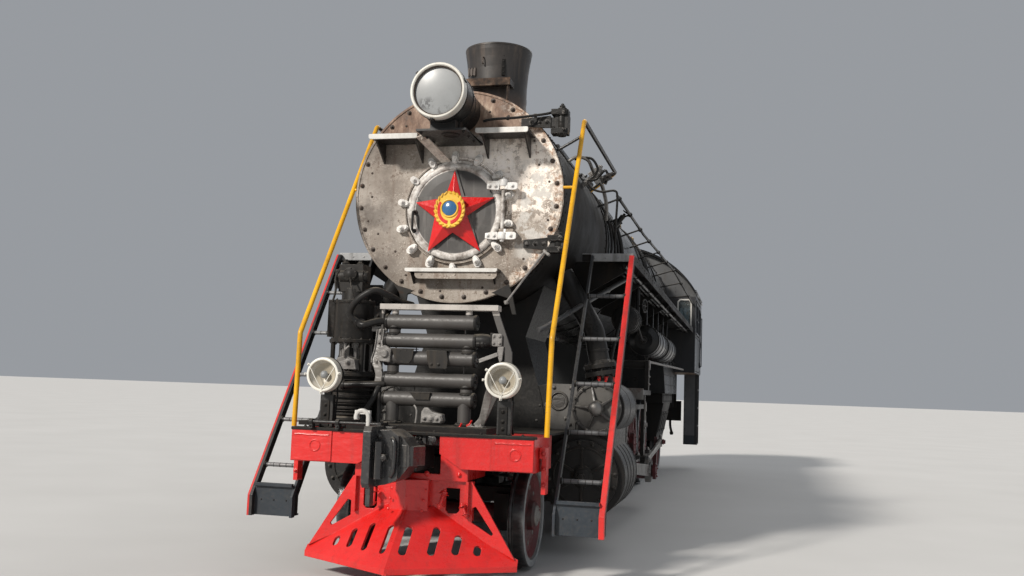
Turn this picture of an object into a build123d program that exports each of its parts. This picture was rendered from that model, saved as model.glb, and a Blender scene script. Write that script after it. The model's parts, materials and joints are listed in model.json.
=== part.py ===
from build123d import *
import math
import os

# Steam freight locomotive, 2-10-2, without its tender.
# Millimetres. The front end faces -Y, +X is the engine's left side, +Z is up.
# While it is drawn, y = 0 is the front face of the buffer beam and z = 0 is the
# top of the rail; every node is moved to the row frame when it is written.

os.makedirs("parts", exist_ok=True)

# ---------------------------------------------------------------- sizes
FLANGE = 28.0            # flange below the tread
Y_SHIFT = -7470.0        # beam face to the middle of the length
LEAD_Y, LEAD_R = 950.0, 450.0
DRIVER_Y0, DRIVER_STEP, DRIVER_N, DRIVER_R = 3690.0, 1625.0, 5, 750.0
TRAIL_Y, TRAIL_R = 13555.0, 525.0
WHEEL_IN, WHEEL_OUT = 720.0, 857.0      # inner and outer faces of a tyre
AXLE_R = 115.0
CRANK_R = 385.0          # half of the stroke
CRANK_L, CRANK_RT = 225.0, 315.0        # crank angles from +Y towards +Z
PIN_R, MAIN_PIN_R = 70.0, 85.0
ECC_R, ECC_PIN_R = 200.0, 35.0
SIDE_ROD_X = (930.0, 1030.0)
MAIN_ROD_X = (1282.0, 1360.0)
RETURN_X = (1385.0, 1430.0)
ECC_ROD_X = (1450.0, 1495.0)
MAIN_ROD_L = 3340.0
CYL_X, CYL_Z = 1150.0, 750.0
VALVE_X, VALVE_Z = 1280.0, 1415.0
FRAME_X = (470.0, 610.0)
BOILER_Z = 3380.0
SMOKE_R, SMOKE_Y = 1025.0, (1035.0, 3900.0)
PLATE_Y = (985.0, 1035.0)
DOOR_Z, DOOR_R = 3235.0, 480.0
HINGE = (475.0, 905.0)     # pin of the small door
BARREL_R0, BARREL_R1 = 1000.0, 1050.0
FIRE_Y, FIRE_R = (10300.0, 13250.0), 1065.0
CAB_Y = (12900.0, 15400.0)
CAB_X, CAB_Z, CAB_EAVE, CAB_RIDGE = 1620.0, 2050.0, 3714.0, 4640.0
DECK_Z = 1183.0
BOARD_Z, BOARD_X = 2960.0, (1060.0, 1580.0)
CHIM_Y, CHIM_TOP = 2350.0, 5250.0
AXLES = [DRIVER_Y0 + DRIVER_STEP * i for i in range(DRIVER_N)]
MAIN_Y = AXLES[2]


# ---------------------------------------------------------------- helpers
def B(x0, x1, y0, y1, z0, z1):
    return Pos((x0 + x1) / 2, (y0 + y1) / 2, (z0 + z1) / 2) * Box(abs(x1 - x0), abs(y1 - y0), abs(z1 - z0))


def CX(x0, x1, y, z, r):
    return Pos((x0 + x1) / 2, y, z) * Rot(0, 90, 0) * Cylinder(r, abs(x1 - x0))


def CY(y0, y1, x, z, r):
    return Pos(x, (y0 + y1) / 2, z) * Rot(90, 0, 0) * Cylinder(r, abs(y1 - y0))


def CZ(z0, z1, x, y, r):
    return Pos(x, y, (z0 + z1) / 2) * Cylinder(r, abs(z1 - z0))


def PX(pts, x0, x1):
    """(y, z) outline drawn out along X"""
    f = make_face(Polyline(*[(x0, p[0], p[1]) for p in pts], close=True))
    return extrude(f, amount=x1 - x0, dir=(1, 0, 0))


def PY(pts, y0, y1):
    """(x, z) outline drawn out along Y"""
    f = make_face(Polyline(*[(p[0], y0, p[1]) for p in pts], close=True))
    return extrude(f, amount=y1 - y0, dir=(0, 1, 0))


def PZ(pts, z0, z1):
    """(x, y) outline drawn out along Z"""
    f = make_face(Polyline(*[(p[0], p[1], z0) for p in pts], close=True))
    return extrude(f, amount=z1 - z0, dir=(0, 0, 1))


def slab(pts, t, d):
    """flat plate from points in space, drawn out by t along d"""
    f = make_face(Polyline(*pts, close=True))
    return extrude(f, amount=t, dir=d)


def bar(p, q, r):
    """round bar from p to q"""
    v = Vector(*q) - Vector(*p)
    return Plane(origin=p, z_dir=v) * (Pos(0, 0, v.length / 2) * Cylinder(r, v.length))


def pipe(pts, r, bend):
    """round pipe along straight runs joined by tangent arcs"""
    path = FilletPolyline(*pts, radius=bend) if len(pts) > 2 else Line(*pts)
    start = Plane(origin=path @ 0, z_dir=path % 0)
    return sweep(start * Circle(r), path=path)


def turned_y(pts, x, z):
    """(y, r) outline turned about the line along Y through x, z"""
    f = make_face(Polyline(*[(x + p[1], p[0], z) for p in pts], close=True))
    return revolve(f, axis=Axis((x, 0, z), (0, 1, 0)))


def turned_z(pts, x, y):
    """(z, r) outline turned about the line along Z through x, y"""
    f = make_face(Polyline(*[(x + p[1], y, p[0]) for p in pts], close=True))
    return revolve(f, axis=Axis((x, y, 0), (0, 0, 1)))


def turned_x(pts):
    """(x, r) outline turned about X"""
    f = make_face(Polyline(*[(p[0], p[1], 0) for p in pts], close=True))
    return revolve(f, axis=Axis((0, 0, 0), (1, 0, 0)))


def U(*parts):
    out = Part() + list(parts)
    return out


def M(s):
    return s.mirror(Plane.YZ)


def both(s):
    return [s, M(s)]


NODES = {}


def put(name, *parts):
    sol = []
    for p in parts:
        for q in (p if isinstance(p, (list, tuple)) else [p]):
            sol += list(q.solids())
    NODES[name] = sol


# ---------------------------------------------------------------- wheels
YZ = Plane(origin=(0, 0, 0), x_dir=(0, 1, 0), z_dir=(1, 0, 0))


def ring_x(x0, x1, r0, r1):
    return turned_x([(x0, r0), (x1, r0), (x1, r1), (x0, r1)])


def tyre(r, rim):
    return turned_x([(WHEEL_IN, rim), (WHEEL_OUT, rim), (WHEEL_OUT, r - 5), (WHEEL_IN + 40, r),
                     (WHEEL_IN + 34, r + 22), (WHEEL_IN + 24, r + FLANGE), (WHEEL_IN + 10, r + FLANGE),
                     (WHEEL_IN, r + 12)])


def at_angle(r, deg):
    return r * math.cos(math.radians(deg)), r * math.sin(math.radians(deg))


def driving_wheel(angle, main, spokes=15):
    """one wheel on the +X side, axle on the X axis, crank at angle"""
    cy, cz = at_angle(CRANK_R, angle)
    sk = Circle(195) + Pos(cy, cz) * Circle(150 if main else 135)
    sk += Rot(0, 0, angle) * Pos(CRANK_R / 2, 0) * Rectangle(CRANK_R, 250)
    for i in range(spokes):
        sk += Rot(0, 0, angle + 12 + 360 / spokes * i) * Pos(400, 0) * Rectangle(470, 58)
    half = 62 if main else 42
    arc = [at_angle(640, angle + 180 - half + half * 2 * k / 12) for k in range(13)]
    chord = [at_angle(410 if main else 470, angle + 180 + half * s) for s in (0.75, 0, -0.75)]
    sk += make_face(Polyline(*(arc + chord), close=True))
    web = extrude(YZ.offset(752) * sk, amount=78)
    rim = ring_x(738, 846, 600, 691)
    hub = CX(702, 900, 0, 0, 185)
    boss = CX(752, 905, cy, cz, 148 if main else 130)
    wheel = U(web, rim, hub, boss, tyre(DRIVER_R, 690))
    r = MAIN_PIN_R if main else PIN_R
    if main:
        wheel = U(wheel, CX(900, RETURN_X[1], cy, cz, r), CX(1040, MAIN_ROD_X[0] - 6, cy, cz, 118))
        ey, ez = at_angle(ECC_R, angle - 90)
        L = math.hypot(ey - cy, ez - cz)
        a = math.degrees(math.atan2(ez - cz, ey - cy))
        arm = Pos(cy, cz) * Circle(120) + Pos(ey, ez) * Circle(70)
        arm += Pos((cy + ey) / 2, (cz + ez) / 2) * Rot(0, 0, a) * Rectangle(L, 110)
        wheel = U(wheel, extrude(YZ.offset(RETURN_X[0]) * arm, amount=RETURN_X[1] - RETURN_X[0]),
                  CX(RETURN_X[1] - 5, 1512, ey, ez, ECC_PIN_R))
    else:
        wheel = U(wheel, CX(900, 1036, cy, cz, r), CX(1036, 1056, cy, cz, 95))
    return wheel


def disc_wheel(r):
    prof = [(702, 0), (880, 0), (880, 95), (860, 125), (812, 135), (802, r - 120), (838, r - 78), (838, r - 60),
            (740, r - 60), (740, r - 78), (772, r - 120), (762, 135), (702, 135)]
    return U(turned_x(prof), tyre(r, r - 61))


for i, y in enumerate(AXLES):
    main = i == 2
    at = Pos(0, y, DRIVER_R)
    put("driving_wheels_%d" % (i + 1), at * driving_wheel(CRANK_L, main), at * M(driving_wheel(CRANK_RT, main)),
        at * CX(-702, 702, 0, 0, AXLE_R))
for name, y, r in (("leading_wheels", LEAD_Y, LEAD_R), ("trailing_wheels", TRAIL_Y, TRAIL_R)):
    w = disc_wheel(r)
    put(name, Pos(0, y, r) * w, Pos(0, y, r) * M(w), Pos(0, y, r) * CX(-702, 702, 0, 0, 90))

# ---------------------------------------------------------------- rods
for side, angle, sgn in (("left", CRANK_L, 1), ("right", CRANK_RT, -1)):
    cy, cz = at_angle(CRANK_R, angle)
    x0, x1 = SIDE_ROD_X
    zc = DRIVER_R + cz
    rod = B(x0 + 15, x1 - 15, AXLES[0] + cy, AXLES[-1] + cy, zc - 62, zc + 62)
    holes = None
    for i, y in enumerate(AXLES):
        rod = U(rod, CX(x0, x1, y + cy, zc, 150 if i == 2 else 122))
    for i, y in enumerate(AXLES):
        rod -= CX(x0 - 5, x1 + 5, y + cy, zc, (MAIN_PIN_R if i == 2 else PIN_R) + 2)
    put("coupling_rod_" + side, rod if sgn > 0 else M(rod))

    # main rod from the crank pin to the crosshead pin
    px, pz = MAIN_Y + cy, DRIVER_R + cz
    run = math.sqrt(MAIN_ROD_L ** 2 - (CYL_Z - pz) ** 2)
    sy = px - run
    tilt = math.degrees(math.atan2(CYL_Z - pz, -run))
    x0, x1 = MAIN_ROD_X
    body = PX([(0, -82), (MAIN_ROD_L, -58), (MAIN_ROD_L, 58), (0, 82)], x0 + 10, x1 - 10)
    body = Pos(0, px, pz) * (Rot(tilt, 0, 0) * body)
    rod = U(body, CX(x0, x1, px, pz, 165), CX(x0, x1, sy, CYL_Z, 105))
    rod -= CX(x0 - 5, x1 + 5, px, pz, MAIN_PIN_R + 2)
    put("main_rod_" + side, rod if sgn > 0 else M(rod))

    # crosshead with its piston rod
    ch = U(B(1095, 1250, sy - 190, sy + 190, 610, 890), CX(1250, MAIN_ROD_X[0] - 5, sy, CYL_Z, 60),
           CY(sy - 1250, sy - 180, CYL_X, CYL_Z, 50), CY(sy - 235, sy - 180, CYL_X, CYL_Z, 85))
    put("crosshead_" + side, ch if sgn > 0 else M(ch))

    # eccentric rod
    ey, ez = at_angle(ECC_R, angle - 90)
    p, q = (MAIN_Y + ey, DRIVER_R + ez), (4880.0, DRIVER_R)
    L = math.hypot(p[0] - q[0], p[1] - q[1])
    a = math.degrees(math.atan2(q[1] - p[1], q[0] - p[0]))
    x0, x1 = ECC_ROD_X
    body = Pos(0, p[0], p[1]) * (Rot(a, 0, 0) * PX([(0, -42), (L, -30), (L, 30), (0, 42)], x0 + 8, x1 - 8))
    rod = U(body, CX(x0, x1, p[0], p[1], 72), CX(x0, x1, q[0], q[1], 52))
    rod -= CX(x0 - 5, x1 + 5, p[0], p[1], ECC_PIN_R + 2)
    put("eccentric_rod_" + side, rod if sgn > 0 else M(rod))

# ---------------------------------------------------------------- main frame
f0, f1 = FRAME_X
side = PX([(60, 960), (60, 1160), (680, 1160), (1500, 1172), (10950, 1172), (12300, 1300), (15300, 1300), (15300, 1120),
           (12500, 1120), (11050, 960), (11050, 470), (2950, 470), (2950, 900), (1500, 960)], f0, f1)
for y in AXLES:
    side -= B(f0 - 5, f1 + 5, y - 190, y + 190, 540, 980)
for y in AXLES[:-1]:
    m = y + DRIVER_STEP / 2
    side -= B(f0 - 5, f1 + 5, m - 420, m + 420, 600, 980)
cross = []
for y, z0, z1 in ((1250, 980, 1150), (3080, 900, 1150), (4502, 620, 1150), (6127, 620, 1150), (7752, 620, 1150),
                  (9377, 620, 1150), (10950, 620, 1150), (12750, 1140, 1290), (14500, 1140, 1290)):
    cross.append(B(-f0, f0, y - 30, y + 30, z0, z1))
cross.append(B(-f0, f0, 2380, 2640, 980, 1150))
cross.append(CZ(440, 980, 0, 2510, 60))
cross.append(B(-f0, f0, 11150, 11400, 980, 1100))
cross.append(CZ(440, 980, 0, 11275, 60))
cross.append(B(-f0, f0, 13300, 15300, 1240, 1300) - U(*[B(-f0, f0, y - 30, y + 30, 1140, 1300) for y in (14500,)]))
for y in (13300, 14250, 15200):
    cross.append(B(-1100, 1100, y - 15, y + 15, 1300, 2048))
put("main_frame", side, M(side), *cross)

boxes = []
for y in AXLES:
    b = B(f0 - 12, f1 + 12, y - 189, y + 189, 542, 930) - CX(f0 - 30, f1 + 30, y, DRIVER_R, AXLE_R + 2)
    boxes += both(b)
put("axle_boxes", boxes)

leaves = []
for y in AXLES:
    s = PX([(y - 520, 1240), (y - 520, 1256), (y - 260, 1340), (y + 260, 1340), (y + 520, 1256), (y + 520, 1240),
            (y + 260, 1290), (y + 120, 1330), (y - 120, 1330), (y - 260, 1290)], 490, 590)
    s = U(s, B(480, 600, y - 60, y + 60, 1174, 1345))
    leaves += both(s)
put("springs", leaves)

# ---------------------------------------------------------------- front end
beam = B(-1056, 1056, 0, 60, 900, DECK_Z)
beam = U(beam, B(-1056, 1056, 0, 640, 1163, DECK_Z), B(-492, 492, 0, 60, 800, 900))
beam -= B(-255, 255, -5, 65, 850, 1150)
for s in (1, -1):
    beam = U(beam, PY([(s * 262, 1183), (s * 1056, 1183), (s * 1056, 905), (s * 450, 905), (s * 262, 1022)], -70, 0))
    x0, x1 = sorted((s * 1036, s * 1056))
    beam = U(beam, B(x0, x1, 0, 640, 900, DECK_Z))
    x0, x1 = sorted((s * 445, s * 470))
    beam = U(beam, B(x0, x1, 55, 640, 800, DECK_Z))
put("buffer_beam", beam)

deck = U(B(-1040, 1040, 640, 1850, 1172, 1192), B(-620, 620, 60, 640, 1183, 1235))
deck = U(deck, B(-1150, -700, 250, 1000, 1192, 1230))
put("front_deck", deck)

# pilot: a V of two sloping slotted plates, a ridge and posts up to the beam
APEX, TIP, TOPC = (0.0, -534.0, 150.0), (925.0, 30.0, 150.0), (0.0, -110.0, 560.0)
nv = (Vector(*TIP) - Vector(*APEX)).cross(Vector(*TOPC) - Vector(*APEX)).normalized()
if nv.Y < 0:
    nv = nv * -1


def on_wing(x, z):
    """point of the wing's plane at x, z"""
    y = APEX[1] - (nv.X * (x - APEX[0]) + nv.Z * (z - APEX[2])) / nv.Y
    return (x, y, z)


wing = slab([APEX, TIP, on_wing(921, 195), on_wing(205, 585), on_wing(0, 560)], 22, tuple(nv))
pl = Plane(origin=APEX, x_dir=Vector(*TIP) - Vector(*APEX), z_dir=nv * -1)
# slots: along the foot, up the plate, length, lean towards the tip
for u, v, ln, lean in ((197, 257, 282, 20.7), (428, 247, 277, 20.7), (612, 208, 191, 20.7), (775, 152, 98, 20.7)):
    hole = Pos(u, v) * Rot(0, 0, 90 - lean) * SlotOverall(ln, 62)
    wing -= extrude(pl.offset(-60) * hole, amount=120)
upper = PY([(165, 560), (900, 195), (520, 800), (165, 800)], 40, 60)
upper -= PY([(530, 470), (530, 590), (560, 600), (712, 392), (698, 375)], 0, 100)
upper -= PY([(300, 560), (325, 535), (395, 535), (420, 560), (420, 740), (300, 740)], 0, 100)
foot = slab([APEX, TIP, (880, 60, 150), (0, -470, 150)], 45, (0, 0, -1))
half = U(wing, foot, upper, B(475, 525, 60, 110, 480, 800), B(480, 502, 0, 45, 505, 800))
prow = PZ([(-165, -20), (0, -112), (165, -20), (165, 60), (-165, 60)], 520, 800)
ridge = slab([(-20, -534, 105), (-20, -110, 560), (-20, -60, 790), (-20, 50, 790), (-20, 50, 600),
              (-20, -430, 105)], 40, (1, 0, 0))
put("pilot", U(half, M(half), ridge, prow))

# coupler: head with a jaw, shank, and the lever that frees it
guard = PX([(-600, 800), (-600, 1200), (-572, 1238), (-315, 1238), (-285, 1190), (-285, 810), (-320, 768), (-572, 765)], -200, -136)
block = PY([(-165, 1210), (-30, 1215), (65, 1155), (122, 1090), (130, 940), (35, 822), (-60, 785), (-165, 768)], -460, -150)
wedge = PZ([(-140, -520), (-106, -566), (-70, -530), (-72, -440), (-140, -440)], 832, 1120)
coup = U(guard, block, wedge, B(-200, -166, -480, -400, 612, 780), B(-172, -136, -560, -480, 640, 780),
         PZ([(90, -430), (150, -400), (200, -250), (170, -170), (90, -170)], 935, 1088), CY(-520, -455, -60, 1000, 26),
         B(-105, 105, -170, 300, 880, 1120))
coup -= B(44, 160, -620, -419, 840, 1200)
put("front_coupler", coup & B(-300, 300, -700, -419, 500, 1400), coup & B(-300, 300, -419, 400, 500, 1400))
lever = U(CX(-880, -200, -110, 1240, 14), B(-215, -185, -260, -95, 1222, 1258),
          B(-880, -850, -125, -60, 1184, 1258), B(-640, -610, -125, -60, 1184, 1258),
          B(-470, -440, -128, -92, 1270, 1325), B(-470, -338, -128, -92, 1318, 1350), B(-368, -338, -128, -92, 1230, 1320))
put("uncoupling_lever", lever)

lamps = []
for s in (1, -1):
    L = turned_y([(-30, 0), (-30, 40), (-62, 88), (-110, 116), (-128, 121), (-128, 140), (-60, 150), (60, 118), (85, 60), (85, 0)],
                 s * 780, 1636)
    lamps.append(U(L, B(s * 780 - 30, s * 780 + 30, 0, 40, 1440, 1560), B(s * 780 - 58, s * 780 + 58, -8, 44, 1183, 1468)))
put("marker_lamps", lamps)

head_l = turned_y([(290, 0), (290, 224), (262, 229), (262, 254), (330, 255), (560, 248), (760, 215), (985, 200),
                   (985, 0)], 0, 4190)
shelf = B(-235, 235, 400, 985, 3862, 3882)
put("headlight", U(head_l, shelf, B(-120, 120, 450, 700, 3875, 4000)))

# air cooler: pipes across the front with risers at alternate ends
COOL = [2130, 1965, 1810, 1620, 1455]
cool = None
for i, z in enumerate(COOL):
    p = CX(-410, 410, 385, z, 64)
    cool = p if cool is None else U(cool, p)
    if i < len(COOL) - 1:
        x = 340 if i % 2 else -340
        cool = U(cool, CZ(COOL[i + 1], z, x, 385, 52))
cool = U(cool, CZ(1235, 1455, -330, 385, 58), CZ(1235, 1455, 330, 385, 58), CZ(2120, 2240, -340, 385, 30),
         CZ(2120, 2240, 340, 385, 30))
bar_top = B(-470, 612, 330, 450, 2236, 2284)
strut = PY([(545, 2236), (603, 2236), (738, 1880), (738, 1760), (505, 1235), (440, 1235), (675, 1770), (675, 1870)],
           372, 396)
put("air_cooler", U(cool, bar_top, strut, CZ(1235, 2236, -455, 385, 15)))

# air pump on the right-hand side: steam end, rods, finned air end, one column
PUMP_X, PUMP_Y = -805.0, 560.0
steam = turned_z([(1940, 0), (1940, 205), (1965, 205), (1965, 180), (2290, 180), (2290, 186), (2315, 186),
                  (2315, 120), (2430, 110), (2430, 0)], PUMP_X, PUMP_Y)
fins = [(1240, 0), (1240, 215), (1265, 215)]
for z in range(1290, 1620, 55):
    fins += [(z, 172), (z, 205), (z + 18, 205), (z + 18, 172)]
fins += [(1635, 172), (1635, 215), (1660, 215), (1660, 90), (1700, 80), (1700, 0)]
air = turned_z(fins, PUMP_X, PUMP_Y)
pump = U(steam, air, B(PUMP_X - 125, PUMP_X + 105, PUMP_Y - 100, PUMP_Y + 90, 2400, 2650),
         CZ(1690, 1950, PUMP_X, PUMP_Y, 32))
for a, b in ((-140, -120), (140, -120), (-140, 120), (140, 120)):
    pump = U(pump, CZ(1650, 1945, PUMP_X + a, PUMP_Y + b, 20))
pump = U(pump, B(-1040, -640, 800, 830, 1230, 2500), B(-930, -730, 700, 805, 2000, 2240),
         B(-930, -730, 730, 805, 1640, 1660), B(-930, -730, 730, 805, 1240, 1265))
put("air_pump", pump)

# ---------------------------------------------------------------- cylinders
cyl = U(CY(1800, 2880, CYL_X, CYL_Z, 410), CY(1740, 1805, CYL_X, CYL_Z, 352), CY(2875, 2925, CYL_X, CYL_Z, 280),
        CY(2920, 2965, CYL_X, CYL_Z, 95), CY(1800, 2880, VALVE_X, VALVE_Z, 262), CY(1730, 1805, VALVE_X, VALVE_Z, 238),
        CY(1650, 1735, VALVE_X, VALVE_Z, 72), CY(2875, 2960, VALVE_X, VALVE_Z, 200),
        B(612, 1440, 1880, 2800, 880, 1400), B(612, 1150, 1880, 2800, 480, 1500),
       PY([(612, 1230), (1050, 1150), (1060, 1640), (780, 1640), (612, 1600)], 1860, 2700))
cyl -= CY(1820, 2975, CYL_X, CYL_Z, 52)
saddle = PY([(-760, 1174), (760, 1174), (700, 1500), (520, 2100), (720, 2700), (-720, 2700), (-520, 2100),
             (-700, 1500)], 1850, 2850)
saddle -= CY(1800, 2900, 0, BOILER_Z, SMOKE_R)
put("cylinders", U(cyl, M(cyl), saddle))

sp = U(pipe([(1312, 1990, 1600), (1195, 1990, 2190), (860, 1990, 2760)], 104, 300),
       bar((1285, 1990, 1735), (1277, 1990, 1777), 165), bar((1271, 1990, 1807), (1263, 1990, 1849), 165))
sp -= U(CY(1700, 3000, VALVE_X, VALVE_Z, 262), CY(1000, 4000, 0, BOILER_Z, SMOKE_R))
sp = max(sp.solids(), key=lambda s: s.volume)
put("steam_pipes", both(sp))

# guide bars and the yoke that holds their rear ends
g = U(B(1100, 1245, 2926, 4520, 896, 960), B(1100, 1245, 2926, 4520, 540, 604), B(1100, 1245, 4462, 4520, 540, 1320),
      B(612, 1255, 4482, 4520, 1250, 1640), B(1250, 1445, 4482, 4520, 1500, 1640))
g = U(g, B(612, 640, 4482, 4520, 1175, 1260))
put("guide_bars", both(g))

vg = U(B(1370, 1445, 4520, 5450, 1560, 1620), PX([(4830, 800), (4930, 800), (4970, 1180), (4930, 1565), (4830, 1565),
       (4800, 1180)], RETURN_X[0], RETURN_X[1]), CX(RETURN_X[0], 1445, 4880, DRIVER_R, 60),
       B(1390, 1425, 3030, 4860, 1385, 1440), B(1390, 1425, 3010, 3085, 560, 1520), CY(2962, 3012, VALVE_X, VALVE_Z, 34),
       B(1235, 1425, 3010, 3085, 1370, 1460), B(1385, 1430, 5250, 5400, 1560, 2010),
       CX(1000, 1430, 5325, 1960, 55))
vg2 = vg - CX(RETURN_X[0] - 1, 1500, 4880, DRIVER_R, 0.1)
put("valve_gear", both(vg))

# brakes: a block behind each driving wheel on a hanger between the wheels
brk = []
for y in AXLES:
    m = y + DRIVER_STEP / 2
    pts = [at_angle(762, a) for a in (-38, -32, -26, -20)] + [at_angle(812, a) for a in (-20, -26, -32, -38)]
    shoe = Pos(0, y, DRIVER_R) * PX(pts, 770, 850)
    arm = B(785, 835, m - 92, m - 14, 440, 480)
    arm -= shoe
    h = [shoe, B(785, 835, m - 14, m + 14, 320, 1160), B(610, 785, m - 14, m + 14, 1120, 1160), arm]
    for q in h:
        brk += both(q)
    brk.append(CX(-785, 785, m, 345, 26))
put("brake_gear", *brk)

# ---------------------------------------------------------------- trucks
lt = U(B(-90, 90, LEAD_Y + 120, 2580, 470, 560), CZ(470, 630, 0, 2510, 130), B(-640, 640, LEAD_Y - 60, LEAD_Y + 60, 560, 690))
for s in (1, -1):
    x0, x1 = sorted((s * 520, s * 660))
    lt = U(lt, B(x0, x1, LEAD_Y - 150, LEAD_Y + 150, 320, 640))
    lt = U(lt, PZ([(s * 520, LEAD_Y + 100), (s * 640, LEAD_Y + 100), (s * 90, 2450), (0, 2450)], 480, 550))
lt -= CX(-700, 700, LEAD_Y, LEAD_R, 92)
lt -= CZ(400, 700, 0, 2510, 62)
lt = U(lt, CZ(690, 940, 0, LEAD_Y, 150), B(-300, 300, LEAD_Y - 60, LEAD_Y + 60, 680, 740))
put("leading_truck", lt)

tt = U(B(-90, 90, 11275, TRAIL_Y - 130, 470, 570), CZ(470, 630, 0, 11275, 130),
       B(-640, 640, TRAIL_Y - 60, TRAIL_Y + 60, 640, 790))
for s in (1, -1):
    x0, x1 = sorted((s * 520, s * 660))
    tt = U(tt, B(x0, x1, TRAIL_Y - 170, TRAIL_Y + 170, 380, 720))
    tt = U(tt, PZ([(s * 520, TRAIL_Y - 120), (s * 640, TRAIL_Y - 120), (s * 90, 11400), (0, 11400)], 490, 560))
tt -= CX(-700, 700, TRAIL_Y, TRAIL_R, 92)
tt -= CZ(400, 700, 0, 11275, 62)
tt = U(tt, CZ(780, 1110, 0, TRAIL_Y, 160))
put("trailing_truck", tt)

# ---------------------------------------------------------------- boiler
shell = CY(SMOKE_Y[0], SMOKE_Y[1], 0, BOILER_Z, SMOKE_R) - CY(SMOKE_Y[0] - 1, SMOKE_Y[1] + 1, 0, BOILER_Z, SMOKE_R - 25)
put("smokebox", shell)

plate = U(CY(PLATE_Y[0], PLATE_Y[1], 0, BOILER_Z, SMOKE_R), CY(PLATE_Y[0] - 30, PLATE_Y[0] + 5, 0, DOOR_Z, DOOR_R + 30))
plate -= CY(900, 1100, 0, DOOR_Z, DOOR_R - 40)
plate -= CY(900, PLATE_Y[0] + 1, 0, DOOR_Z, DOOR_R + 12)
for z in (4060, 2910):      # big lugs at the plate's left-hand edge
    plate = U(plate, B(680, 1020, 940, 985, z - 45, z + 45), B(940, 1060, 930, 1060, z - 70, z + 70))
plate = U(plate, CZ(2850, 2970, 1000, 960, 30), CZ(4000, 4120, 1000, 960, 30))
for z in (3418, 3006):      # lugs of the small door's hinge pin
    lug = U(B(HINGE[0], HINGE[0] + 110, 885, 925, z, z + 38), B(HINGE[0] + 62, HINGE[0] + 110, 885, 986, z, z + 38),
            CZ(z, z + 38, HINGE[0], HINGE[1], 32))
    plate = U(plate, lug - CZ(z - 5, z + 45, HINGE[0], HINGE[1], 19.5))
plate -= shell
put("smokebox_front", plate)

steps = []
for s, z in ((1, 3932), (-1, 3900)):
    x0, x1 = sorted((s * 250, s * 745) if s > 0 else (s * 310, s * 790))
    steps.append(B(x0, x1, 660, 983, z - 10, z + 10))
    for x in (x0 + 45, x1 - 45):
        steps.append(PX([(983, z - 10), (700, z - 10), (983, z - 200)], x - 8, x + 8))
steps.append(B(-440, 455, 850, 983, 2645, 2672))
for x in (-390, 405):
    steps.append(PX([(983, 2645), (870, 2645), (983, 2535)], x - 8, x + 8))
put("smokebox_steps", *steps)

door = turned_y([(935, 0), (935, 300), (945, 420), (955, DOOR_R), (982, DOOR_R), (982, 0)], 0, DOOR_Z)
star = [at_angle(405 if k % 2 == 0 else 160, 90 + 36 * k) for k in range(10)]
door = U(door, PY([(p[0], DOOR_Z + p[1]) for p in star], 915, 940), CY(885, 920, 0, DOOR_Z, 120))
for z in (3460, 2962):
    door = U(door, B(320, HINGE[0], 890, 945, z, z + 40), CZ(z, z + 40, HINGE[0], HINGE[1], 32))
door = U(door, CZ(2950, 3512, HINGE[0], HINGE[1], 17))
put("smokebox_door", door)

barrel = turned_y([(3900, 0), (3900, BARREL_R0), (5600, BARREL_R0), (7600, BARREL_R1), (10300, BARREL_R1), (10300, 0)],
                  0, BOILER_Z)
core = barrel            # the barrel without its bands, which cuts the domes and brackets
for y in (5600, 7600, 9200):
    barrel = U(barrel, CY(y - 40, y + 40, 0, BOILER_Z, (BARREL_R0 if y < 6000 else BARREL_R1) + 12))
put("boiler_barrel", barrel)

fb = make_face(Polyline((-1010, FIRE_Y[0], 2960), (-1180, FIRE_Y[0], 2400), (-1240, FIRE_Y[0], 1600),
                        (1240, FIRE_Y[0], 1600), (1180, FIRE_Y[0], 2400), (1010, FIRE_Y[0], 2960), close=True))
fb = extrude(fb, amount=FIRE_Y[1] - FIRE_Y[0], dir=(0, 1, 0))
fb = U(fb, CY(FIRE_Y[0], FIRE_Y[1], 0, BOILER_Z, FIRE_R))
fb = U(fb, CY(FIRE_Y[1] - 5, FIRE_Y[1] + 30, 0, 2750, 210))
put("firebox", fb)

ash = PY([(-1150, 1598), (1150, 1598), (1150, 1420), (-1150, 1420)], 10850, 13200)
for s in (1, -1):
    ash = U(ash, PY([(s * 660, 1430), (s * 1150, 1430), (s * 1000, 700), (s * 700, 700)], 11150, 12700))
put("ash_pan", ash)

chim = turned_z([(4300, 0), (4300, 440), (4380, 372), (4470, 330), (4640, 318), (4850, 321), (5000, 331), (5110, 345), (5190, 359),
                 (CHIM_TOP, 365), (CHIM_TOP, 340), (4700, 292), (4700, 0)], 0, CHIM_Y)
shelf = B(-260, 240, 1930, 2740, 4765, 4830) - CZ(4600, 5000, 0, CHIM_Y, 305)
chim = U(chim, shelf) - CY(1000, 4000, 0, BOILER_Z, SMOKE_R)
put("chimney", chim)

dome = turned_z([(4250, 0), (4250, 520), (4420, 440), (4640, 430), (4760, 340), (4810, 180), (4815, 0)], 0, 6400)
dome = dome.rotate(Axis((0, 6400, 0), (0, 0, 1)), 90) - core
dome = max(dome.solids(), key=lambda s: s.volume)
put("steam_dome", dome)
sand = []
for y, r in ((4650, 1000), (8300, 1075)):
    d = U(B(-420, 420, y - 480, y + 480, 4150, 4560), B(-330, 330, y - 390, y + 390, 4550, 4700),
          CZ(4690, 4760, 0, y, 210))
    d -= core
    sand.append(max(d.solids(), key=lambda s: s.volume))
put("sand_domes", sand)
sv = []
for x in (-200, 200):
    v = turned_z([(4400, 0), (4400, 130), (4560, 110), (4580, 90), (4800, 80), (4830, 50), (4830, 0)], x, 11000)
    v -= CY(10000, 12000, 0, BOILER_Z, FIRE_R)
    sv.append(v)
t = U(CX(-330, 330, 12450, 4600, 90), CZ(4400, 4600, 0, 12450, 110))
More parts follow.
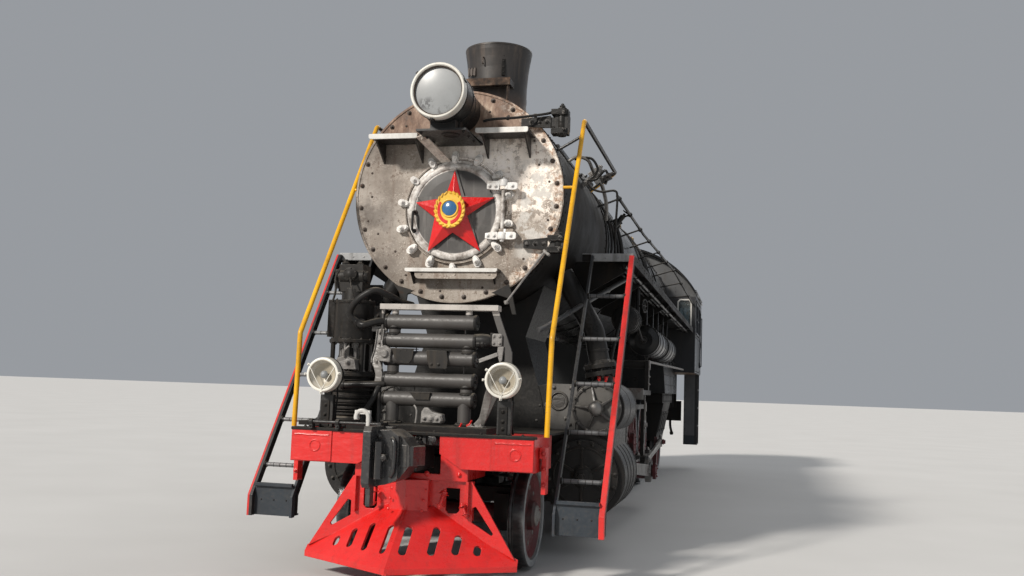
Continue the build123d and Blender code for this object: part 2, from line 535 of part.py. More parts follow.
t -= CY(12000, 12890, 0, BOILER_Z, FIRE_R)
sv.append(t)
put("safety_valves", sv)

# ---------------------------------------------------------------- boards, ladders, rails
x0, x1 = BOARD_X
rb = both(B(x0, x1, 1950, 12898, BOARD_Z - 20, BOARD_Z)) + both(B(x1 - 12, x1, 1950, 12898, BOARD_Z - 90, BOARD_Z - 20))
rb += both(B(x0, x1 - 12, 1950, 1962, BOARD_Z - 75, BOARD_Z - 20))
for y in (2400, 3800, 5300, 7000, 8700):
    r = SMOKE_R if y < 3900 else (BARREL_R0 if y < 5700 else BARREL_R1 + 2)
    p = PY([(880, 2940), (1568, 2940), (1560, 2900), (980, 2560), (760, 2620)], y - 10, y + 10)
    p -= CY(y - 50, y + 50, 0, BOILER_Z, SMOKE_R) if y < 3900 else core
    rb += both(max(p.solids(), key=lambda s: s.volume))
put("running_boards", *rb)

# ladder: stile from board corner to the bottom step, treads by (y, z)
def ladder():
    out = []
    for x, t in ((1160, 22), (1545, 45)):
        for pts in ([(1950, 2940), (1890, 2940), (230, 560), (290, 545)], [(230, 560), (230, 380), (290, 380), (290, 545)]):
            out.append(PX(pts, x, x + t))
    for y, z in ((1612, 2500), (1311, 2065), (1017, 1640), (723, 1215), (446, 815)):
        out.append(CX(1182, 1545, y, z, 19))
    out.append(B(1182, 1545, 250, 292, 640, 668))
    out.append(B(1182, 1545, 280, 292, 385, 640))
    out.append(B(1182, 1545, 292, 420, 385, 400))
    return out


front_ladders = [q for p in ladder() for q in both(p)]

# hand rail from the beam up beside the smokebox; the right-hand one leans inwards
rails = []
for side, xt in ((1, 1130), (-1, 1020)):
    k = (SMOKE_R + 1) / math.hypot(xt, 820)
    r = pipe([(side * 1120, 100, 1185), (side * 1130, 140, 2000), (side * xt, 1430, 4200), (side * xt, 3760, 4200),
              (side * xt * k, 3760, BOILER_Z + 820 * k)], 22, 50)
    xs = 1130 + (xt - 1130) * (4020 - 2000) / 2200
    k = (SMOKE_R + 1) / math.hypot(xs, 640)
    r = U(r, bar((side * xs, 1325, 4020), (side * xs * k, 1325, BOILER_Z + 640 * k), 14))
    xs = 1130 + (xt - 1130) * (3450 - 2000) / 2200
    r = U(r, bar((side * xs, 990, 3450), (side * 1024, 990, 3450), 14))
    rails.append(r)
put("front_handrails", rails)

hr = [pipe([(1215, 3350, 3835), (1245, 6000, 3812), (1385, 10000, 3790), (1560, 12880, 3470)], 18, 3000)]
for y, x, z, r in ((3500, 1217, 3834, SMOKE_R), (6600, 1265, 3809, 1030), (8800, 1343, 3797, BARREL_R1),
                   (11000, 1440, 3690, FIRE_R)):
    d = math.hypot(x, z - BOILER_Z)
    hr.append(bar((x / d * (r + 4), y, BOILER_Z + (z - BOILER_Z) / d * (r + 4)),
                  (x / d * (d - 19), y, BOILER_Z + (z - BOILER_Z) / d * (d - 19)), 12))
put("boiler_handrails", *[q for p in hr for q in both(p)])

# air reservoirs under the running boards
res = []
for s in (1, -1):
    for y0, y1 in ((5400, 6900), (7100, 8600)):
        t = turned_y([(y0, 0), (y0, 120), (y0 + 60, 200), (y1 - 60, 200), (y1, 120), (y1, 0)], s * 1340, 2290)
        res.append(t)
        for y in (y0 + 300, y1 - 300):
            h = B(s * 1340 - 12, s * 1340 + 12, y - 20, y + 20, 2440, 2940)
            res.append(h - CY(y - 40, y + 40, s * 1340, 2290, 200))
put("air_reservoirs", *res)

# ---------------------------------------------------------------- cab
cx, z0, ze, zr = CAB_X, CAB_Z, CAB_EAVE, CAB_RIDGE
RR = (cx ** 2 + (zr - ze) ** 2) / (2 * (zr - ze))


def roof_disc(y0, y1, r):
    return CY(y0, y1, 0, zr - RR, r)


put("cab_floor", U(B(-cx + 42, cx - 42, 12942, 15358, z0, z0 + 45)) - B(-1242, 1242, 12900, 13262, 2000, 2200))
front = B(-cx, cx, 12900, 12940, z0, zr) & roof_disc(12900, 12940, RR - 30)
front -= U(CY(12800, 13000, 0, BOILER_Z, FIRE_R + 1), PY([(-1011, 2960), (-1181, 2400), (-1241, 1600), (1241, 1600),
           (1181, 2400), (1011, 2960)], 12800, 13000))
for s in (1, -1):
    front -= PY([(s * 1270, 2960), (s * 1520, 2960), (s * 1520, 3500), (s * 1480, 3545), (s * 1310, 3545), (s * 1270, 3500)],
                12800, 13000)
put("cab_front", front)
rear = (B(-cx, cx, 15360, 15400, z0, zr) & roof_disc(15360, 15400, RR - 30)) - B(-560, 560, 15300, 15500, z0 - 5, 3900)
for s in (1, -1):
    a, b = sorted((s * 800, s * 1350))
    rear -= B(a, b, 15300, 15500, 3050, 3600)
put("cab_rear", rear)
WIN = [(13200, 13780), (13860, 14440)]
DOOR = (14700, 15300)
for side_name, s in (("left", 1), ("right", -1)):
    a, b = sorted((s * (cx - 40), s * cx))
    w = B(a, b, 12942, 15358, z0, zr) & roof_disc(12942, 15358, RR - 31)
    for y0, y1 in WIN:
        w -= B(a - 5, b + 5, y0, y1, 2900, 3480)
    w -= B(a - 5, b + 5, DOOR[0], DOOR[1], z0 + 50, 3600)
    put("cab_side_" + side_name, w)
    d = B(a, b, DOOR[0] + 6, DOOR[1] - 6, z0 + 56, 3594) - B(a - 5, b + 5, DOOR[0] + 120, DOOR[1] - 120, 2950, 3450)
    d = U(d, CZ(2200, 2320, s * (cx + 15), DOOR[0] + 20, 14), CZ(3300, 3420, s * (cx + 15), DOOR[0] + 20, 14))
    put("cab_door_" + side_name, d)
roof = roof_disc(12760, 15540, RR) - roof_disc(12700, 15600, RR - 30)
roof = roof & B(-cx - 20, cx + 20, 12700, 15600, ze - 40, zr + 50)
roof = U(roof, B(-350, 350, 13700, 14700, zr - 60, zr + 60))
roof -= roof_disc(12700, 15600, RR - 31)
put("cab_roof", roof)
panes = []
for s in (1, -1):
    a, b = sorted((s * (cx - 23), s * (cx - 17)))
    for y0, y1 in WIN:
        panes.append(B(a, b, y0, y1, 2900, 3480))
    panes.append(PY([(s * 1270, 2960), (s * 1520, 2960), (s * 1520, 3500), (s * 1480, 3545), (s * 1310, 3545),
                     (s * 1270, 3500)], 12917, 12923))
    a, b = sorted((s * 800, s * 1350))
    panes.append(B(a, b, 15377, 15383, 3050, 3600))
put("cab_glass", panes)

steps2 = []
for s in (1, -1):
    a, b = sorted((s * 1300, s * 1600))
    steps2 += [B(a, b, 14690, 14710, 500, 2048), B(a, b, 15290, 15310, 500, 2048)]
    for z in (500, 900, 1300, 1700):
        steps2.append(B(a, b, 14710, 15290, z, z + 20))
put("ladders", front_ladders, steps2)

drag = B(-1200, 1200, 15300, 15450, 1000, 1450) - B(-200, 200, 15290, 15500, 1060, 1180)
drag = U(drag, B(-250, 250, 15120, 15305, 1000, 1060), B(-250, 250, 15120, 15305, 1180, 1238))
drag -= CZ(900, 1500, 0, 15210, 50)
put("drag_beam", drag)

# ---------------------------------------------------------------- write
lo = [1e9] * 3
hi = [-1e9] * 3
for name, sol in NODES.items():
    c = Compound(children=[s for s in sol]) if len(sol) > 1 else sol[0]
    c = Pos(0, Y_SHIFT, FLANGE) * c
    export_step(c, "parts/%s.step" % name)
    bb = c.bounding_box()
    for i, (a, b) in enumerate(((bb.min.X, bb.max.X), (bb.min.Y, bb.max.Y), (bb.min.Z, bb.max.Z))):
        lo[i], hi[i] = min(lo[i], a), max(hi[i], b)
print("nodes", len(NODES), "box", [round(v, 2) for v in lo], [round(v, 2) for v in hi],
      "mid y", round((lo[1] + hi[1]) / 2, 2))
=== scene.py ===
import bpy
import bmesh
import json
import math
import random
from mathutils import Vector, Matrix


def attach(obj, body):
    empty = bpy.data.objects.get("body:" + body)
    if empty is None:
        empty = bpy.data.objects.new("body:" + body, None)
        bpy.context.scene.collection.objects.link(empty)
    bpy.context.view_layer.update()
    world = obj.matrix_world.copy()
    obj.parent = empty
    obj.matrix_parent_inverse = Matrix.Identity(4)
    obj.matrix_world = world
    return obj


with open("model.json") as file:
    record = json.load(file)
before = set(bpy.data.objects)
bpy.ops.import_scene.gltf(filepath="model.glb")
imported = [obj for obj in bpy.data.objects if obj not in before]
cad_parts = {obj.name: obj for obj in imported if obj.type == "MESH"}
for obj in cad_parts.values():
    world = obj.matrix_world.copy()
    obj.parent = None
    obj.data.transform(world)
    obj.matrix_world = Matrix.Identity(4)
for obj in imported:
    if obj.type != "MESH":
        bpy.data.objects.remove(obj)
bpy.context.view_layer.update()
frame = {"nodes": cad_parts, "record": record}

NODE = frame["nodes"]
SCN = bpy.context.scene
# Points below are written in engine metres: x to the engine's left, y back from the buffer beam, z up from the rail.
OFF = Vector((0.0, -7.470, 0.028))
ROOT = "chassis"
rnd = random.Random(7)


# ---------------------------------------------------------------- materials
class Mat:
    """A small helper that writes node trees."""

    def __init__(self, name):
        self.m = bpy.data.materials.new(name)
        self.m.use_nodes = True
        self.t = self.m.node_tree
        self.t.nodes.clear()
        self.out = self.n("ShaderNodeOutputMaterial")
        self.b = self.n("ShaderNodeBsdfPrincipled")
        self.l(self.b.outputs[0], self.out.inputs[0])
        self.co = self.n("ShaderNodeTexCoord").outputs["Object"]
        self.geo = self.n("ShaderNodeNewGeometry")

    def n(self, kind, **kw):
        x = self.t.nodes.new(kind)
        for k, v in kw.items():
            setattr(x, k, v)
        return x

    def l(self, a, b):
        self.t.links.new(a, b)

    def put(self, sock, v):
        if isinstance(v, bpy.types.NodeSocket):
            self.l(v, sock)
        else:
            sock.default_value = v

    def scaled(self, stretch, move=(0, 0, 0)):
        k = self.n("ShaderNodeMapping")
        self.l(self.co, k.inputs["Vector"])
        k.inputs["Scale"].default_value = stretch
        k.inputs["Location"].default_value = move
        return k.outputs[0]

    def noise(self, scale, detail=3.0, rough=0.55, stretch=None, dist=0.0, move=(0, 0, 0)):
        k = self.n("ShaderNodeTexNoise")
        k.inputs["Scale"].default_value = scale
        k.inputs["Detail"].default_value = detail
        k.inputs["Roughness"].default_value = rough
        k.inputs["Distortion"].default_value = dist
        self.l(self.scaled(stretch or (1, 1, 1), move), k.inputs["Vector"])
        return k.outputs[0]

    def cells(self, scale, feature="F1", out=0, stretch=None):
        k = self.n("ShaderNodeTexVoronoi", feature=feature)
        k.inputs["Scale"].default_value = scale
        self.l(self.scaled(stretch or (1, 1, 1)), k.inputs["Vector"])
        return k.outputs[out]

    def step(self, v, a, b, lo=0.0, hi=1.0, soft=True):
        k = self.n("ShaderNodeMapRange")
        if soft:
            k.interpolation_type = "SMOOTHSTEP"
        self.put(k.inputs["Value"], v)
        k.inputs["From Min"].default_value = a
        k.inputs["From Max"].default_value = b
        k.inputs["To Min"].default_value = lo
        k.inputs["To Max"].default_value = hi
        return k.outputs[0]

    def math(self, op, a, b=0.0, c=None, clamp=False):
        k = self.n("ShaderNodeMath", operation=op, use_clamp=clamp)
        self.put(k.inputs[0], a)
        self.put(k.inputs[1], b)
        if c is not None:
            self.put(k.inputs[2], c)
        return k.outputs[0]

    def mul(self, *a):
        r = a[0]
        for x in a[1:]:
            r = self.math("MULTIPLY", r, x)
        return r

    def add(self, a, b, clamp=False):
        return self.math("ADD", a, b, clamp=clamp)

    def mix(self, f, a, b, blend="MIX"):
        k = self.n("ShaderNodeMix", data_type="RGBA", blend_type=blend)
        self.put(k.inputs[0], f)
        for s, v in ((k.inputs[6], a), (k.inputs[7], b)):
            if isinstance(v, bpy.types.NodeSocket):
                self.l(v, s)
            else:
                s.default_value = (v[0], v[1], v[2], 1.0)
        return k.outputs[2]

    def ramp(self, v, stops):
        k = self.n("ShaderNodeValToRGB")
        self.put(k.inputs[0], v)
        e = k.color_ramp.elements
        while len(e) < len(stops):
            e.new(0.5)
        for x, (p, c) in zip(e, stops):
            x.position = p
            x.color = (c[0], c[1], c[2], 1.0)
        return k.outputs[0]

    def axis(self, i):
        k = self.n("ShaderNodeSeparateXYZ")
        self.l(self.co, k.inputs[0])
        return k.outputs[i]

    def up(self):
        k = self.n("ShaderNodeSeparateXYZ")
        self.l(self.geo.outputs["Normal"], k.inputs[0])
        return k.outputs[2]

    def radius(self, c, keep=(0, 1, 1)):
        """Distance from the line through c, over the axes in keep."""
        a = self.n("ShaderNodeVectorMath", operation="SUBTRACT")
        self.l(self.co, a.inputs[0])
        a.inputs[1].default_value = c
        m = self.n("ShaderNodeVectorMath", operation="MULTIPLY")
        self.l(a.outputs[0], m.inputs[0])
        m.inputs[1].default_value = keep
        r = self.n("ShaderNodeVectorMath", operation="LENGTH")
        self.l(m.outputs[0], r.inputs[0])
        return r.outputs["Value"]

    def between(self, v, a, b, s=0.004):
        return self.mul(self.step(v, a - s, a + s), self.step(v, b - s, b + s, 1.0, 0.0))

    def edge(self, radius=0.008):
        """1 at outside edges, 0 on faces, and the rounded normal."""
        k = self.n("ShaderNodeBevel", samples=4)
        k.inputs["Radius"].default_value = radius
        d = self.n("ShaderNodeVectorMath", operation="DOT_PRODUCT")
        self.l(k.outputs[0], d.inputs[0])
        self.l(self.geo.outputs["Normal"], d.inputs[1])
        return self.step(d.outputs["Value"], 0.995, 0.86), k.outputs[0]

    def bump(self, height, strength=0.3, distance=0.002, normal=None):
        k = self.n("ShaderNodeBump")
        k.inputs["Strength"].default_value = strength
        k.inputs["Distance"].default_value = distance
        self.l(height, k.inputs["Height"])
        if normal is not None:
            self.l(normal, k.inputs["Normal"])
        return k.outputs[0]


def finish(q, color, rough, normal, metallic=None):
    q.put(q.b.inputs["Base Color"], color)
    q.put(q.b.inputs["Roughness"], rough)
    if normal is not None:
        q.l(normal, q.b.inputs["Normal"])
    if metallic is not None:
        q.put(q.b.inputs["Metallic"], metallic)
    return q.m


RUST = (0.150, 0.055, 0.022)
RUST2 = (0.060, 0.024, 0.012)
DUST = (0.235, 0.205, 0.165)


def paint(name, base, dark=None, dirt=(0.030, 0.024, 0.018), dirt_amt=0.45, rust_amt=0.12, dust=0.25, rough=(0.38, 0.62),
          wear=(0.16, 0.15, 0.14), wear_amt=0.5, lumps=0.0, grain=0.25, coat=0.0, streak=9.0, edge=0.008, fade=0.16):
    """Brush paint on steel: uneven colour, dirt runs, rust blooms, dust on top faces and worn edges."""
    q = Mat(name)
    dark = dark or tuple(c * (1.0 - 2 * fade) for c in base)
    light = tuple(min(1.0, c * (1.0 + fade) + 0.004) for c in base)
    big = q.noise(1.1, 4, 0.6)
    c = q.ramp(big, [(0.30, dark), (0.52, base), (0.72, light)])
    runs = q.noise(1.0, 4, 0.62, stretch=(streak, streak, 0.7))
    c = q.mix(q.mul(q.step(runs, 0.50, 0.74), dirt_amt), c, dirt)
    fine = q.noise(34, 5, 0.65)
    c = q.mix(q.mul(q.step(fine, 0.52, 0.70), dirt_amt * 0.45), c, dirt)
    r = q.step(big, 0.3, 0.7, rough[0], rough[1])
    r = q.add(r, q.step(fine, 0.4, 0.7, -0.05, 0.10))
    if rust_amt:
        spots = q.mul(q.step(q.noise(5.5, 6, 0.7, move=(3, 1, 2)), 0.60, 0.72), q.step(q.noise(48, 4, 0.7), 0.40, 0.58))
        c = q.mix(q.mul(spots, min(1.0, rust_amt * 3)), c, q.mix(fine, RUST2, RUST))
        r = q.add(r, q.mul(spots, 0.3))
    if dust:
        d = q.mul(q.step(q.up(), 0.45, 0.95), q.step(q.noise(7, 4, 0.6), 0.30, 0.75), dust * 1.6)
        c = q.mix(d, c, DUST)
        r = q.add(r, q.mul(d, 0.5))
    e, nrm = q.edge(edge)
    if wear_amt:
        w = q.mul(e, q.step(q.noise(22, 4, 0.7, move=(1, 7, 3)), 0.44, 0.62), wear_amt)
        c = q.mix(w, c, wear)
    h = q.add(q.mul(fine, 0.5), q.mul(q.noise(260, 3, 0.6), 0.25))
    nrm = q.bump(h, grain, 0.0025, nrm)
    if lumps:
        nrm = q.bump(q.noise(13, 3, 0.5, stretch=(0.7, 1, 1.6)), lumps, 0.012, nrm)
    q.b.inputs["Coat Weight"].default_value = coat
    q.b.inputs["Coat Roughness"].default_value = 0.18
    if max(base) < 0.03:
        q.b.inputs["Specular IOR Level"].default_value = 0.18
    return finish(q, c, q.math("MINIMUM", r, 0.95), nrm)


def steel(name, base, rough=(0.28, 0.5), rust_amt=0.35, metallic=0.85, oil=0.5, grain=0.2, dust=0.15):
    """Bare steel with oil film, brown tarnish and small pits."""
    q = Mat(name)
    big = q.noise(2.1, 4, 0.6)
    fine = q.noise(60, 5, 0.7)
    c = q.ramp(big, [(0.28, tuple(x * 0.72 for x in base)), (0.55, base), (0.78, tuple(min(1, x * 1.2) for x in base))])
    film = q.step(q.noise(1.0, 5, 0.65, stretch=(5, 5, 1.2)), 0.46, 0.70)
    c = q.mix(q.mul(film, oil), c, (0.035, 0.026, 0.018))
    tar = q.mul(q.step(q.noise(7, 6, 0.7, move=(5, 2, 8)), 0.52, 0.68), rust_amt)
    c = q.mix(tar, c, q.mix(fine, RUST2, RUST))
    d = q.mul(q.step(q.up(), 0.5, 0.95), q.step(q.noise(6, 4, 0.6), 0.35, 0.75), dust)
    c = q.mix(d, c, DUST)
    r = q.add(q.step(big, 0.3, 0.7, rough[0], rough[1]), q.mul(tar, 0.4))
    m = q.math("SUBTRACT", metallic, q.mul(tar, 0.7), clamp=True)
    e, nrm = q.edge(0.006)
    c = q.mix(q.mul(e, 0.35), c, tuple(min(1, x * 1.7) for x in base))
    nrm = q.bump(q.add(q.mul(fine, 0.5), q.mul(q.noise(300, 3, 0.6), 0.3)), grain, 0.002, nrm)
    return finish(q, c, q.math("MINIMUM", r, 0.9), nrm, m)


# ---------------------------------------------------------------- camera, floor and light
def camera():
    yaw, pitch, roll = math.radians(13.55), math.radians(5.85), math.radians(2.04)
    fw = Vector((-math.sin(yaw) * math.cos(pitch), math.cos(yaw) * math.cos(pitch), math.sin(pitch)))
    rt = Vector((math.cos(yaw), math.sin(yaw), 0.0))
    up = rt.cross(fw)
    r3 = rt * math.cos(roll) + up * math.sin(roll)
    u3 = up * math.cos(roll) - rt * math.sin(roll)
    cd = bpy.data.cameras.new("cam")
    cd.sensor_fit = "HORIZONTAL"
    cd.sensor_width = 36.0
    cd.lens = 996.134 * 36.0 / 1024.0
    cd.clip_start, cd.clip_end = 0.1, 400.0
    co = bpy.data.objects.new("cam", cd)
    m = Matrix((r3, u3, -fw)).transposed().to_4x4()
    m.translation = Vector((2.727, -7.965, 1.561)) + OFF
    co.matrix_world = m
    SCN.collection.objects.link(co)
    SCN.camera = co


def sun(name, toward, strength, angle, color=(1, 1, 1)):
    """A large soft light far away; toward points from the engine to the light."""
    ld = bpy.data.lights.new(name, "SUN")
    ld.energy = strength
    ld.angle = math.radians(angle)
    ld.color = color
    lo = bpy.data.objects.new(name, ld)
    lo.location = Vector(toward).normalized() * 30.0
    lo.rotation_mode = "QUATERNION"
    lo.rotation_quaternion = (-Vector(toward)).to_track_quat("-Z", "Y")
    SCN.collection.objects.link(lo)


def stage():
    me = bpy.data.meshes.new("floor")
    bm = bmesh.new()
    n = 16
    grid = [[bm.verts.new((-400 + 800 * i / n, -400 + 800 * j / n, 0.0)) for j in range(n + 1)] for i in range(n + 1)]
    for i in range(n):
        for j in range(n):
            bm.faces.new((grid[i][j], grid[i + 1][j], grid[i + 1][j + 1], grid[i][j + 1]))
    bm.to_mesh(me)
    bm.free()
    ob = bpy.data.objects.new("studio_floor", me)
    SCN.collection.objects.link(ob)
    q = Mat("floor")
    c = q.ramp(q.noise(0.5, 3, 0.5), [(0.3, (0.50, 0.495, 0.485)), (0.7, (0.535, 0.53, 0.52))])
    finish(q, c, 0.9, q.bump(q.noise(60.0, 3, 0.6), 0.15, 0.002))
    me.materials.append(q.m)
    w = bpy.data.worlds.new("studio")
    SCN.world = w
    w.use_nodes = True
    bg = w.node_tree.nodes["Background"]
    bg.inputs["Color"].default_value = (0.80, 0.84, 0.90, 1.0)
    bg.inputs["Strength"].default_value = 0.39
    sun("key", (-0.60, -0.98, 0.70), 4.2, 7, (1.0, 0.945, 0.87))
    sun("fill", (0.95, -0.60, 0.75), 0.20, 60, (0.90, 0.95, 1.0))
    sun("back", (0.25, 0.95, 0.90), 0.75, 45, (1.0, 0.98, 0.95))
    SCN.view_settings.view_transform = "Standard"
    SCN.view_settings.look = "None"
    SCN.view_settings.exposure = 0.0


camera()
stage()

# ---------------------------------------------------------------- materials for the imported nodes
YC = OFF.y
ZC = OFF.z


def smokebox_silver():
    """Flaky aluminium paint: soot and rust at the top, white patches, brown runs and bare grey at one side; painted
    light lifts the shade below the headlight and steps, and painted shade darkens the left.
    """
    q = Mat("smokebox_silver")
    x, z = q.axis(0), q.axis(2)
    big = q.noise(1.9, 5, 0.65)
    mid = q.noise(6.5, 5, 0.68)
    fine = q.noise(36, 5, 0.72)
    grit = q.noise(110, 4, 0.7)
    c = q.ramp(big, [(0.30, (0.175, 0.141, 0.1114)), (0.48, (0.3, 0.2585, 0.2175)), (0.66, (0.46, 0.4136, 0.361))])
    # pale flaked paint over the upper part below the steps, with painted light lifting the shade cast by the headlight
    # and steps
    pale_flakes_and_painted_light = q.mul(q.between(z, 3.36, 3.94, 0.16), q.step(x, -0.60, 0.10, 0.05, 1.0), q.step(x, 1.02, 0.80), q.step(mid, 0.34, 0.56))
    c = q.mix(q.mul(pale_flakes_and_painted_light, 0.95), c, (0.9, 0.8272, 0.7482))
    bl = q.mul(q.between(z, 2.95, 3.75, 0.22), q.between(x, -0.66, -0.28, 0.10), q.step(mid, 0.40, 0.62))
    c = q.mix(q.mul(bl, 0.42), c, (0.62, 0.5546, 0.4872))
    # speckle of chips through to dark scale
    chips = q.mul(q.step(fine, 0.54, 0.60), q.step(mid, 0.36, 0.64))
    c = q.mix(q.mul(chips, 0.74), c, (0.11, 0.06768, 0.04524))
    chips2 = q.step(grit, 0.61, 0.66)
    c = q.mix(q.mul(chips2, 0.50), c, (0.1, 0.06768, 0.04872))
    flakes = q.mul(q.step(q.noise(58, 5, 0.72, move=(9, 2, 4)), 0.56, 0.61), q.step(q.noise(3.4, 4, 0.6, move=(6, 6, 2)), 0.40, 0.58))
    c = q.mix(q.mul(flakes, 0.75), c, (0.68, 0.611, 0.5351))
    # brown runs
    runs = q.step(q.noise(1.0, 5, 0.65, stretch=(10, 10, 0.55)), 0.52, 0.68)
    c = q.mix(q.mul(runs, 0.44), c, (0.135, 0.07332, 0.04176))
    # rust drawn down from the hinge and bolts at the upper right
    rr = q.mul(q.between(x, 0.36, 0.86, 0.10), q.between(z, 3.30, 3.98, 0.14), q.step(q.noise(1.0, 5, 0.6, stretch=(17, 17, 0.8), move=(1, 5, 0)), 0.50, 0.60))
    c = q.mix(q.mul(rr, 0.45), c, (0.26, 0.1363, 0.0696))
    # white and pink flakes over the upper right
    fl = q.mul(q.between(x, 0.20, 1.00, 0.12), q.between(z, 3.20, 3.98, 0.12), q.step(q.noise(15, 5, 0.7, move=(3, 8, 6)), 0.47, 0.54))
    c = q.mix(q.mul(fl, 0.90), c, (0.93, 0.846, 0.7569))
    # darker, browner lower half
    low = q.step(z, 3.10, 2.45)
    c = q.mix(q.mul(low, 0.20), c, (0.145, 0.1175, 0.09396))
    # darker patches towards the left
    left = q.mul(q.step(x, -0.42, -0.95), q.step(q.noise(2.4, 4, 0.6, move=(2, 2, 2)), 0.40, 0.58))
    c = q.mix(q.mul(left, 0.78), c, (0.055, 0.04136, 0.03219))
    # bare light grey patch at the right
    pal = q.mul(q.between(x, 0.60, 0.95, 0.05), q.between(z, 2.80, 3.70, 0.10), q.step(q.noise(6.2, 5, 0.62, move=(4, 0, 1)), 0.48, 0.53))
    c = q.mix(q.mul(pal, 0.85), c, q.ramp(fine, [(0.35, (0.43, 0.4136, 0.3871)), (0.65, (0.6, 0.5734, 0.5351))]))
    # bright flaked zone between the door and the right-hand step, also painted light lifting the shadow under the
    # headlight and steps
    flakes_and_painted_light_mid = q.mul(q.between(x, 0.04, 0.56, 0.10), q.between(z, 3.52, 3.88, 0.08), q.step(q.noise(22, 5, 0.7, move=(8, 2, 1)), 0.40, 0.52))
    c = q.mix(q.mul(flakes_and_painted_light_mid, 0.88), c, (0.94, 0.88, 0.83))
    # painted shade darkening the left of the plate
    left_painted_shade = q.step(x, -0.10, -0.90)
    c = q.mix(q.mul(left_painted_shade, 0.34), c, (0.085, 0.066, 0.054))
    # scorched top
    top = q.add(q.step(z, 3.90, 4.10), q.mul(q.step(mid, 0.4, 0.7), q.step(z, 3.74, 4.02), 0.5), clamp=True)
    burnt = q.ramp(q.noise(5.0, 6, 0.72, stretch=(1.6, 1.6, 0.6)), [(0.32, (0.06, 0.0376, 0.02697)), (0.48, (0.155, 0.0846, 0.0522)), (0.60, (0.29, 0.188, 0.1305)), (0.72, (0.56, 0.4418, 0.3306))])
    c = q.mix(q.mul(top, 0.92), c, burnt)
    # pale weeping and rust along the right-hand part of the rim
    rad = q.radius((0.0, 0.0, 3.380 + ZC), (1, 0, 1))
    rim = q.mul(q.step(rad, 0.90, 0.96), q.step(x, 0.30, 0.70), q.step(q.noise(20, 5, 0.7, move=(5, 0, 9)), 0.46, 0.53))
    c = q.mix(q.mul(rim, 0.8), c, q.ramp(q.noise(30, 4, 0.7), [(0.42, (0.3, 0.1598, 0.087)), (0.55, (0.8, 0.7144, 0.6177))]))
    c = q.mix(q.step(rad, 1.030, 1.036), c, (0.013, 0.012, 0.0115))
    e, nrm = q.edge(0.006)
    c = q.mix(q.mul(e, 0.5), c, (0.1, 0.0705, 0.0522))
    r = q.add(q.step(big, 0.3, 0.7, 0.70, 0.56), q.mul(chips, 0.15))
    nrm = q.bump(q.add(q.mul(fine, 0.7), q.mul(grit, 0.4)), 0.62, 0.006, nrm)
    nrm = q.bump(big, 0.25, 0.02, nrm)
    return finish(q, c, r, nrm, q.mul(pale_flakes_and_painted_light, 0.10))


def door_grey():
    q = Mat("door_grey")
    x, z = q.axis(0), q.axis(2)
    big = q.noise(3.0, 4, 0.6)
    fine = q.noise(60, 5, 0.7)
    c = q.ramp(big, [(0.3, (0.030, 0.028, 0.027)), (0.55, (0.060, 0.056, 0.053)), (0.75, (0.115, 0.110, 0.104))])
    runs = q.step(q.noise(1.0, 4, 0.6, stretch=(13, 13, 0.9)), 0.48, 0.68)
    c = q.mix(q.mul(runs, 0.6), c, (0.19, 0.178, 0.166))
    c = q.mix(q.mul(q.step(fine, 0.56, 0.66), 0.4), c, (0.03, 0.026, 0.024))
    # the pale raised seat round the edge
    rr = q.radius((0.002, 0.0, 3.220 + ZC), (1, 0, 1))
    ring = q.step(rr, 0.392, 0.404)
    pale = q.ramp(q.noise(9, 5, 0.7), [(0.34, (0.16, 0.138, 0.12)), (0.48, (0.42, 0.39, 0.36)), (0.60, (0.66, 0.64, 0.61))])
    c = q.mix(ring, c, pale)
    e, nrm = q.edge(0.005)
    nrm = q.bump(q.add(q.mul(fine, 0.6), big), 0.3, 0.003, nrm)
    return finish(q, c, q.step(big, 0.3, 0.7, 0.45, 0.65), nrm)


def chimney_mat():
    q = Mat("chimney_soot")
    z = q.axis(2)
    big = q.noise(2.6, 4, 0.6)
    fine = q.noise(50, 5, 0.7)
    c = q.ramp(big, [(0.3, (0.016, 0.014, 0.013)), (0.55, (0.030, 0.026, 0.024)), (0.75, (0.055, 0.044, 0.038))])
    runs = q.step(q.noise(1.0, 5, 0.65, stretch=(12, 12, 0.8)), 0.50, 0.68)
    c = q.mix(q.mul(runs, 0.5), c, (0.10, 0.075, 0.058))
    foot = q.step(z, 4.80 + ZC, 4.45 + ZC)
    brown = q.ramp(q.noise(6, 6, 0.7, stretch=(1, 1, 0.7)), [(0.34, (0.05, 0.03, 0.022)), (0.52, (0.15, 0.09, 0.06)), (0.70, (0.34, 0.25, 0.19))])
    c = q.mix(q.mul(foot, 0.9), c, brown)
    e, nrm = q.edge(0.006)
    c = q.mix(q.mul(e, 0.4), c, (0.15, 0.13, 0.115))
    nrm = q.bump(q.add(q.mul(fine, 0.6), q.mul(q.noise(220, 3, 0.6), 0.3)), 0.35, 0.003, nrm)
    return finish(q, c, q.step(big, 0.3, 0.7, 0.34, 0.52), nrm)


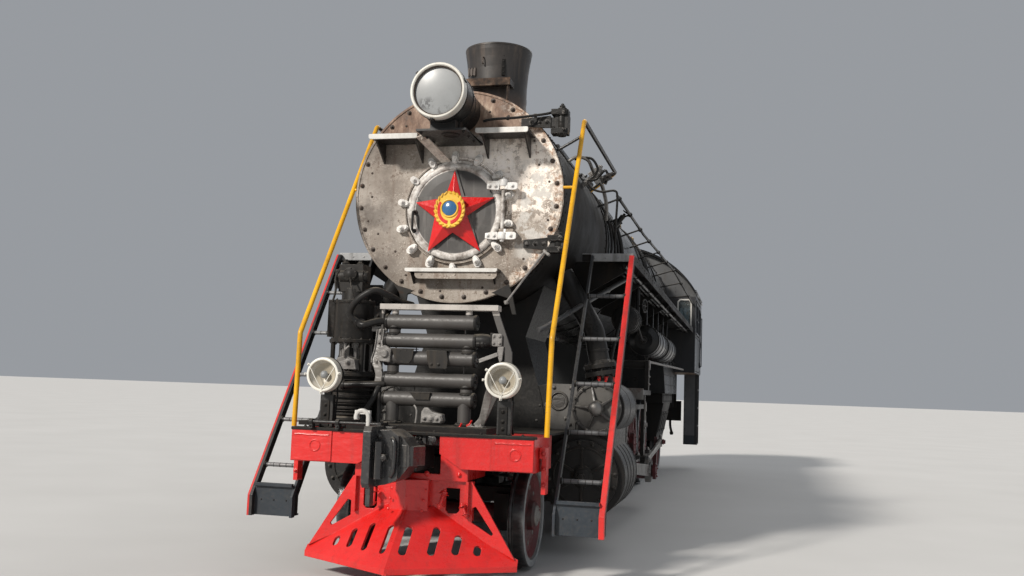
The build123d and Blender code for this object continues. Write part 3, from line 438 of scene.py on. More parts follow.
def smokebox_side():
    """The smokebox barrel: brown-black scorched steel, lighter rust along the top."""
    q = Mat("smokebox_black")
    z = q.axis(2)
    big = q.noise(1.6, 5, 0.62)
    fine = q.noise(40, 5, 0.7)
    c = q.ramp(big, [(0.3, (0.007, 0.0065, 0.006)), (0.52, (0.013, 0.0115, 0.0105)), (0.74, (0.027, 0.021, 0.017))])
    runs = q.step(q.noise(1.0, 5, 0.65, stretch=(7, 7, 0.6)), 0.50, 0.68)
    c = q.mix(q.mul(runs, 0.5), c, (0.042, 0.031, 0.023))
    top = q.mul(q.step(z, 3.95, 4.35), q.step(q.noise(3.4, 6, 0.7, move=(1, 3, 1)), 0.34, 0.66))
    brown = q.ramp(q.noise(8, 6, 0.7), [(0.34, (0.05, 0.03, 0.022)), (0.52, (0.17, 0.10, 0.065)), (0.70, (0.36, 0.27, 0.20))])
    c = q.mix(q.mul(top, 0.85), c, brown)
    c = q.mix(q.mul(q.step(z, 3.45, 2.75), 0.7), c, (0.006, 0.0055, 0.005))
    q.b.inputs["Specular IOR Level"].default_value = 0.09
    e, nrm = q.edge(0.008)
    nrm = q.bump(q.add(q.mul(fine, 0.7), q.mul(big, 0.6)), 0.35, 0.004, nrm)
    return finish(q, c, q.step(big, 0.3, 0.7, 0.42, 0.66), nrm)


def banded(name, picks, rough=(0.35, 0.6), bumpy=0.25, soil=0.42, spec=0.5):
    """picks: list of (mask builder or None, colour); later ones cover earlier ones. All with grime."""
    q = Mat(name)
    c = None
    for mask, base in picks:
        v = q.ramp(q.noise(3.0, 4, 0.6), [(0.3, tuple(k * 0.75 for k in base)), (0.7, tuple(min(1, k * 1.15) for k in base))])
        c = v if mask is None else q.mix(mask(q), c, v)
    fine = q.noise(44, 5, 0.7)
    grime = q.step(q.noise(1.0, 5, 0.65, stretch=(6, 6, 1.4)), 0.50, 0.74)
    c = q.mix(q.mul(grime, soil), c, (0.035, 0.028, 0.022))
    c = q.mix(q.mul(q.step(fine, 0.55, 0.68), soil * 0.83), c, (0.05, 0.04, 0.032))
    e, nrm = q.edge(0.004)
    c = q.mix(q.mul(e, q.step(fine, 0.44, 0.6), 0.5), c, (0.24, 0.21, 0.19))
    q.b.inputs["Specular IOR Level"].default_value = spec
    nrm = q.bump(q.add(q.mul(fine, 0.6), q.mul(q.noise(250, 3, 0.6), 0.3)), bumpy, 0.002, nrm)
    return finish(q, c, q.step(fine, 0.35, 0.7, rough[0], rough[1]), nrm)


def wheel_mat(name, yc, zc, tyre, tread, hub, red=(0.105, 0.012, 0.014), cx=None):
    """Red wheel centre, pale tyre face, bright tread, greasy grey hub; the rings follow the wheel as it turns."""
    q = Mat(name)
    rr = q.radius((0.0, yc + YC, zc + ZC))
    fine = q.noise(46, 5, 0.7)
    big = q.noise(3.2, 4, 0.6)
    c = q.ramp(big, [(0.3, tuple(k * 0.55 for k in red)), (0.6, red), (0.8, tuple(k * 1.35 for k in red))])
    grease = q.mul(q.step(rr, tyre, hub * 0.8), q.step(q.noise(7, 5, 0.7), 0.36, 0.6))
    c = q.mix(q.mul(grease, 0.8), c, (0.018, 0.013, 0.011))
    pale = q.ramp(q.noise(11, 5, 0.7), [(0.3, (0.13, 0.14, 0.145)), (0.6, (0.27, 0.285, 0.29))])
    c = q.mix(q.step(rr, tyre - 0.003, tyre + 0.003), c, pale)
    tr = q.step(rr, tread - 0.002, tread + 0.002)
    c = q.mix(tr, c, q.ramp(q.noise(14, 5, 0.7, stretch=(0.3, 1, 1)), [(0.3, (0.020, 0.020, 0.021)), (0.7, (0.075, 0.073, 0.074))]))
    hb = q.step(rr, hub + 0.004, hub - 0.004)
    c = q.mix(hb, c, q.ramp(q.noise(20, 4, 0.7), [(0.3, (0.10, 0.10, 0.098)), (0.7, (0.26, 0.26, 0.25))]))
    e, nrm = q.edge(0.006)
    c = q.mix(q.mul(e, 0.3), c, (0.20, 0.17, 0.155))
    nrm = q.bump(q.add(q.mul(fine, 0.6), q.mul(big, 0.5)), 0.3, 0.003, nrm)
    met = q.mul(tr, 0.75)
    return finish(q, c, q.add(q.step(fine, 0.35, 0.7, 0.38, 0.62), q.mul(tr, -0.10)), nrm, met)


def glass_mat():
    """Dusty window glass."""
    q = Mat("window_glass")
    q.b.inputs["IOR"].default_value = 1.5
    q.b.inputs["Transmission Weight"].default_value = 0.85
    d = q.step(q.noise(5, 5, 0.65), 0.42, 0.75)
    c = q.mix(q.mul(d, 0.6), (0.30, 0.36, 0.38), (0.42, 0.40, 0.36))
    nrm = q.bump(q.noise(2.0, 3, 0.5), 0.05, 0.004)
    return finish(q, c, q.step(d, 0.0, 1.0, 0.04, 0.35), nrm)


def wood_mat():
    q = Mat("cab_wood")
    g = q.noise(1.0, 5, 0.6, stretch=(26, 1.6, 26))
    w = q.n("ShaderNodeTexWave", bands_direction="X")
    q.l(q.scaled((7.0, 0.2, 0.2)), w.inputs["Vector"])
    w.inputs["Scale"].default_value = 1.0
    w.inputs["Distortion"].default_value = 1.5
    c = q.ramp(g, [(0.3, (0.09, 0.05, 0.03)), (0.55, (0.20, 0.12, 0.07)), (0.75, (0.30, 0.20, 0.12))])
    c = q.mix(q.mul(w.outputs[1], 0.3), c, (0.06, 0.035, 0.02))
    nrm = q.bump(g, 0.3, 0.002)
    return finish(q, c, q.step(g, 0.3, 0.7, 0.5, 0.75), nrm)


RED = (0.60, 0.011, 0.009)
YEL = (0.72, 0.365, 0.006)
BLK = (0.012, 0.012, 0.0125)
WHT = (0.62, 0.61, 0.58)
BLUEBLK = (0.022, 0.032, 0.044)

MATS = {
    "black_frame": paint("black_frame", (0.0125, 0.0118, 0.0112), dirt=(0.034, 0.025, 0.018), dirt_amt=0.45, rust_amt=0.10, dust=0.26, rough=(0.42, 0.68), wear=(0.085, 0.074, 0.062)),
    "black_body": paint("black_body", (0.0105, 0.011, 0.0115), dirt=(0.036, 0.031, 0.025), dirt_amt=0.40, rust_amt=0.05, dust=0.16, rough=(0.24, 0.44), wear=(0.10, 0.092, 0.084), coat=0.2, fade=0.2),
    "black_pipe": paint("black_pipe", (0.0185, 0.018, 0.0178), dirt=(0.050, 0.041, 0.033), dirt_amt=0.42, rust_amt=0.06, dust=0.42, rough=(0.26, 0.46), wear=(0.145, 0.13, 0.115), grain=0.4),
    "smokebox_black": smokebox_side(),
    "smokebox_silver": smokebox_silver(),
    "door_grey": door_grey(),
    "red_paint": paint("red_paint", RED, dark=(0.50, 0.010, 0.010), dirt=(0.16, 0.020, 0.016), dirt_amt=0.34, rust_amt=0.05, dust=0.05, rough=(0.26, 0.46), wear=(0.70, 0.12, 0.09), wear_amt=0.35, lumps=0.50, coat=0.35, fade=0.10),
    "wheel_red": paint("wheel_red", (0.105, 0.012, 0.014), dirt=(0.022, 0.015, 0.012), dirt_amt=0.7, rust_amt=0.05, dust=0.12, rough=(0.40, 0.65), wear=(0.16, 0.12, 0.10)),
    "yellow_paint": paint("yellow_paint", YEL, dirt=(0.25, 0.12, 0.02), dirt_amt=0.28, rust_amt=0.04, dust=0.05, rough=(0.28, 0.44), wear=(0.35, 0.22, 0.05), wear_amt=0.3, coat=0.25, edge=0.003),
    "white_paint": paint("white_paint", WHT, dirt=(0.20, 0.17, 0.14), dirt_amt=0.40, rust_amt=0.16, dust=0.10, rough=(0.36, 0.58), wear=(0.20, 0.15, 0.11), wear_amt=0.7, edge=0.004),
    "lamp_white": paint("lamp_white", (0.70, 0.68, 0.62), dirt=(0.30, 0.26, 0.20), dirt_amt=0.35, rust_amt=0.10, dust=0.05, rough=(0.34, 0.5), wear=(0.25, 0.2, 0.16), wear_amt=0.5, edge=0.003),
    "cab_paint": paint("cab_paint", (0.0115, 0.0135, 0.018), dirt=(0.050, 0.045, 0.038), dirt_amt=0.36, rust_amt=0.05, dust=0.55, rough=(0.26, 0.48), wear=(0.12, 0.12, 0.12), coat=0.2),
    "cast_black": paint("cast_black", (0.0195, 0.0182, 0.0170), dirt=(0.052, 0.041, 0.031), dirt_amt=0.5, rust_amt=0.09, dust=0.36, rough=(0.34, 0.58), wear=(0.165, 0.148, 0.130), wear_amt=0.7, grain=0.6),
    "spring_steel": paint("spring_steel", (0.017, 0.015, 0.014), dirt=(0.06, 0.035, 0.02), dirt_amt=0.6, rust_amt=0.25, dust=0.3, rough=(0.45, 0.7), wear=(0.13, 0.11, 0.10)),
    "worn_steel": steel("worn_steel", (0.23, 0.22, 0.21), rough=(0.34, 0.58), rust_amt=0.45, oil=0.35),
    "rod_steel": steel("rod_steel", (0.22, 0.215, 0.205), rough=(0.26, 0.44), rust_amt=0.25, oil=0.55, metallic=0.9),
    "brass_fittings": steel("brass_fittings", (0.42, 0.27, 0.09), rough=(0.25, 0.45), rust_amt=0.15, oil=0.4, metallic=0.95),
    "cab_wood": wood_mat(),
    "window_glass": glass_mat(),
}
SLOT = {s["node"]: s["material_slot"] for s in frame["record"]["subparts"]}


def dress(node, m):
    me = NODE[node].data
    if not me.materials:
        me.materials.append(m)
    for i in range(len(me.materials)):
        me.materials[i] = m


for name_ in NODE:
    dress(name_, MATS[SLOT[name_]])

WHEELS = {"leading_wheels": (0.950, 0.450, 0.382, 0.445, 0.085), "trailing_wheels": (13.555, 0.525, 0.455, 0.520, 0.10)}
for i_ in range(5):
    WHEELS["driving_wheels_%d" % (i_ + 1)] = (3.690 + 1.625 * i_, 0.750, 0.678, 0.745, 0.10)
for name_, (y_, z_, t_, d_, h_) in WHEELS.items():
    if name_ in NODE:
        dress(name_, wheel_mat("paint_" + name_, y_, z_, t_, d_, h_))
    else:
        print("NO NODE", name_)


def m_y(a, b):
    return lambda q: q.between(q.axis(1), a + YC, b + YC, 0.002)


def m_x(a, b):
    return lambda q: q.between(q.axis(0), a, b, 0.002)


def m_z(a, b):
    return lambda q: q.between(q.axis(2), a + ZC, b + ZC, 0.002)


def m_all(*fs):
    return lambda q: q.mul(*[f(q) for f in fs])


def m_ax(a, b):
    return lambda q: q.between(q.math("ABSOLUTE", q.axis(0)), a, b, 0.002)


def m_up(a=0.6):
    return lambda q: q.step(q.up(), a, a + 0.2)


def outward(q):
    """1 on faces that look forward or away from the engine's middle."""
    k = q.n("ShaderNodeSeparateXYZ")
    q.l(q.geo.outputs["Normal"], k.inputs[0])
    side = q.math("MULTIPLY", k.outputs[0], q.math("SIGN", q.axis(0)))
    return q.step(side, -0.6, -0.4)


dress("chimney", chimney_mat())
dress("ladders", banded("ladder_paint", [
    (None, (0.014, 0.0145, 0.016)),
    # rungs painted darker grey on the engine's left and lighter on its right: painted shade on the shaded side, painted
    # light on the sunlit side
    (m_all(m_x(1.186, 1.541), m_z(0.70, 2.60)), (0.085, 0.087, 0.091)),
    (m_all(m_x(-1.541, -1.186), m_z(0.70, 2.60)), (0.17, 0.172, 0.176)),
    (m_all(m_ax(1.10, 1.541), m_z(0.30, 0.69)), (0.018, 0.025, 0.033)),
    (m_all(m_x(1.543, 1.70), m_y(-0.5, 2.5), outward), (0.60, 0.018, 0.014)),
    (m_all(m_x(-1.70, -1.572), m_y(-0.5, 2.5), outward), (0.60, 0.018, 0.014)),
]))
dress("front_handrails", banded("rail_paint", [
    (None, (0.014, 0.014, 0.0145)),
    (m_y(-1.0, 1.46), YEL),
    (m_all(m_x(0.70, 1.104), m_z(3.84, 4.06), m_y(1.28, 1.37)), (0.014, 0.014, 0.0145)),
    (m_all(m_x(0.80, 1.20), m_y(3.742, 3.85)), YEL),
], rough=(0.26, 0.45)))
dress("marker_lamps", banded("lamp_paint", [
    (None, (0.014, 0.0135, 0.013)),
    (m_y(-0.60, -0.060), (0.60, 0.57, 0.50)),
]))
dress("smokebox_steps", banded("step_paint", [
    (None, (0.018, 0.016, 0.015)),
    (m_all(m_up(0.4), m_y(0.0, 2.0)), (0.22, 0.20, 0.18)),
    (m_all(m_y(0.4, 0.668), m_z(3.85, 4.1)), (0.62, 0.61, 0.58)),
    (m_all(m_y(0.4, 0.862), m_z(2.60, 2.75)), (0.56, 0.545, 0.51)),
]))
dress("uncoupling_lever", banded("lever_paint", [
    (None, (0.016, 0.0155, 0.015)),
    (m_all(m_x(-0.482, -0.328), m_z(1.262, 1.5)), (0.66, 0.65, 0.62)),
]))
dress("headlight", banded("headlight_paint", [
    (None, (0.0075, 0.0078, 0.0082)),
    (m_y(0.0, 0.328), (0.50, 0.49, 0.465)),
], soil=0.10))



# ---------------------------------------------------------------- mesh building
def V(*a):
    return Vector(a)


def frame_of(n):
    n = Vector(n).normalized()
    a = Vector((0, 0, 1)) if abs(n.z) < 0.9 else Vector((1, 0, 0))
    u = a.cross(n).normalized()
    return u, n.cross(u).normalized(), n


def smooth_path(pts, k=6):
    """Catmull-Rom through the points."""
    P = [Vector(p) for p in pts]
    if len(P) < 3:
        return P
    out = []
    for i in range(len(P) - 1):
        a, b, c, d = P[max(i - 1, 0)], P[i], P[i + 1], P[min(i + 2, len(P) - 1)]
        for j in range(k):
            t = j / k
            out.append(0.5 * ((2 * b) + (c - a) * t + (2 * a - 5 * b + 4 * c - d) * t * t + (3 * b - a - 3 * c + d) * t ** 3))
    out.append(P[-1])
    return out


def rounded(pts, r, k=5):
    """The polyline with each corner replaced by an arc-like curve of about radius r."""
    P = [Vector(p) for p in pts]
    out = [P[0]]
    for i in range(1, len(P) - 1):
        a, b, c = P[i - 1], P[i], P[i + 1]
        d1, d2 = (a - b), (c - b)
        q = min(r, d1.length * 0.45, d2.length * 0.45)
        s, e = b + d1.normalized() * q, b + d2.normalized() * q
        for j in range(k + 1):
            t = j / k
            out.append((1 - t) ** 2 * s + 2 * t * (1 - t) * b + t * t * e)
    out.append(P[-1])
    return out


class Shape:
    """Collects the closed shells of one piece."""

    def __init__(self):
        self.v, self.f = [], []

    def add(self, vs, fs):
        o = len(self.v)
        self.v += [Vector(p) for p in vs]
        self.f += [tuple(i + o for i in f) for f in fs]
        return self

    def box(self, x0, x1, y0, y1, z0, z1):
        vs = [(x, y, z) for x in (x0, x1) for y in (y0, y1) for z in (z0, z1)]
        return self.add(vs, [(0, 1, 3, 2), (4, 6, 7, 5), (0, 4, 5, 1), (2, 3, 7, 6), (0, 2, 6, 4), (1, 5, 7, 3)])

    def obox(self, c, u, v, n, hu, hv, hn):
        c, u, v, n = Vector(c), Vector(u).normalized(), Vector(v).normalized(), Vector(n).normalized()
        vs = [c + u * a * hu + v * b * hv + n * d * hn for a in (-1, 1) for b in (-1, 1) for d in (-1, 1)]
        return self.add(vs, [(0, 1, 3, 2), (4, 6, 7, 5), (0, 4, 5, 1), (2, 3, 7, 6), (0, 2, 6, 4), (1, 5, 7, 3)])

    def flat(self, p, q, w, t, side=(1, 0, 0)):
        """A flat bar from p to q, w wide along side, t thick."""
        p, q = Vector(p), Vector(q)
        d = (q - p).normalized()
        s = Vector(side)
        s = (s - d * s.dot(d)).normalized()
        return self.obox((p + q) / 2, s, d.cross(s), d, w / 2, t / 2, (q - p).length / 2)

    def prism(self, poly, o, u, v, n, a, b):
        """poly in the (u, v) plane through o, drawn out along n from a to b."""
        o, u, v, n = Vector(o), Vector(u), Vector(v), Vector(n)
        k = len(poly)
        vs = [o + u * p[0] + v * p[1] + n * a for p in poly] + [o + u * p[0] + v * p[1] + n * b for p in poly]
        fs = [tuple(range(k))[::-1], tuple(range(k, 2 * k))] + [(i, (i + 1) % k, k + (i + 1) % k, k + i) for i in range(k)]
        return self.add(vs, fs)

    def lathe(self, o, axis, prof, seg=24, ang0=0.0):
        """prof: (along, radius) pairs; a zero radius is a pole, and the profile closes on itself if it has none."""
        u, v, n = frame_of(axis)
        o = Vector(o)
        rows, vs, fs = [], [], []
        for a, r in prof:
            if r < 1e-7:
                rows.append([len(vs)])
                vs.append(o + n * a)
            else:
                rows.append(list(range(len(vs), len(vs) + seg)))
                for i in range(seg):
                    t = ang0 + 2 * math.pi * i / seg
                    vs.append(o + n * a + (u * math.cos(t) + v * math.sin(t)) * r)
        pairs = list(zip(rows, rows[1:]))
        if len(rows[0]) > 1 and len(rows[-1]) > 1:
            pairs.append((rows[-1], rows[0]))
        for A, B in pairs:
            for i in range(seg):
                j = (i + 1) % seg
                if len(A) == 1 and len(B) == 1:
                    continue
                if len(A) == 1:
                    fs.append((A[0], B[i], B[j]))
                elif len(B) == 1:
                    fs.append((A[i], B[0], A[j]))
                else:
                    fs.append((A[i], B[i], B[j], A[j]))
        return self.add(vs, fs)

    def rod(self, p, q, r, seg=16, ch=0.0):
        p, q = Vector(p), Vector(q)
        L = (q - p).length
        ch = ch or min(r * 0.18, L * 0.2)
        return self.lathe(p, q - p, [(0, 0), (0, r - ch), (ch, r), (L - ch, r), (L, r - ch), (L, 0)], seg)

    def tube(self, pts, r, seg=12, ends=True):
        P = [Vector(p) for p in pts]
        P = [p for i, p in enumerate(P) if i == 0 or (p - P[i - 1]).length > 1e-5]
        n = len(P)
        T = [((P[min(i + 1, n - 1)] - P[max(i - 1, 0)]).normalized()) for i in range(n)]
        u, v, _ = frame_of(T[0])
        vs, fs = [], []
        for i in range(n):
            if i:
                u = (u - T[i] * u.dot(T[i])).normalized()
            v = T[i].cross(u).normalized()
            rr = r[i] if isinstance(r, (list, tuple)) else r
            for k in range(seg):
                t = 2 * math.pi * k / seg
                vs.append(P[i] + (u * math.cos(t) + v * math.sin(t)) * rr)
        for i in range(n - 1):
            for k in range(seg):
                m = (k + 1) % seg
                fs.append((i * seg + k, i * seg + m, (i + 1) * seg + m, (i + 1) * seg + k))
        if ends:
            fs.append(tuple(range(seg))[::-1])
            fs.append(tuple(range((n - 1) * seg, n * seg)))
        return self.add(vs, fs)

    def sweep(self, pts, poly, side):
        """A flat profile (w, t pairs) swept along pts, its w axis kept near side."""
        P = [Vector(p) for p in pts]
        n, k = len(P), len(poly)
        vs, fs = [], []
        for i in range(n):
            d = (P[min(i + 1, n - 1)] - P[max(i - 1, 0)]).normalized()
            s = Vector(side)
            s = (s - d * s.dot(d)).normalized()
            t = d.cross(s)
            vs += [P[i] + s * a + t * b for a, b in poly]
        for i in range(n - 1):
            for j in range(k):
                m = (j + 1) % k
                fs.append((i * k + j, i * k + m, (i + 1) * k + m, (i + 1) * k + j))
        fs.append(tuple(range(k))[::-1])
        fs.append(tuple(range((n - 1) * k, n * k)))
        return self.add(vs, fs)

    def bolt(self, p, n, r=0.016, h=0.014, wash=True, stud=True):
        """Hex head with a chamfered top, a washer and a stud end."""
        p, n = Vector(p), Vector(n).normalized()
        a0 = rnd.random()
        if wash:
            self.lathe(p, n, [(-0.002, 0), (-0.002, r * 1.45), (0.003, r * 1.45), (0.004, r * 1.3), (0.004, 0)], 14)
        self.lathe(p, n, [(0, 0), (0, r), (h * 0.78, r), (h, r * 0.82), (h, 0)], 6, a0)
        if stud:
            self.lathe(p, n, [(h * 0.6, 0), (h * 0.6, r * 0.5), (h * 1.45, r * 0.5), (h * 1.6, r * 0.36), (h * 1.6, 0)], 10)
        return self

    def rivet(self, p, n, r=0.012, h=None, seg=10):
        h = h or r * 0.62
        return self.lathe(p, n, [(-0.002, 0), (-0.002, r), (h * 0.35, r * 0.93), (h * 0.78, r * 0.60), (h, 0)], seg)

    def rivets(self, p, q, n, pitch=0.09, r=0.011):
        p, q = Vector(p), Vector(q)
        k = max(1, int(round((q - p).length / pitch)))
        for i in range(k + 1):
            self.rivet(p + (q - p) * i / k, n, r, seg=8)
        return self

    def ring_of(self, kind, o, axis, rad, count, a0=0.0, **kw):
        u, v, n = frame_of(axis)
        for i in range(count):
            t = a0 + 2 * math.pi * i / count
            getattr(self, kind)(Vector(o) + (u * math.cos(t) + v * math.sin(t)) * rad, n, **kw)
        return self

    def moved(self, m, start=0):
        for i in range(start, len(self.v)):
            self.v[i] = m @ self.v[i]
        return self


def rrect(w, h, r, k=5, cx=0.0, cy=0.0):
    """Rounded rectangle, counter-clockwise; r is one radius or four, from the lower left round."""
    rs = r if isinstance(r, (list, tuple)) else [r] * 4
    out = []
    for (sx, sy), rr, a0 in zip(((-1, -1), (1, -1), (1, 1), (-1, 1)), rs, (math.pi, 1.5 * math.pi, 0.0, 0.5 * math.pi)):
        if rr < 1e-6:
            out.append((cx + sx * w / 2, cy + sy * h / 2))
            continue
        ox, oy = cx + sx * (w / 2 - rr), cy + sy * (h / 2 - rr)
        for i in range(k + 1):
            t = a0 + 0.5 * math.pi * i / k
            out.append((ox + rr * math.cos(t), oy + rr * math.sin(t)))
    return out


def piece(name, sh, mat, body=ROOT, bevel=0.0, smooth=38, sub=0, seg=2):
    me = bpy.data.meshes.new(name)
    me.from_pydata([tuple(p + OFF) for p in sh.v], [], sh.f)
    bm = bmesh.new()
    bm.from_mesh(me)
    bmesh.ops.recalc_face_normals(bm, faces=bm.faces)
    bm.to_mesh(me)
    bm.free()
    for p in me.polygons:
        p.use_smooth = True
    me.set_sharp_from_angle(angle=math.radians(smooth))
    me.materials.append(MATS[mat] if isinstance(mat, str) else mat)
    ob = bpy.data.objects.new(name, me)
    SCN.collection.objects.link(ob)
    if bevel:
        b = ob.modifiers.new("edges", "BEVEL")
        b.width = bevel
        b.segments = seg
        b.limit_method = "ANGLE"
        b.angle_limit = math.radians(50)
        b.use_clamp_overlap = True
    if sub:
        s = ob.modifiers.new("sub", "SUBSURF")
        s.levels = s.render_levels = sub
    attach(ob, body)
    return ob


FRONT = (0, -1, 0)


# ---------------------------------------------------------------- smokebox front
def polar(r, deg, y, c=(0.0, 3.380)):
    t = math.radians(deg)
    return V(c[0] + r * math.cos(t), y, c[1] + r * math.sin(t))


MATS["bolt_rust"] = paint("bolt_rust", (0.055, 0.038, 0.029), dirt=(0.035, 0.020, 0.014), dirt_amt=0.5, rust_amt=0.3, dust=0.05, rough=(0.5, 0.75), wear=(0.33, 0.30, 0.27), wear_amt=0.7, edge=0.004)
MATS["clamp_white"] = paint("clamp_white", (0.70, 0.68, 0.65), dirt=(0.14, 0.105, 0.08), dirt_amt=0.48, rust_amt=0.16, dust=0.0, rough=(0.4, 0.62), wear=(0.20, 0.15, 0.11), wear_amt=0.6, edge=0.004)

s = Shape()
for i in range(28):
    a = 90 + 360.0 * (i + 0.5) / 28
    p = polar(0.972, a, 0.985)
    if p.x > 0.66 and (3.99 < p.z < 4.13 or 2.84 < p.z < 2.98):
        continue
    s.bolt(p, FRONT, 0.0165, 0.017, wash=True)
piece("smokebox_rim_bolts", s, "bolt_rust")

# small old bolt heads left in the plate
s = Shape()
for a, r in ((112, .80), (128, .88), (70, .86), (58, .90), (142, .93), (35, .90), (20, .84), (8, .90), (205, .86), (222, .80), (238, .90), (252, .80),
             (262, .92), (275, .78), (288, .92), (300, .82), (318, .90), (165, .90), (180, .86), (195, .92), (152, .84), (330, .80), (345, .92), (100, .90)):
    p = polar(r, a, 0.985)
    if p.x > 0.62 and (3.97 < p.z < 4.15 or 2.82 < p.z < 3.0):
        continue
    if abs(p.x - 0.0) < 0.46 and 2.58 < p.z < 2.72:
        continue
    s.rivet(p, FRONT, 0.0125)
piece("smokebox_small_rivets", s, "bolt_rust")

s = Shape()
s.lathe((0, 0.985, 3.380), FRONT, [(0, 1.003), (0, 1.025), (0.004, 1.025), (0.006, 1.018), (0.006, 1.003)], 120)
piece("smokebox_rim_lip", s, "smokebox_silver", bevel=0.0)

# The door's seat: a raised ring on the fixed front, then the rolled ring on the door itself.
s = Shape()
s.lathe((0, 0.960, 3.235), FRONT, [(-0.002, 0.4935), (0.004, 0.4945), (0.006, 0.498), (0.004, 0.503), (0.0, 0.505), (-0.002, 0.505)], 96)
piece("door_seat_ring", s, "bolt_rust")
s = Shape()
s.lathe((0.002, 0.945, 3.222), FRONT, [(-0.006, 0.402), (0.004, 0.406), (0.013, 0.416), (0.017, 0.432), (0.014, 0.450), (0.004, 0.463), (-0.008, 0.4655)], 96)
piece("door_rolled_ring", s, "door_grey", body="smokebox_door")

# Clamps round the door, each a forged dog with its stud and nut, slightly askew as they hang.
CL = [(-0.021, 3.735), (0.203, 3.707), (-0.241, 3.682), (-0.401, 3.514), (0.396, 3.559), (0.500, 3.367), (-0.508, 3.305), (-0.510, 3.063),
      (0.498, 3.107), (0.407, 2.895), (-0.408, 2.870), (-0.228, 2.751), (-0.003, 2.680), (0.226, 2.753)]
s = Shape()
for i, (a, r) in enumerate(CL):
    c = V(a, 0.985, r)
    k = math.atan2(r - 3.215, a - 0.005) + math.radians(rnd.uniform(-14, 14))
    u = V(-math.cos(k), 0, -math.sin(k))
    w = V(-u.z, 0, u.x)
    start = len(s.v)
    prof = [(-0.040, -0.020), (-0.018, -0.027), (0.016, -0.024), (0.036, -0.015), (0.043, 0.0), (0.036, 0.015), (0.016, 0.024), (-0.018, 0.027), (-0.040, 0.020), (-0.049, 0.0)]
    prof = [(p[0] * 1.34 - 0.004, p[1] * 1.30) for p in prof]
    s.prism(prof, c, u, w, V(0, -1, 0), 0.002, 0.048)
    s.prism([(p[0] * 0.74 + 0.006, p[1] * 0.74) for p in prof], c, u, w, V(0, -1, 0), 0.048, 0.068)
    s.bolt(c + V(0, -0.066, 0) - u * 0.010, FRONT, 0.020, 0.020, wash=True)
piece("door_clamps", s, "clamp_white", bevel=0.007)

MATS["strap_white"] = paint("strap_white", (0.74, 0.73, 0.71), dirt=(0.30, 0.25, 0.20), dirt_amt=0.35, rust_amt=0.06, dust=0.0, rough=(0.36, 0.55), wear=(0.24, 0.2, 0.16), wear_amt=0.4, edge=0.004)

# Hinge straps of the little door: cast, tapered, with eye and two bolts each.
s = Shape()
for z in (3.447, 2.980):
    s.prism([(0.318, -0.024), (0.380, -0.034), (0.432, -0.036), (0.438, -0.028), (0.438, 0.028), (0.432, 0.036), (0.380, 0.034), (0.318, 0.024)],
            V(0, 0.889, z), V(1, 0, 0), V(0, 0, 1), V(0, -1, 0), -0.030, 0.008)
    e = 3.480 if z > 3.2 else 2.982
    s.prism([(0.420, -0.018), (0.478, -0.026), (0.478, 0.026), (0.420, 0.018)], V(0, 0.889, e), V(1, 0, 0), V(0, 0, 1), V(0, -1, 0), -0.028, 0.006)
    s.lathe((0.475, 0.903, e - 0.034), (0, 0, 1), [(0, 0), (0, 0.034), (0.006, 0.038), (0.062, 0.038), (0.068, 0.034), (0.068, 0)], 20)
    for x in (0.345, 0.405):
        s.bolt(V(x, 0.881, z), FRONT, 0.014, 0.013)
piece("door_straps", s, "strap_white", body="smokebox_door", bevel=0.005)
s = Shape()
for z in (3.447, 2.980):
    s.prism([(0.516, -0.034), (0.560, -0.036), (0.598, -0.034), (0.614, -0.022), (0.614, 0.022), (0.598, 0.034), (0.560, 0.036), (0.516, 0.034)],
            V(0, 0.884, z), V(1, 0, 0), V(0, 0, 1), V(0, -1, 0), -0.010, 0.004)
    s.bolt(V(0.563, 0.880, z), FRONT, 0.015, 0.014)
    e = 3.437 if z > 3.2 else 3.025
    s.prism([(0.462, -0.018), (0.516, -0.019), (0.516, 0.019), (0.462, 0.018)], V(0, 0.884, e), V(1, 0, 0), V(0, 0, 1), V(0, -1, 0), -0.010, 0.004)
s.bolt(V(0.475, 0.905, 3.512), (0, 0, 1), 0.018, 0.016)
s.lathe((0.475, 0.905, 2.926), (0, 0, 1), [(0, 0), (0, 0.012), (0.008, 0.019), (0.024, 0.019), (0.024, 0)], 14)
piece("door_pin_lugs", s, "strap_white", bevel=0.003)

# Grab handle on the door
s = Shape()
s.tube(rounded([(-0.392, 0.930, 3.215), (-0.398, 0.880, 3.215), (-0.398, 0.880, 3.035), (-0.392, 0.930, 3.035)], 0.03), 0.0115, 12)
for z in (3.215, 3.035):
    s.lathe((-0.394, 0.936, z), FRONT, [(0, 0), (0, 0.024), (0.008, 0.022), (0.011, 0)], 14)
piece("door_grab_handle", s, "black_pipe", body="smokebox_door")


# Star: five raised facets a side, with a thin flat edge behind
MATS["star_red"] = paint("star_red", (0.56, 0.007, 0.007), dark=(0.42, 0.005, 0.005), dirt=(0.20, 0.02, 0.016), dirt_amt=0.16, rust_amt=0.0, dust=0.0, rough=(0.22, 0.36), wear=(0.8, 0.2, 0.16), wear_amt=0.3, coat=0.25, edge=0.003, fade=0.1)
MATS["gold_paint"] = paint("gold_paint", (0.78, 0.46, 0.045), dirt=(0.30, 0.14, 0.02), dirt_amt=0.30, rust_amt=0.0, dust=0.0, rough=(0.26, 0.42), wear=(0.9, 0.7, 0.3), wear_amt=0.5, coat=0.3, edge=0.003)
MATS["enamel_blue"] = paint("enamel_blue", (0.030, 0.115, 0.26), dirt=(0.02, 0.05, 0.08), dirt_amt=0.3, rust_amt=0.0, dust=0.0, rough=(0.18, 0.3), wear=(0.2, 0.3, 0.4), wear_amt=0.3, coat=0.5, edge=0.003)


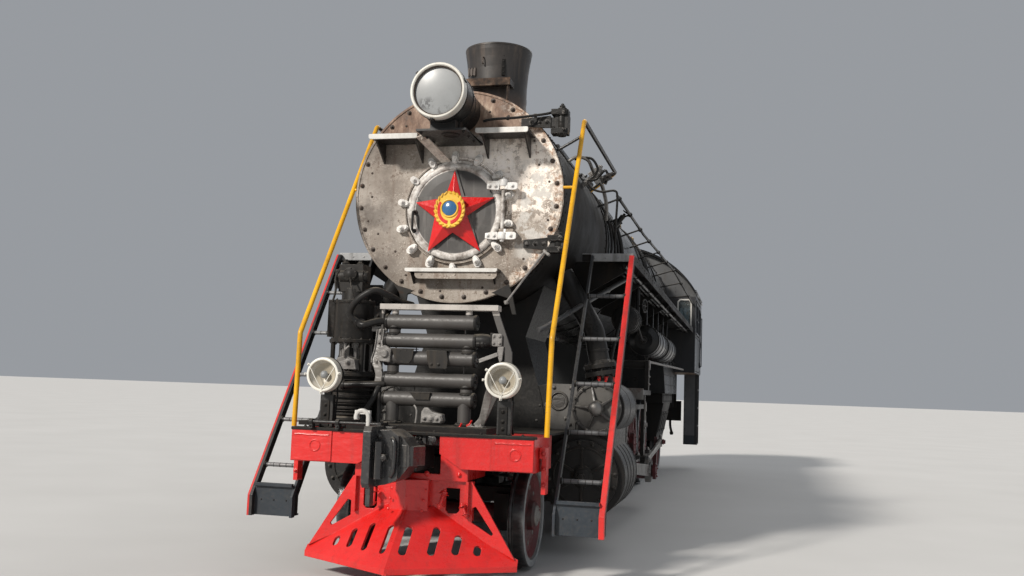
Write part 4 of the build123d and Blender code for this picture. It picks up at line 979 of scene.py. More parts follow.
def star():
    s = Shape()
    cz = 3.190
    ring = [V(x, 0, z) for x, z in ((-0.008, 3.611), (-0.095, 3.350), (-0.384, 3.305), (-0.189, 3.159), (-0.245, 2.832),
                                    (-0.007, 3.015), (0.269, 2.837), (0.129, 3.174), (0.389, 3.345), (0.065, 3.354))]
    apex = V(0, 0.838, cz)
    front = [V(p.x, 0.909, p.z) for p in ring]
    back = [V(p.x, 0.916, p.z) for p in ring]
    vs = [apex] + front + back + [V(0, 0.916, cz)]
    fs = []
    for i in range(10):
        j = (i + 1) % 10
        fs += [(0, 1 + i, 1 + j), (1 + i, 11 + i, 11 + j, 1 + j), (21, 11 + j, 11 + i)]
    s.add(vs, fs)
    return s


piece("door_star", star(), "star_red", body="smokebox_door", smooth=5, bevel=0.0025)

# A plain gilt boss with a leafy rim and a blue centre stands in front of the star.
s = Shape()
EC = V(-0.010, 0.806, 3.213)
oval = [(0.146 * math.cos(2 * math.pi * i / 48), 0.170 * math.sin(2 * math.pi * i / 48)) for i in range(48)]
s.prism(oval, EC, V(1, 0, 0), V(0, 0, 1), V(0, -1, 0), -0.012, 0.010)
s.rod(V(0, 0.836, 3.203), V(0, 0.800, 3.203), 0.05, 20)
for i in range(22):
    t = 2 * math.pi * (i + 0.5) / 22
    p = EC + V(0.138 * math.cos(t), -0.010, 0.162 * math.sin(t))
    d = V(-math.sin(t) * 0.84, 0, math.cos(t)).normalized()
    if math.cos(t) < 0:
        d = -d
    o = V(math.cos(t), 0, math.sin(t))
    w = (d * 0.75 + o * 0.5).normalized()
    x = w.cross(V(0, -1, 0)).normalized()
    leaf = [(-0.028, 0), (-0.012, 0.0125), (0.010, 0.0112), (0.029, 0), (0.010, -0.0112), (-0.012, -0.0125)]
    vs = [p + w * a + x * b for a, b in leaf] + [p + w * a * 0.8 + x * b * 0.2 + V(0, -0.011, 0) for a, b in leaf]
    s.add(vs, [tuple(range(6)), tuple(range(6, 12))[::-1]] + [(k, (k + 1) % 6, 6 + (k + 1) % 6, 6 + k) for k in range(6)])
for rr in ((0.080, 0.0085),):
    pts = [EC + V(rr[0] * math.cos(t), -0.014, rr[0] * math.sin(t) + 0.012) for t in [2 * math.pi * k / 40 for k in range(41)]]
    s.tube(pts, rr[1], 8, ends=False)
piece("door_boss_gilt", s, "gold_paint", body="smokebox_door", bevel=0.0015)
s = Shape()
s.lathe(EC + V(0, -0.009, 0.012), FRONT, [(0, 0), (0, 0.070), (0.006, 0.069), (0.016, 0.045), (0.021, 0.020), (0.022, 0)], 36)
piece("door_boss_blue", s, "enamel_blue", body="smokebox_door")
s = Shape()
for sg in (-1, 1):
    arc = [(0.118 * math.cos(t), 0.138 * math.sin(t)) for t in [math.radians(a) for a in range(-82, 37, 9)]]
    inn = [(0.090 * math.cos(t), 0.105 * math.sin(t)) for t in [math.radians(a) for a in range(35, -83, -9)]]
    poly = [(sg * a, b) for a, b in arc + inn]
    s.prism(poly, EC, V(1, 0, 0), V(0, 0, 1), V(0, -1, 0), 0.008, 0.015)
piece("door_boss_red", s, "star_red", body="smokebox_door", bevel=0.0015)

# Steps: rolled white lips, dark chequer plates on top, hung plate under the lower one
s = Shape()
for (x0, x1, z0, y0) in ((-0.792, -0.308, 3.890, 0.660), (0.248, 0.747, 3.922, 0.660), (-0.442, 0.457, 2.645, 0.850)):
    h = 0.050 if z0 > 3 else 0.034
    poly = [(0.0, 0.022), (0.0, -h + 0.024), (-0.006, -h + 0.020), (-0.012, -h + 0.024), (-0.013, 0.014), (-0.006, 0.025)]
    rr = 0.022
    s.prism(rrect(x1 - x0, h, (rr, rr, 0.012, 0.012), 5, (x0 + x1) / 2, z0 + 0.024 - h / 2), V(0, y0, 0), V(1, 0, 0), V(0, 0, 1), V(0, -1, 0), -0.004, 0.010)
piece("step_lips", s, "white_paint", bevel=0.004)
s = Shape()
for (x0, x1, z1, y0, y1) in ((-0.785, -0.315, 3.910, 0.675, 0.975), (0.255, 0.740, 3.942, 0.675, 0.975), (-0.435, 0.450, 2.672, 0.862, 0.975)):
    nx, ny = int((x1 - x0) / 0.032), max(2, int((y1 - y0) / 0.032))
    for i in range(nx):
        for j in range(ny):
            cx, cy = x0 + (i + 0.5) * (x1 - x0) / nx, y0 + (j + 0.5) * (y1 - y0) / ny
            a = math.radians(45 if (i + j) % 2 else -45)
            u, w = V(math.cos(a), math.sin(a), 0), V(-math.sin(a), math.cos(a), 0)
            s.prism([(-0.011, 0), (0, 0.0038), (0.011, 0), (0, -0.0038)], V(cx, cy, z1), u, w, V(0, 0, 1), -0.001, 0.0022)
piece("step_treads", s, "black_frame")
s = Shape()
s.prism(rrect(0.800, 0.082, (0.045, 0.045, 0.004, 0.004), 6, 0.052, 2.645 - 0.034), V(0, 0.866, 0), V(1, 0, 0), V(0, 0, 1), V(0, -1, 0), 0.0, 0.006)
for x in (-0.28, 0.05, 0.38):
    s.rivet(V(x, 0.860, 2.612), FRONT, 0.011)
piece("lower_step_plate", s, "smokebox_silver", bevel=0.002)

# Strut from the headlight shelf to the front plate, with its pad and bolts
s = Shape()
for sg in (-1,):
    a, b = V(sg * 0.262, 0.600, 3.872), V(sg * 0.105, 0.978, 3.700)
    s.flat(a, b, 0.092, 0.014, side=(1, 0.25, 0.0))
    s.box(-0.150, -0.052, 0.970, 0.986, 3.635, 3.715)
    s.bolt(V(-0.078, 0.970, 3.672), FRONT, 0.013, 0.012)
    s.bolt(V(-0.125, 0.970, 3.672), FRONT, 0.013, 0.012)
    s.bolt(a + (b - a) * 0.08 + V(0, -0.004, -0.008), (0, -0.5, -0.8), 0.013, 0.012)
piece("shelf_struts", s, "smokebox_silver", bevel=0.003)
s = Shape()
s.lathe((0.045, 0.560, 3.862), (0, 0, -1), [(-0.001, 0.062), (0.006, 0.064), (0.010, 0.078), (0.006, 0.088), (-0.001, 0.090)], 32)
s.lathe((0.045, 0.560, 3.862), (0, 0, -1), [(0, 0), (0, 0.060), (0.002, 0.058), (0.002, 0)], 32)
for x in (-0.20, 0.20):
    for y in (0.44, 0.62, 0.80):
        s.bolt(V(x, y, 3.862), (0, 0, -1), 0.013, 0.012)
piece("shelf_socket", s, "black_frame")

# Big hinges of the front plate
s = Shape()
for z in (4.060, 2.910):
    up = z > 3.5
    x0 = 0.615 if up else 0.675
    s.prism([(x0, -0.038), (0.900, -0.060), (0.900, 0.060), (x0, 0.038)], V(0, 0.940, z), V(1, 0, 0), V(0, 0, 1), V(0, -1, 0), 0.0, 0.010)
    for x in (0.715, 0.790, 0.865):
        s.bolt(V(x, 0.930, z), FRONT, 0.016, 0.014)
    h = 0.125 if up else 0.075
    for dz in (-h * 0.72, h * 0.72):
        s.prism([(0.905, 0.900), (1.035, 0.900), (1.062, 0.930), (1.062, 1.030), (0.905, 1.030)], V(0, 0, z + dz), V(1, 0, 0), V(0, 1, 0), V(0, 0, 1), -0.026, 0.026)
    s.lathe((1.000, 0.965, z - h - 0.008), (0, 0, 1), [(0, 0), (0, 0.040), (0.010, 0.047), (2 * h + 0.006, 0.047), (2 * h + 0.016, 0.040), (2 * h + 0.016, 0)], 20)
    s.bolt(V(1.000, 0.965, z + h + 0.006), (0, 0, 1), 0.030, 0.030, stud=True)
    s.bolt(V(1.030, 0.900, z + h * 0.70), FRONT, 0.015, 0.013)
    s.bolt(V(1.030, 0.900, z - h * 0.70), FRONT, 0.015, 0.013)
MATS["hinge_black"] = paint("hinge_black", (0.014, 0.0135, 0.013), dirt=(0.05, 0.04, 0.032), dirt_amt=0.35, rust_amt=0.05, dust=0.05, rough=(0.30, 0.5), wear=(0.36, 0.34, 0.32), wear_amt=0.8, lumps=0.5, edge=0.007)
piece("front_hinges", s, "hinge_black", bevel=0.006)

# Conduit to the headlight along the top of the plate
s = Shape()
s.tube(smooth_path([(0.30, 0.74, 4.030), (0.40, 0.74, 4.048), (0.62, 0.82, 4.080), (0.86, 0.92, 4.135), (0.95, 1.00, 4.180), (1.00, 1.20, 4.150)], 5), 0.0125, 10)
for p in ((0.52, 0.785, 4.066), (0.76, 0.885, 4.112)):
    s.lathe(V(*p) - V(0.012, 0.004, 0.003), (1, 0.35, 0.15), [(0, 0.012), (0, 0.019), (0.024, 0.019), (0.024, 0.012)], 12)
piece("headlight_conduit", s, "black_pipe")

# Headlight: rolled rim, gasket, lens, clips, bands and feet
HC = V(0.0, 0.290, 4.190)
s = Shape()
s.lathe((0, 0.262, 4.190), FRONT, [(-0.030, 0.2555), (-0.004, 0.2565), (0.006, 0.2545), (0.013, 0.247), (0.013, 0.237), (0.006, 0.2285), (-0.012, 0.2267), (-0.024, 0.2280)], 72)
piece("headlight_rim", s, "lamp_white", bevel=0.0)
s = Shape()
s.lathe((0, 0.272, 4.190), FRONT, [(-0.010, 0.2165), (0.002, 0.2172), (0.006, 0.2220), (0.002, 0.2275), (-0.010, 0.2275)], 72)
piece("headlight_gasket", s, "bolt_rust")


def lens_mat(name, base, zc, half, dirt=(0.10, 0.10, 0.10)):
    """Dusty clear lens over a dull reflector: paler at the top as a painted reflection, smudged at the bottom."""
    q = Mat(name)
    z = q.axis(2)
    big = q.noise(5.0, 4, 0.6)
    c = q.ramp(big, [(0.3, tuple(k * 0.84 for k in base)), (0.7, tuple(min(1, k * 1.10) for k in base))])
    # painted reflection: the lens grows paler towards the top
    c = q.mix(q.mul(q.step(z, zc - half * 0.1, zc + half * 1.1), 0.25), c, tuple(min(1, k * 1.35) for k in base))
    sm = q.mul(q.step(q.noise(16, 6, 0.75, move=(2, 0, 5)), 0.52, 0.62), q.step(z, zc - half * 0.25, zc - half * 0.95))
    c = q.mix(q.mul(sm, 0.8), c, dirt)
    sm2 = q.mul(q.step(q.noise(26, 4, 0.6, move=(7, 1, 3)), 0.46, 0.52), q.between(q.axis(0), -0.17, -0.05, 0.03), q.between(z, zc - half * 0.72, zc - half * 0.30, 0.03))
    c = q.mix(q.mul(sm2, 0.75), c, (0.045, 0.045, 0.05))
    q.b.inputs["Coat Weight"].default_value = 0.25
    q.b.inputs["Coat Roughness"].default_value = 0.25
    return finish(q, c, q.step(big, 0.3, 0.7, 0.45, 0.62), q.bump(big, 0.06, 0.01))


MATS["lens_grey"] = lens_mat("lens_grey", (0.235, 0.245, 0.250), 4.190 + ZC, 0.22)
s = Shape()
s.lathe((0, 0.290, 4.190), FRONT, [(0.0, 0)] + [(0.0, 0.2170)] + [(0.002 + 0.020 * (1 - (r / 0.2170) ** 2), r) for r in (0.2165, 0.19, 0.155, 0.11, 0.07, 0.03)] + [(0.022, 0)], 64)
piece("headlight_lens", s, "lens_grey")
s = Shape()
for a in (20, 140, 260):
    p = polar(0.259, a, 0.275, (0.0, 4.190))
    t = math.radians(a)
    s.obox(p + V(0, 0.012, 0), (math.cos(t), 0, math.sin(t)), (-math.sin(t), 0, math.cos(t)), (0, 1, 0), 0.010, 0.014, 0.030)
for y in (0.345, 0.560, 0.755):
    r0 = 0.2555 if y < 0.5 else (0.250 if y < 0.6 else 0.218)
    s.lathe((0, y, 4.190), (0, 1, 0), [(-0.008, r0 - 0.006), (-0.008, r0 + 0.004), (0.008, r0 + 0.004), (0.008, r0 - 0.006)], 56)
piece("headlight_bands", s, "black_body", bevel=0.0015)
s = Shape()
for x in (-0.12, 0.12):
    s.prism([(-0.060, -0.155), (0.060, -0.155), (0.050, 0.0), (-0.050, 0.0)], V(x, 0.60, 4.020), V(0, 1, 0), V(0, 0, 1), V(1, 0, 0), -0.012, 0.012)
s.rivets(V(-0.06, 0.500, 3.884), V(-0.06, 0.680, 3.884), (0, 0, 1), 0.06, 0.009)
piece("headlight_feet", s, "black_frame", bevel=0.003)


# ---------------------------------------------------------------- chimney
s = Shape()
for k in range(24):
    t = 2 * math.pi * k / 24
    if abs(math.cos(t)) * 0.40 > 0.0:
        x, y = 0.405 * math.cos(t), 2.350 + 0.405 * math.sin(t)
        z = 3.380 + math.sqrt(max(0.0, 1.0 - x * x)) + 0.006
        if k % 2 == 0:
            s.bolt(V(x, y, z + 0.012), (x * 0.9, 0, 1), 0.016, 0.016)
for t in (-1.15, 0.9, 2.6):
    c, n = V(0.338 * math.cos(t), 2.350 + 0.338 * math.sin(t), 0), V(math.cos(t), math.sin(t), 0)
    w = V(-n.y, n.x, 0)
    s.obox(c + V(0, 0, 5.045) - n * 0.004, w, V(0, 0, 1), n, 0.022, 0.150, 0.006)
    for z in (4.93, 4.99, 5.05, 5.11, 5.17):
        s.rivet(c + V(0, 0, z) + n * 0.003, n, 0.009)
piece("chimney_seams", s, "black_frame", bevel=0.003)
s = Shape()
s.lathe((0, 2.350, 5.248), (0, 0, -1), [(-0.001, 0.352), (0.004, 0.3665), (0.016, 0.3665), (0.022, 0.360), (0.022, 0.352)], 72)
piece("chimney_bead", s, chimney_mat())
s = Shape()
a = math.radians(-103)
n = V(math.cos(a), math.sin(a), 0)
w = V(-n.y, n.x, 0)
o = V(0, 2.350, 0)
s.tube(rounded([o + n * 0.335 + V(0, 0, 5.090), o + n * 0.372 + V(0, 0, 5.090), o + n * 0.372 + V(0, 0, 5.020), o + n * 0.350 + V(0, 0, 5.020)], 0.012), 0.0075, 8)
for dx in (-0.205, -0.165, -0.125):
    s.obox(o + n * 0.334 + w * dx * 0.9 + V(0, 0.018, 4.955), w, V(0, 0, 1), n, 0.009, 0.045, 0.010)
s.obox(o + n * 0.330 + w * -0.149 + V(0, 0.018, 4.955), w, V(0, 0, 1), n, 0.028, 0.036, 0.004)
piece("chimney_lugs", s, "bolt_rust", bevel=0.002)
s = Shape()
s.rivets(V(-0.235, 1.960, 4.830), V(0.215, 1.960, 4.830), (0, 0, 1), 0.075, 0.010)
s.rivets(V(0.215, 2.04, 4.830), V(0.215, 2.70, 4.830), (0, 0, 1), 0.09, 0.010)
s.box(-0.264, 0.244, 1.921, 1.931, 4.752, 4.834)
for x in (-0.235, 0.212):
    s.prism([(1.935, 4.762), (2.02, 4.762), (1.965, 4.36), (1.935, 4.36)], V(0, 0, 0), V(0, 1, 0), V(0, 0, 1), V(1, 0, 0), x - 0.006, x + 0.006)
piece("chimney_shelf_trim", s, "smokebox_black", bevel=0.003)

# ---------------------------------------------------------------- buffer beam
s = Shape()
for x0, x1, ring in ((-1.052, -0.686, -0.838), (0.704, 1.052, 0.900)):
    s.prism(rrect(x1 - x0, 0.270, 0.012, 3, (x0 + x1) / 2, 1.045), V(0, -0.070, 0), V(1, 0, 0), V(0, 0, 1), V(0, -1, 0), -0.002, 0.0085)
    s.lathe((ring, -0.0785, 1.040), FRONT, [(-0.001, 0.038), (0.003, 0.040), (0.006, 0.045), (0.003, 0.051), (-0.001, 0.053)], 32)
    m, k = (x0 + x1) / 2, 0.155 * (x1 - x0) / 0.36
    P = [(m - k, 1.128), (m - k * 0.6, 1.131), (m - k * 0.2, 1.127), (m + k * 0.2, 1.130), (m + k * 0.6, 1.126), (m + k, 1.129)]
    s.tube([V(a, -0.0785, b) for a, b in P], 0.0065, 8)
piece("beam_end_plates", s, "red_paint", bevel=0.003)
s = Shape()
for x in (-0.42, -0.14, 0.14, 0.42):
    s.bolt(V(x, 0.0, 0.850), FRONT, 0.016, 0.014)
for sg in (-1, 1):
    x = sg * 1.062
    s.box(min(x, x + sg * 0.05), max(x, x + sg * 0.05), 0.10, 0.26, 1.01, 1.10)
    s.box(min(x + sg * 0.015, x + sg * 0.055), max(x + sg * 0.015, x + sg * 0.055), 0.13, 0.23, 0.72, 1.03)
    for z in (0.80, 0.93, 1.055):
        s.bolt(V(x + sg * 0.035, 0.130 if z < 1 else 0.10, z), FRONT, 0.015, 0.014)
piece("beam_rivets_brackets", s, "red_paint", bevel=0.004)
# deck edge over the beam
s = Shape()
s.prism(rrect(2.116, 0.026, 0.008, 3, 0.0, 1.178), V(0, -0.002, 0), V(1, 0, 0), V(0, 0, 1), V(0, -1, 0), -0.03, 0.082)
for x in (-0.95, -0.6, -0.2, 0.2, 0.6, 0.95):
    s.bolt(V(x, -0.035, 1.191), (0, 0, 1), 0.013, 0.011)
piece("beam_deck_edge", s, "black_frame", bevel=0.003)

# red stubs beside the pilot's prow
s = Shape()
for (x, z, dx, dz, L, r) in ((0.300, 0.690, -0.030, -0.120, 0.120, 0.022), (0.470, 0.600, 0.035, -0.075, 0.085, 0.017), (-0.300, 0.680, 0.0, -0.11, 0.11, 0.018)):
    d = V(dx, -0.018, dz).normalized()
    p = V(x, -0.030, z)
    s.rod(p, p + d * L, r * 0.75, 14)
    s.bolt(p - d * 0.004, -d, r * 1.45, r * 1.2, wash=True)
    s.bolt(p + d * L * 0.72, d, r * 1.25, r * 1.0, wash=True)
piece("prow_bolts", s, "red_paint", bevel=0.002)
s = Shape()
for sg in (-1, 1):
    for z in (0.56, 0.64, 0.72):
        s.rivet(V(sg * 0.145, -0.030 - (0.72 - z) * 0.5, z), FRONT, 0.012)
piece("prow_rivets", s, "red_paint")

# ---------------------------------------------------------------- coupler
MATS["coupler_cast"] = paint("coupler_cast", (0.034, 0.034, 0.035), dirt=(0.10, 0.085, 0.07), dirt_amt=0.45, rust_amt=0.10, dust=0.55, rough=(0.30, 0.52), wear=(0.22, 0.20, 0.185), wear_amt=0.8, lumps=0.35, grain=0.5, coat=0.15, edge=0.010)
s = Shape()
s.bolt(V(-0.060, -0.520, 1.000), FRONT, 0.017, 0.012, stud=False)
s.lathe((-0.060, -0.519, 1.000), FRONT, [(0, 0.024), (0.004, 0.027), (0.009, 0.024)], 20)
for z in (0.868, 1.160):
    s.bolt(V(-0.115, -0.462, z), FRONT, 0.014, 0.012)
for z in (0.82, 1.0, 1.18):
    s.rivet(V(-0.168, -0.5955, z), FRONT, 0.010, 0.003)
s.prism([(-0.300, 1.150), (-0.170, 1.150), (-0.170, 1.195), (-0.215, 1.232), (-0.300, 1.232)], V(0, 0, 0), V(0, 1, 0), V(0, 0, 1), V(1, 0, 0), -0.130, -0.070)
s.tube(smooth_path([(-0.01, -0.462, 1.150), (0.016, -0.485, 1.120), (0.024, -0.492, 1.02), (0.014, -0.485, 0.90), (-0.01, -0.462, 0.852)], 6), 0.016, 10)
s.prism([(0.052, -0.4275), (0.100, -0.4275), (0.116, -0.412), (0.112, -0.37), (0.052, -0.37)], V(0, 0, 0), V(1, 0, 0), V(0, 1, 0), V(0, 0, 1), 0.925, 1.100)
piece("coupler_fittings", s, MATS["coupler_cast"], bevel=0.006)
s = Shape()
# draft pocket: frame, boss and spring to the right of the shank
s.prism([(0.045, 1.085), (0.255, 1.085), (0.262, 1.172), (0.045, 1.172)], V(0, -0.004, 0), V(1, 0, 0), V(0, 0, 1), V(0, 1, 0), -0.012, 0.0)
s.lathe((0.196, -0.016, 1.136), FRONT, [(0, 0), (0, 0.046), (0.012, 0.046), (0.020, 0.036), (0.050, 0.034), (0.054, 0.028), (0.054, 0)], 24)
s.bolt(V(0.196, -0.070, 1.136), FRONT, 0.024, 0.018, stud=False)
P = [V(0.070 + 0.020 * math.cos(t), -0.020 - 0.0085 * t / (2 * math.pi) * 1.2, 1.140 + 0.020 * math.sin(t)) for t in [k * math.pi / 6 for k in range(61)]]
s.tube(P, 0.0048, 6)
s.rod(V(0.070, -0.012, 1.140), V(0.070, -0.135, 1.140), 0.008, 10)
s.box(0.105, 0.135, -0.05, -0.012, 1.095, 1.165)
piece("draft_pocket_boss", s, MATS["coupler_cast"], bevel=0.004)
dress("front_coupler", MATS["coupler_cast"])

# white hook on the uncoupling lever
s = Shape()
hook = smooth_path([(-0.352, -0.110, 1.222), (-0.350, -0.112, 1.285), (-0.361, -0.114, 1.326), (-0.402, -0.115, 1.348), (-0.442, -0.116, 1.336), (-0.458, -0.118, 1.302), (-0.455, -0.119, 1.272)], 5)
s.sweep(hook, rrect(0.046, 0.036, 0.012, 3), side=(0, 1, 0))
piece("lever_hook", s, "white_paint", bevel=0.003)
s = Shape()
for x in (-0.865, -0.625, -0.20):
    s.lathe((x - 0.016, -0.110, 1.240), (1, 0, 0), [(0, 0), (0, 0.026), (0.032, 0.026), (0.032, 0)], 16)
    s.box(x - 0.020, x + 0.020, -0.118, -0.074, 1.184, 1.236)
    s.bolt(V(x, -0.119, 1.205), FRONT, 0.011, 0.010)
piece("lever_bearings", s, "black_pipe", bevel=0.002)

# ---------------------------------------------------------------- marker lamps
MATS["lamp_cream"] = paint("lamp_cream", (0.40, 0.36, 0.285), dark=(0.27, 0.24, 0.19), dirt=(0.16, 0.13, 0.10), dirt_amt=0.35, rust_amt=0.05, dust=0.0, rough=(0.24, 0.42), wear=(0.5, 0.47, 0.4), wear_amt=0.2, coat=0.5, edge=0.003)
for side, sx in (("left", 1), ("right", -1)):
    cx, cz = 0.780 * sx, 1.636
    s = Shape()
    s.lathe((cx, -0.120, cz), FRONT, [(-0.016, 0.1415), (-0.002, 0.1445), (0.008, 0.143), (0.013, 0.136), (0.013, 0.127), (0.007, 0.1195), (-0.006, 0.1175), (-0.016, 0.120)], 56)
    for a in (5, 148, 180, 268):
        t = math.radians(a)
        u = V(math.cos(t), 0, math.sin(t))
        s.obox(V(cx, -0.122, cz) + u * 0.148, u, V(-u.z, 0, u.x), (0, 1, 0), 0.016, 0.010, 0.010)
        s.bolt(V(cx, -0.133, cz) + u * 0.152, FRONT, 0.0085, 0.008, wash=False)
    piece("lamp_rim_" + side, s, "lamp_white", bevel=0.0015)
    s = Shape()
    dish = [(-0.010, 0.1195), (0.012, 0.1165), (0.046, 0.096), (0.066, 0.064), (0.076, 0.030), (0.079, 0.0)]
    s.lathe((cx, -0.122, cz), (0, 1, 0), [(a, r) for a, r in dish] + [(0.083, 0.0), (0.070, 0.066), (0.048, 0.100), (0.014, 0.1205)], 48)
    piece("lamp_dish_" + side, s, "lamp_cream")
    s = Shape()
    s.lathe((cx, -0.050, cz), FRONT, [(0, 0), (0, 0.016), (0.010, 0.018), (0.022, 0.030), (0.040, 0.034), (0.056, 0.026), (0.064, 0.010), (0.066, 0)], 20)
    piece("lamp_bulb_" + side, s, "lens_grey")
    s = Shape()
    b = V(cx + 0.002, -0.134, cz - 0.128)
    ends = (148, 35) if sx > 0 else (152, 30)
    for a in ends:
        t = math.radians(a)
        e = V(cx + 0.127 * math.cos(t), -0.134, cz + 0.127 * math.sin(t))
        m = (b + e) / 2 + V(0, -0.010, 0)
        s.tube(smooth_path([b, m, e], 6), 0.0034, 6)
    piece("lamp_guard_" + side, s, "lamp_white")
    s = Shape()
    s.lathe((cx, 0, cz), (0, 1, 0), [(-0.056, 0.148), (-0.056, 0.152), (-0.040, 0.153), (-0.040, 0.145)], 40)
    s.box(cx - 0.044, cx + 0.030, -0.018, -0.006, 1.200, 1.420)
    s.box(cx - 0.060, cx + 0.060, -0.014, 0.050, 1.183, 1.197)
    for z in (1.240, 1.300, 1.380):
        s.bolt(V(cx - 0.006, -0.018, z), FRONT, 0.011, 0.010)
    for dx in (-0.045, 0.045):
        s.bolt(V(cx + dx, -0.004, 1.197), (0, 0, 1), 0.010, 0.010)
    s.tube(smooth_path([(cx + 0.03, 0.084, cz), (cx + 0.03, 0.120, cz - 0.05), (cx + 0.045, 0.110, 1.45), (cx + 0.050, 0.075, 1.30), (cx + 0.055, 0.10, 1.195)], 5), 0.0085, 8)
    piece("lamp_post_trim_" + side, s, "black_frame", bevel=0.002)


# ---------------------------------------------------------------- air cooler
ZP = [2.130, 1.965, 1.810, 1.620, 1.455]
dress("air_cooler", banded("cooler_paint", [
    (None, (0.062, 0.058, 0.055)),
    (m_all(m_z(2.20, 2.30), m_y(0.32, 0.46)), (0.42, 0.39, 0.36)),
], rough=(0.40, 0.60), bumpy=0.45))
s = Shape()
for i, z in enumerate(ZP):
    for sg in (-1, 1):
        x = 0.410 * sg
        s.lathe((x, 0.385, z), (sg, 0, 0), [(-0.016, 0.0635), (-0.012, 0.0695), (0.004, 0.0700), (0.010, 0.066), (0.012, 0.052), (0.005, 0.048), (0.005, 0.0)] + [(-0.016, 0.0)], 32)
        s.bolt(V(x + sg * 0.005, 0.385, z), (sg, 0, 0), 0.016, 0.016, wash=False)
        for k in range(4):
            t = math.pi / 4 + k * math.pi / 2
            s.rivet(V(x + sg * 0.010, 0.385 + 0.059 * math.cos(t), z + 0.059 * math.sin(t)), (sg, 0, 0), 0.006)
    if i < 4:
        zb = ZP[i + 1]
        rx = (-0.340 if i % 2 == 0 else 0.340)
        s.lathe((rx, 0.385, zb + 0.050), (0, 0, 1), [(0, 0.0515), (0, 0.066), (0.012, 0.058), (0.020, 0.0525)], 24)
        s.lathe((rx, 0.385, z - 0.050), (0, 0, -1), [(0, 0.0515), (0, 0.066), (0.012, 0.058), (0.020, 0.0525)], 24)
        s.rod(V(-rx * 0.93, 0.372, zb + 0.05), V(-rx * 0.93, 0.372, z - 0.05), 0.0065, 8)
        s.rod(V(-rx * 0.40, 0.400, zb + 0.05), V(-rx * 0.40, 0.400, z - 0.05), 0.005, 8)
for sg in (-1, 1):
    s.lathe((0.330 * sg, 0.385, 1.235), (0, 0, 1), [(0, 0.057), (0, 0.088), (0.014, 0.086), (0.018, 0.066), (0.030, 0.0585)], 28)
    for k in range(4):
        t = math.pi / 4 + k * math.pi / 2
        s.bolt(V(0.330 * sg + 0.075 * math.cos(t), 0.385 + 0.075 * math.sin(t), 1.250), (0, 0, 1), 0.009, 0.010)
piece("cooler_caps_collars", s, "black_pipe", bevel=0.0)

MATS["plate_dark"] = paint("plate_dark", (0.022, 0.021, 0.020), dirt=(0.07, 0.055, 0.04), dirt_amt=0.45, rust_amt=0.10, dust=0.2, rough=(0.42, 0.62), wear=(0.20, 0.18, 0.16), wear_amt=0.8, edge=0.003)
s = Shape()
for poly, depth in (([(-0.334, 1.892), (-0.128, 1.884), (-0.140, 1.800), (-0.165, 1.763), (-0.250, 1.762), (-0.302, 1.800)], 0.305),
                    ([(-0.012, 1.880), (0.172, 1.876), (0.186, 1.800), (0.178, 1.724), (0.022, 1.724), (-0.002, 1.800)], 0.302),
                    ([(-0.150, 1.512), (0.036, 1.508), (0.028, 1.452), (-0.100, 1.450)], 0.306)):
    s.prism(poly, V(0, depth, 0), V(1, 0, 0), V(0, 0, 1), V(0, 1, 0), 0.0, 0.006)
    x0, x1 = poly[0][0], poly[1][0]
    s.prism([(x0, 0.305), (x1, 0.303), (x1 + 0.012, 0.400), (x0, 0.400)], V(0, 0, poly[0][1]), V(1, 0, 0), V(0, 1, 0), V(0, 0, 1), -0.006, 0.0)
for x in (0.040, 0.105):
    s.bolt(V(x, 0.302, 1.758), FRONT, 0.010, 0.008)
for x in (-0.25, -0.20):
    s.rivet(V(x, 0.305, 1.872), FRONT, 0.007)
piece("cooler_plates", s, "plate_dark", bevel=0.0015)

# textured cast arm on the pump side of the cooler
MATS["pipe_grey"] = paint("pipe_grey", (0.055, 0.056, 0.058), dirt=(0.03, 0.026, 0.022), dirt_amt=0.5, rust_amt=0.10, dust=0.25, rough=(0.36, 0.56), wear=(0.24, 0.22, 0.20), wear_amt=0.6, edge=0.004)
MATS["cast_dark"] = paint("cast_dark", (0.048, 0.045, 0.042), dirt=(0.024, 0.02, 0.018), dirt_amt=0.6, rust_amt=0.10, dust=0.25, rough=(0.34, 0.56), wear=(0.30, 0.28, 0.26), wear_amt=0.9, grain=0.8, lumps=0.8, edge=0.010)
MATS["cast_silver"] = paint("cast_silver", (0.21, 0.20, 0.19), dark=(0.09, 0.083, 0.076), dirt=(0.028, 0.023, 0.02), dirt_amt=0.6, rust_amt=0.10, dust=0.35, rough=(0.34, 0.56), wear=(0.34, 0.32, 0.30), wear_amt=0.9, grain=0.8, lumps=0.8, edge=0.012)
s = Shape()
arm = smooth_path([(-0.470, 0.400, 2.060), (-0.474, 0.396, 1.975), (-0.484, 0.388, 1.870), (-0.500, 0.372, 1.780), (-0.474, 0.360, 1.725), (-0.452, 0.356, 1.650), (-0.468, 0.362, 1.560)], 5)
s.sweep(arm, rrect(0.074, 0.030, 0.010, 3), side=(1, 0, 0))
s.sweep([p + V(0.030, -0.012, 0) for p in arm], rrect(0.012, 0.040, 0.004, 2), side=(1, 0, 0))
s.sweep([p + V(-0.034, -0.010, 0) for p in arm[:18]], rrect(0.010, 0.034, 0.004, 2), side=(1, 0, 0))
s.tube(smooth_path([(-0.455, 0.372, 1.960), (-0.430, 0.352, 1.870), (-0.400, 0.345, 1.800), (-0.360, 0.34, 1.765)], 5), 0.012, 8)
s.tube(smooth_path([(-0.505, 0.352, 1.800), (-0.455, 0.338, 1.765), (-0.425, 0.336, 1.700)], 5), 0.010, 8)
for z in (2.03, 1.94, 1.86):
    s.bolt(V(-0.474, 0.378, z), FRONT, 0.013, 0.012)
s.bolt(V(-0.478, 0.350, 1.775), FRONT, 0.020, 0.016)
s.box(-0.560, -0.420, 0.390, 0.430, 2.040, 2.085)
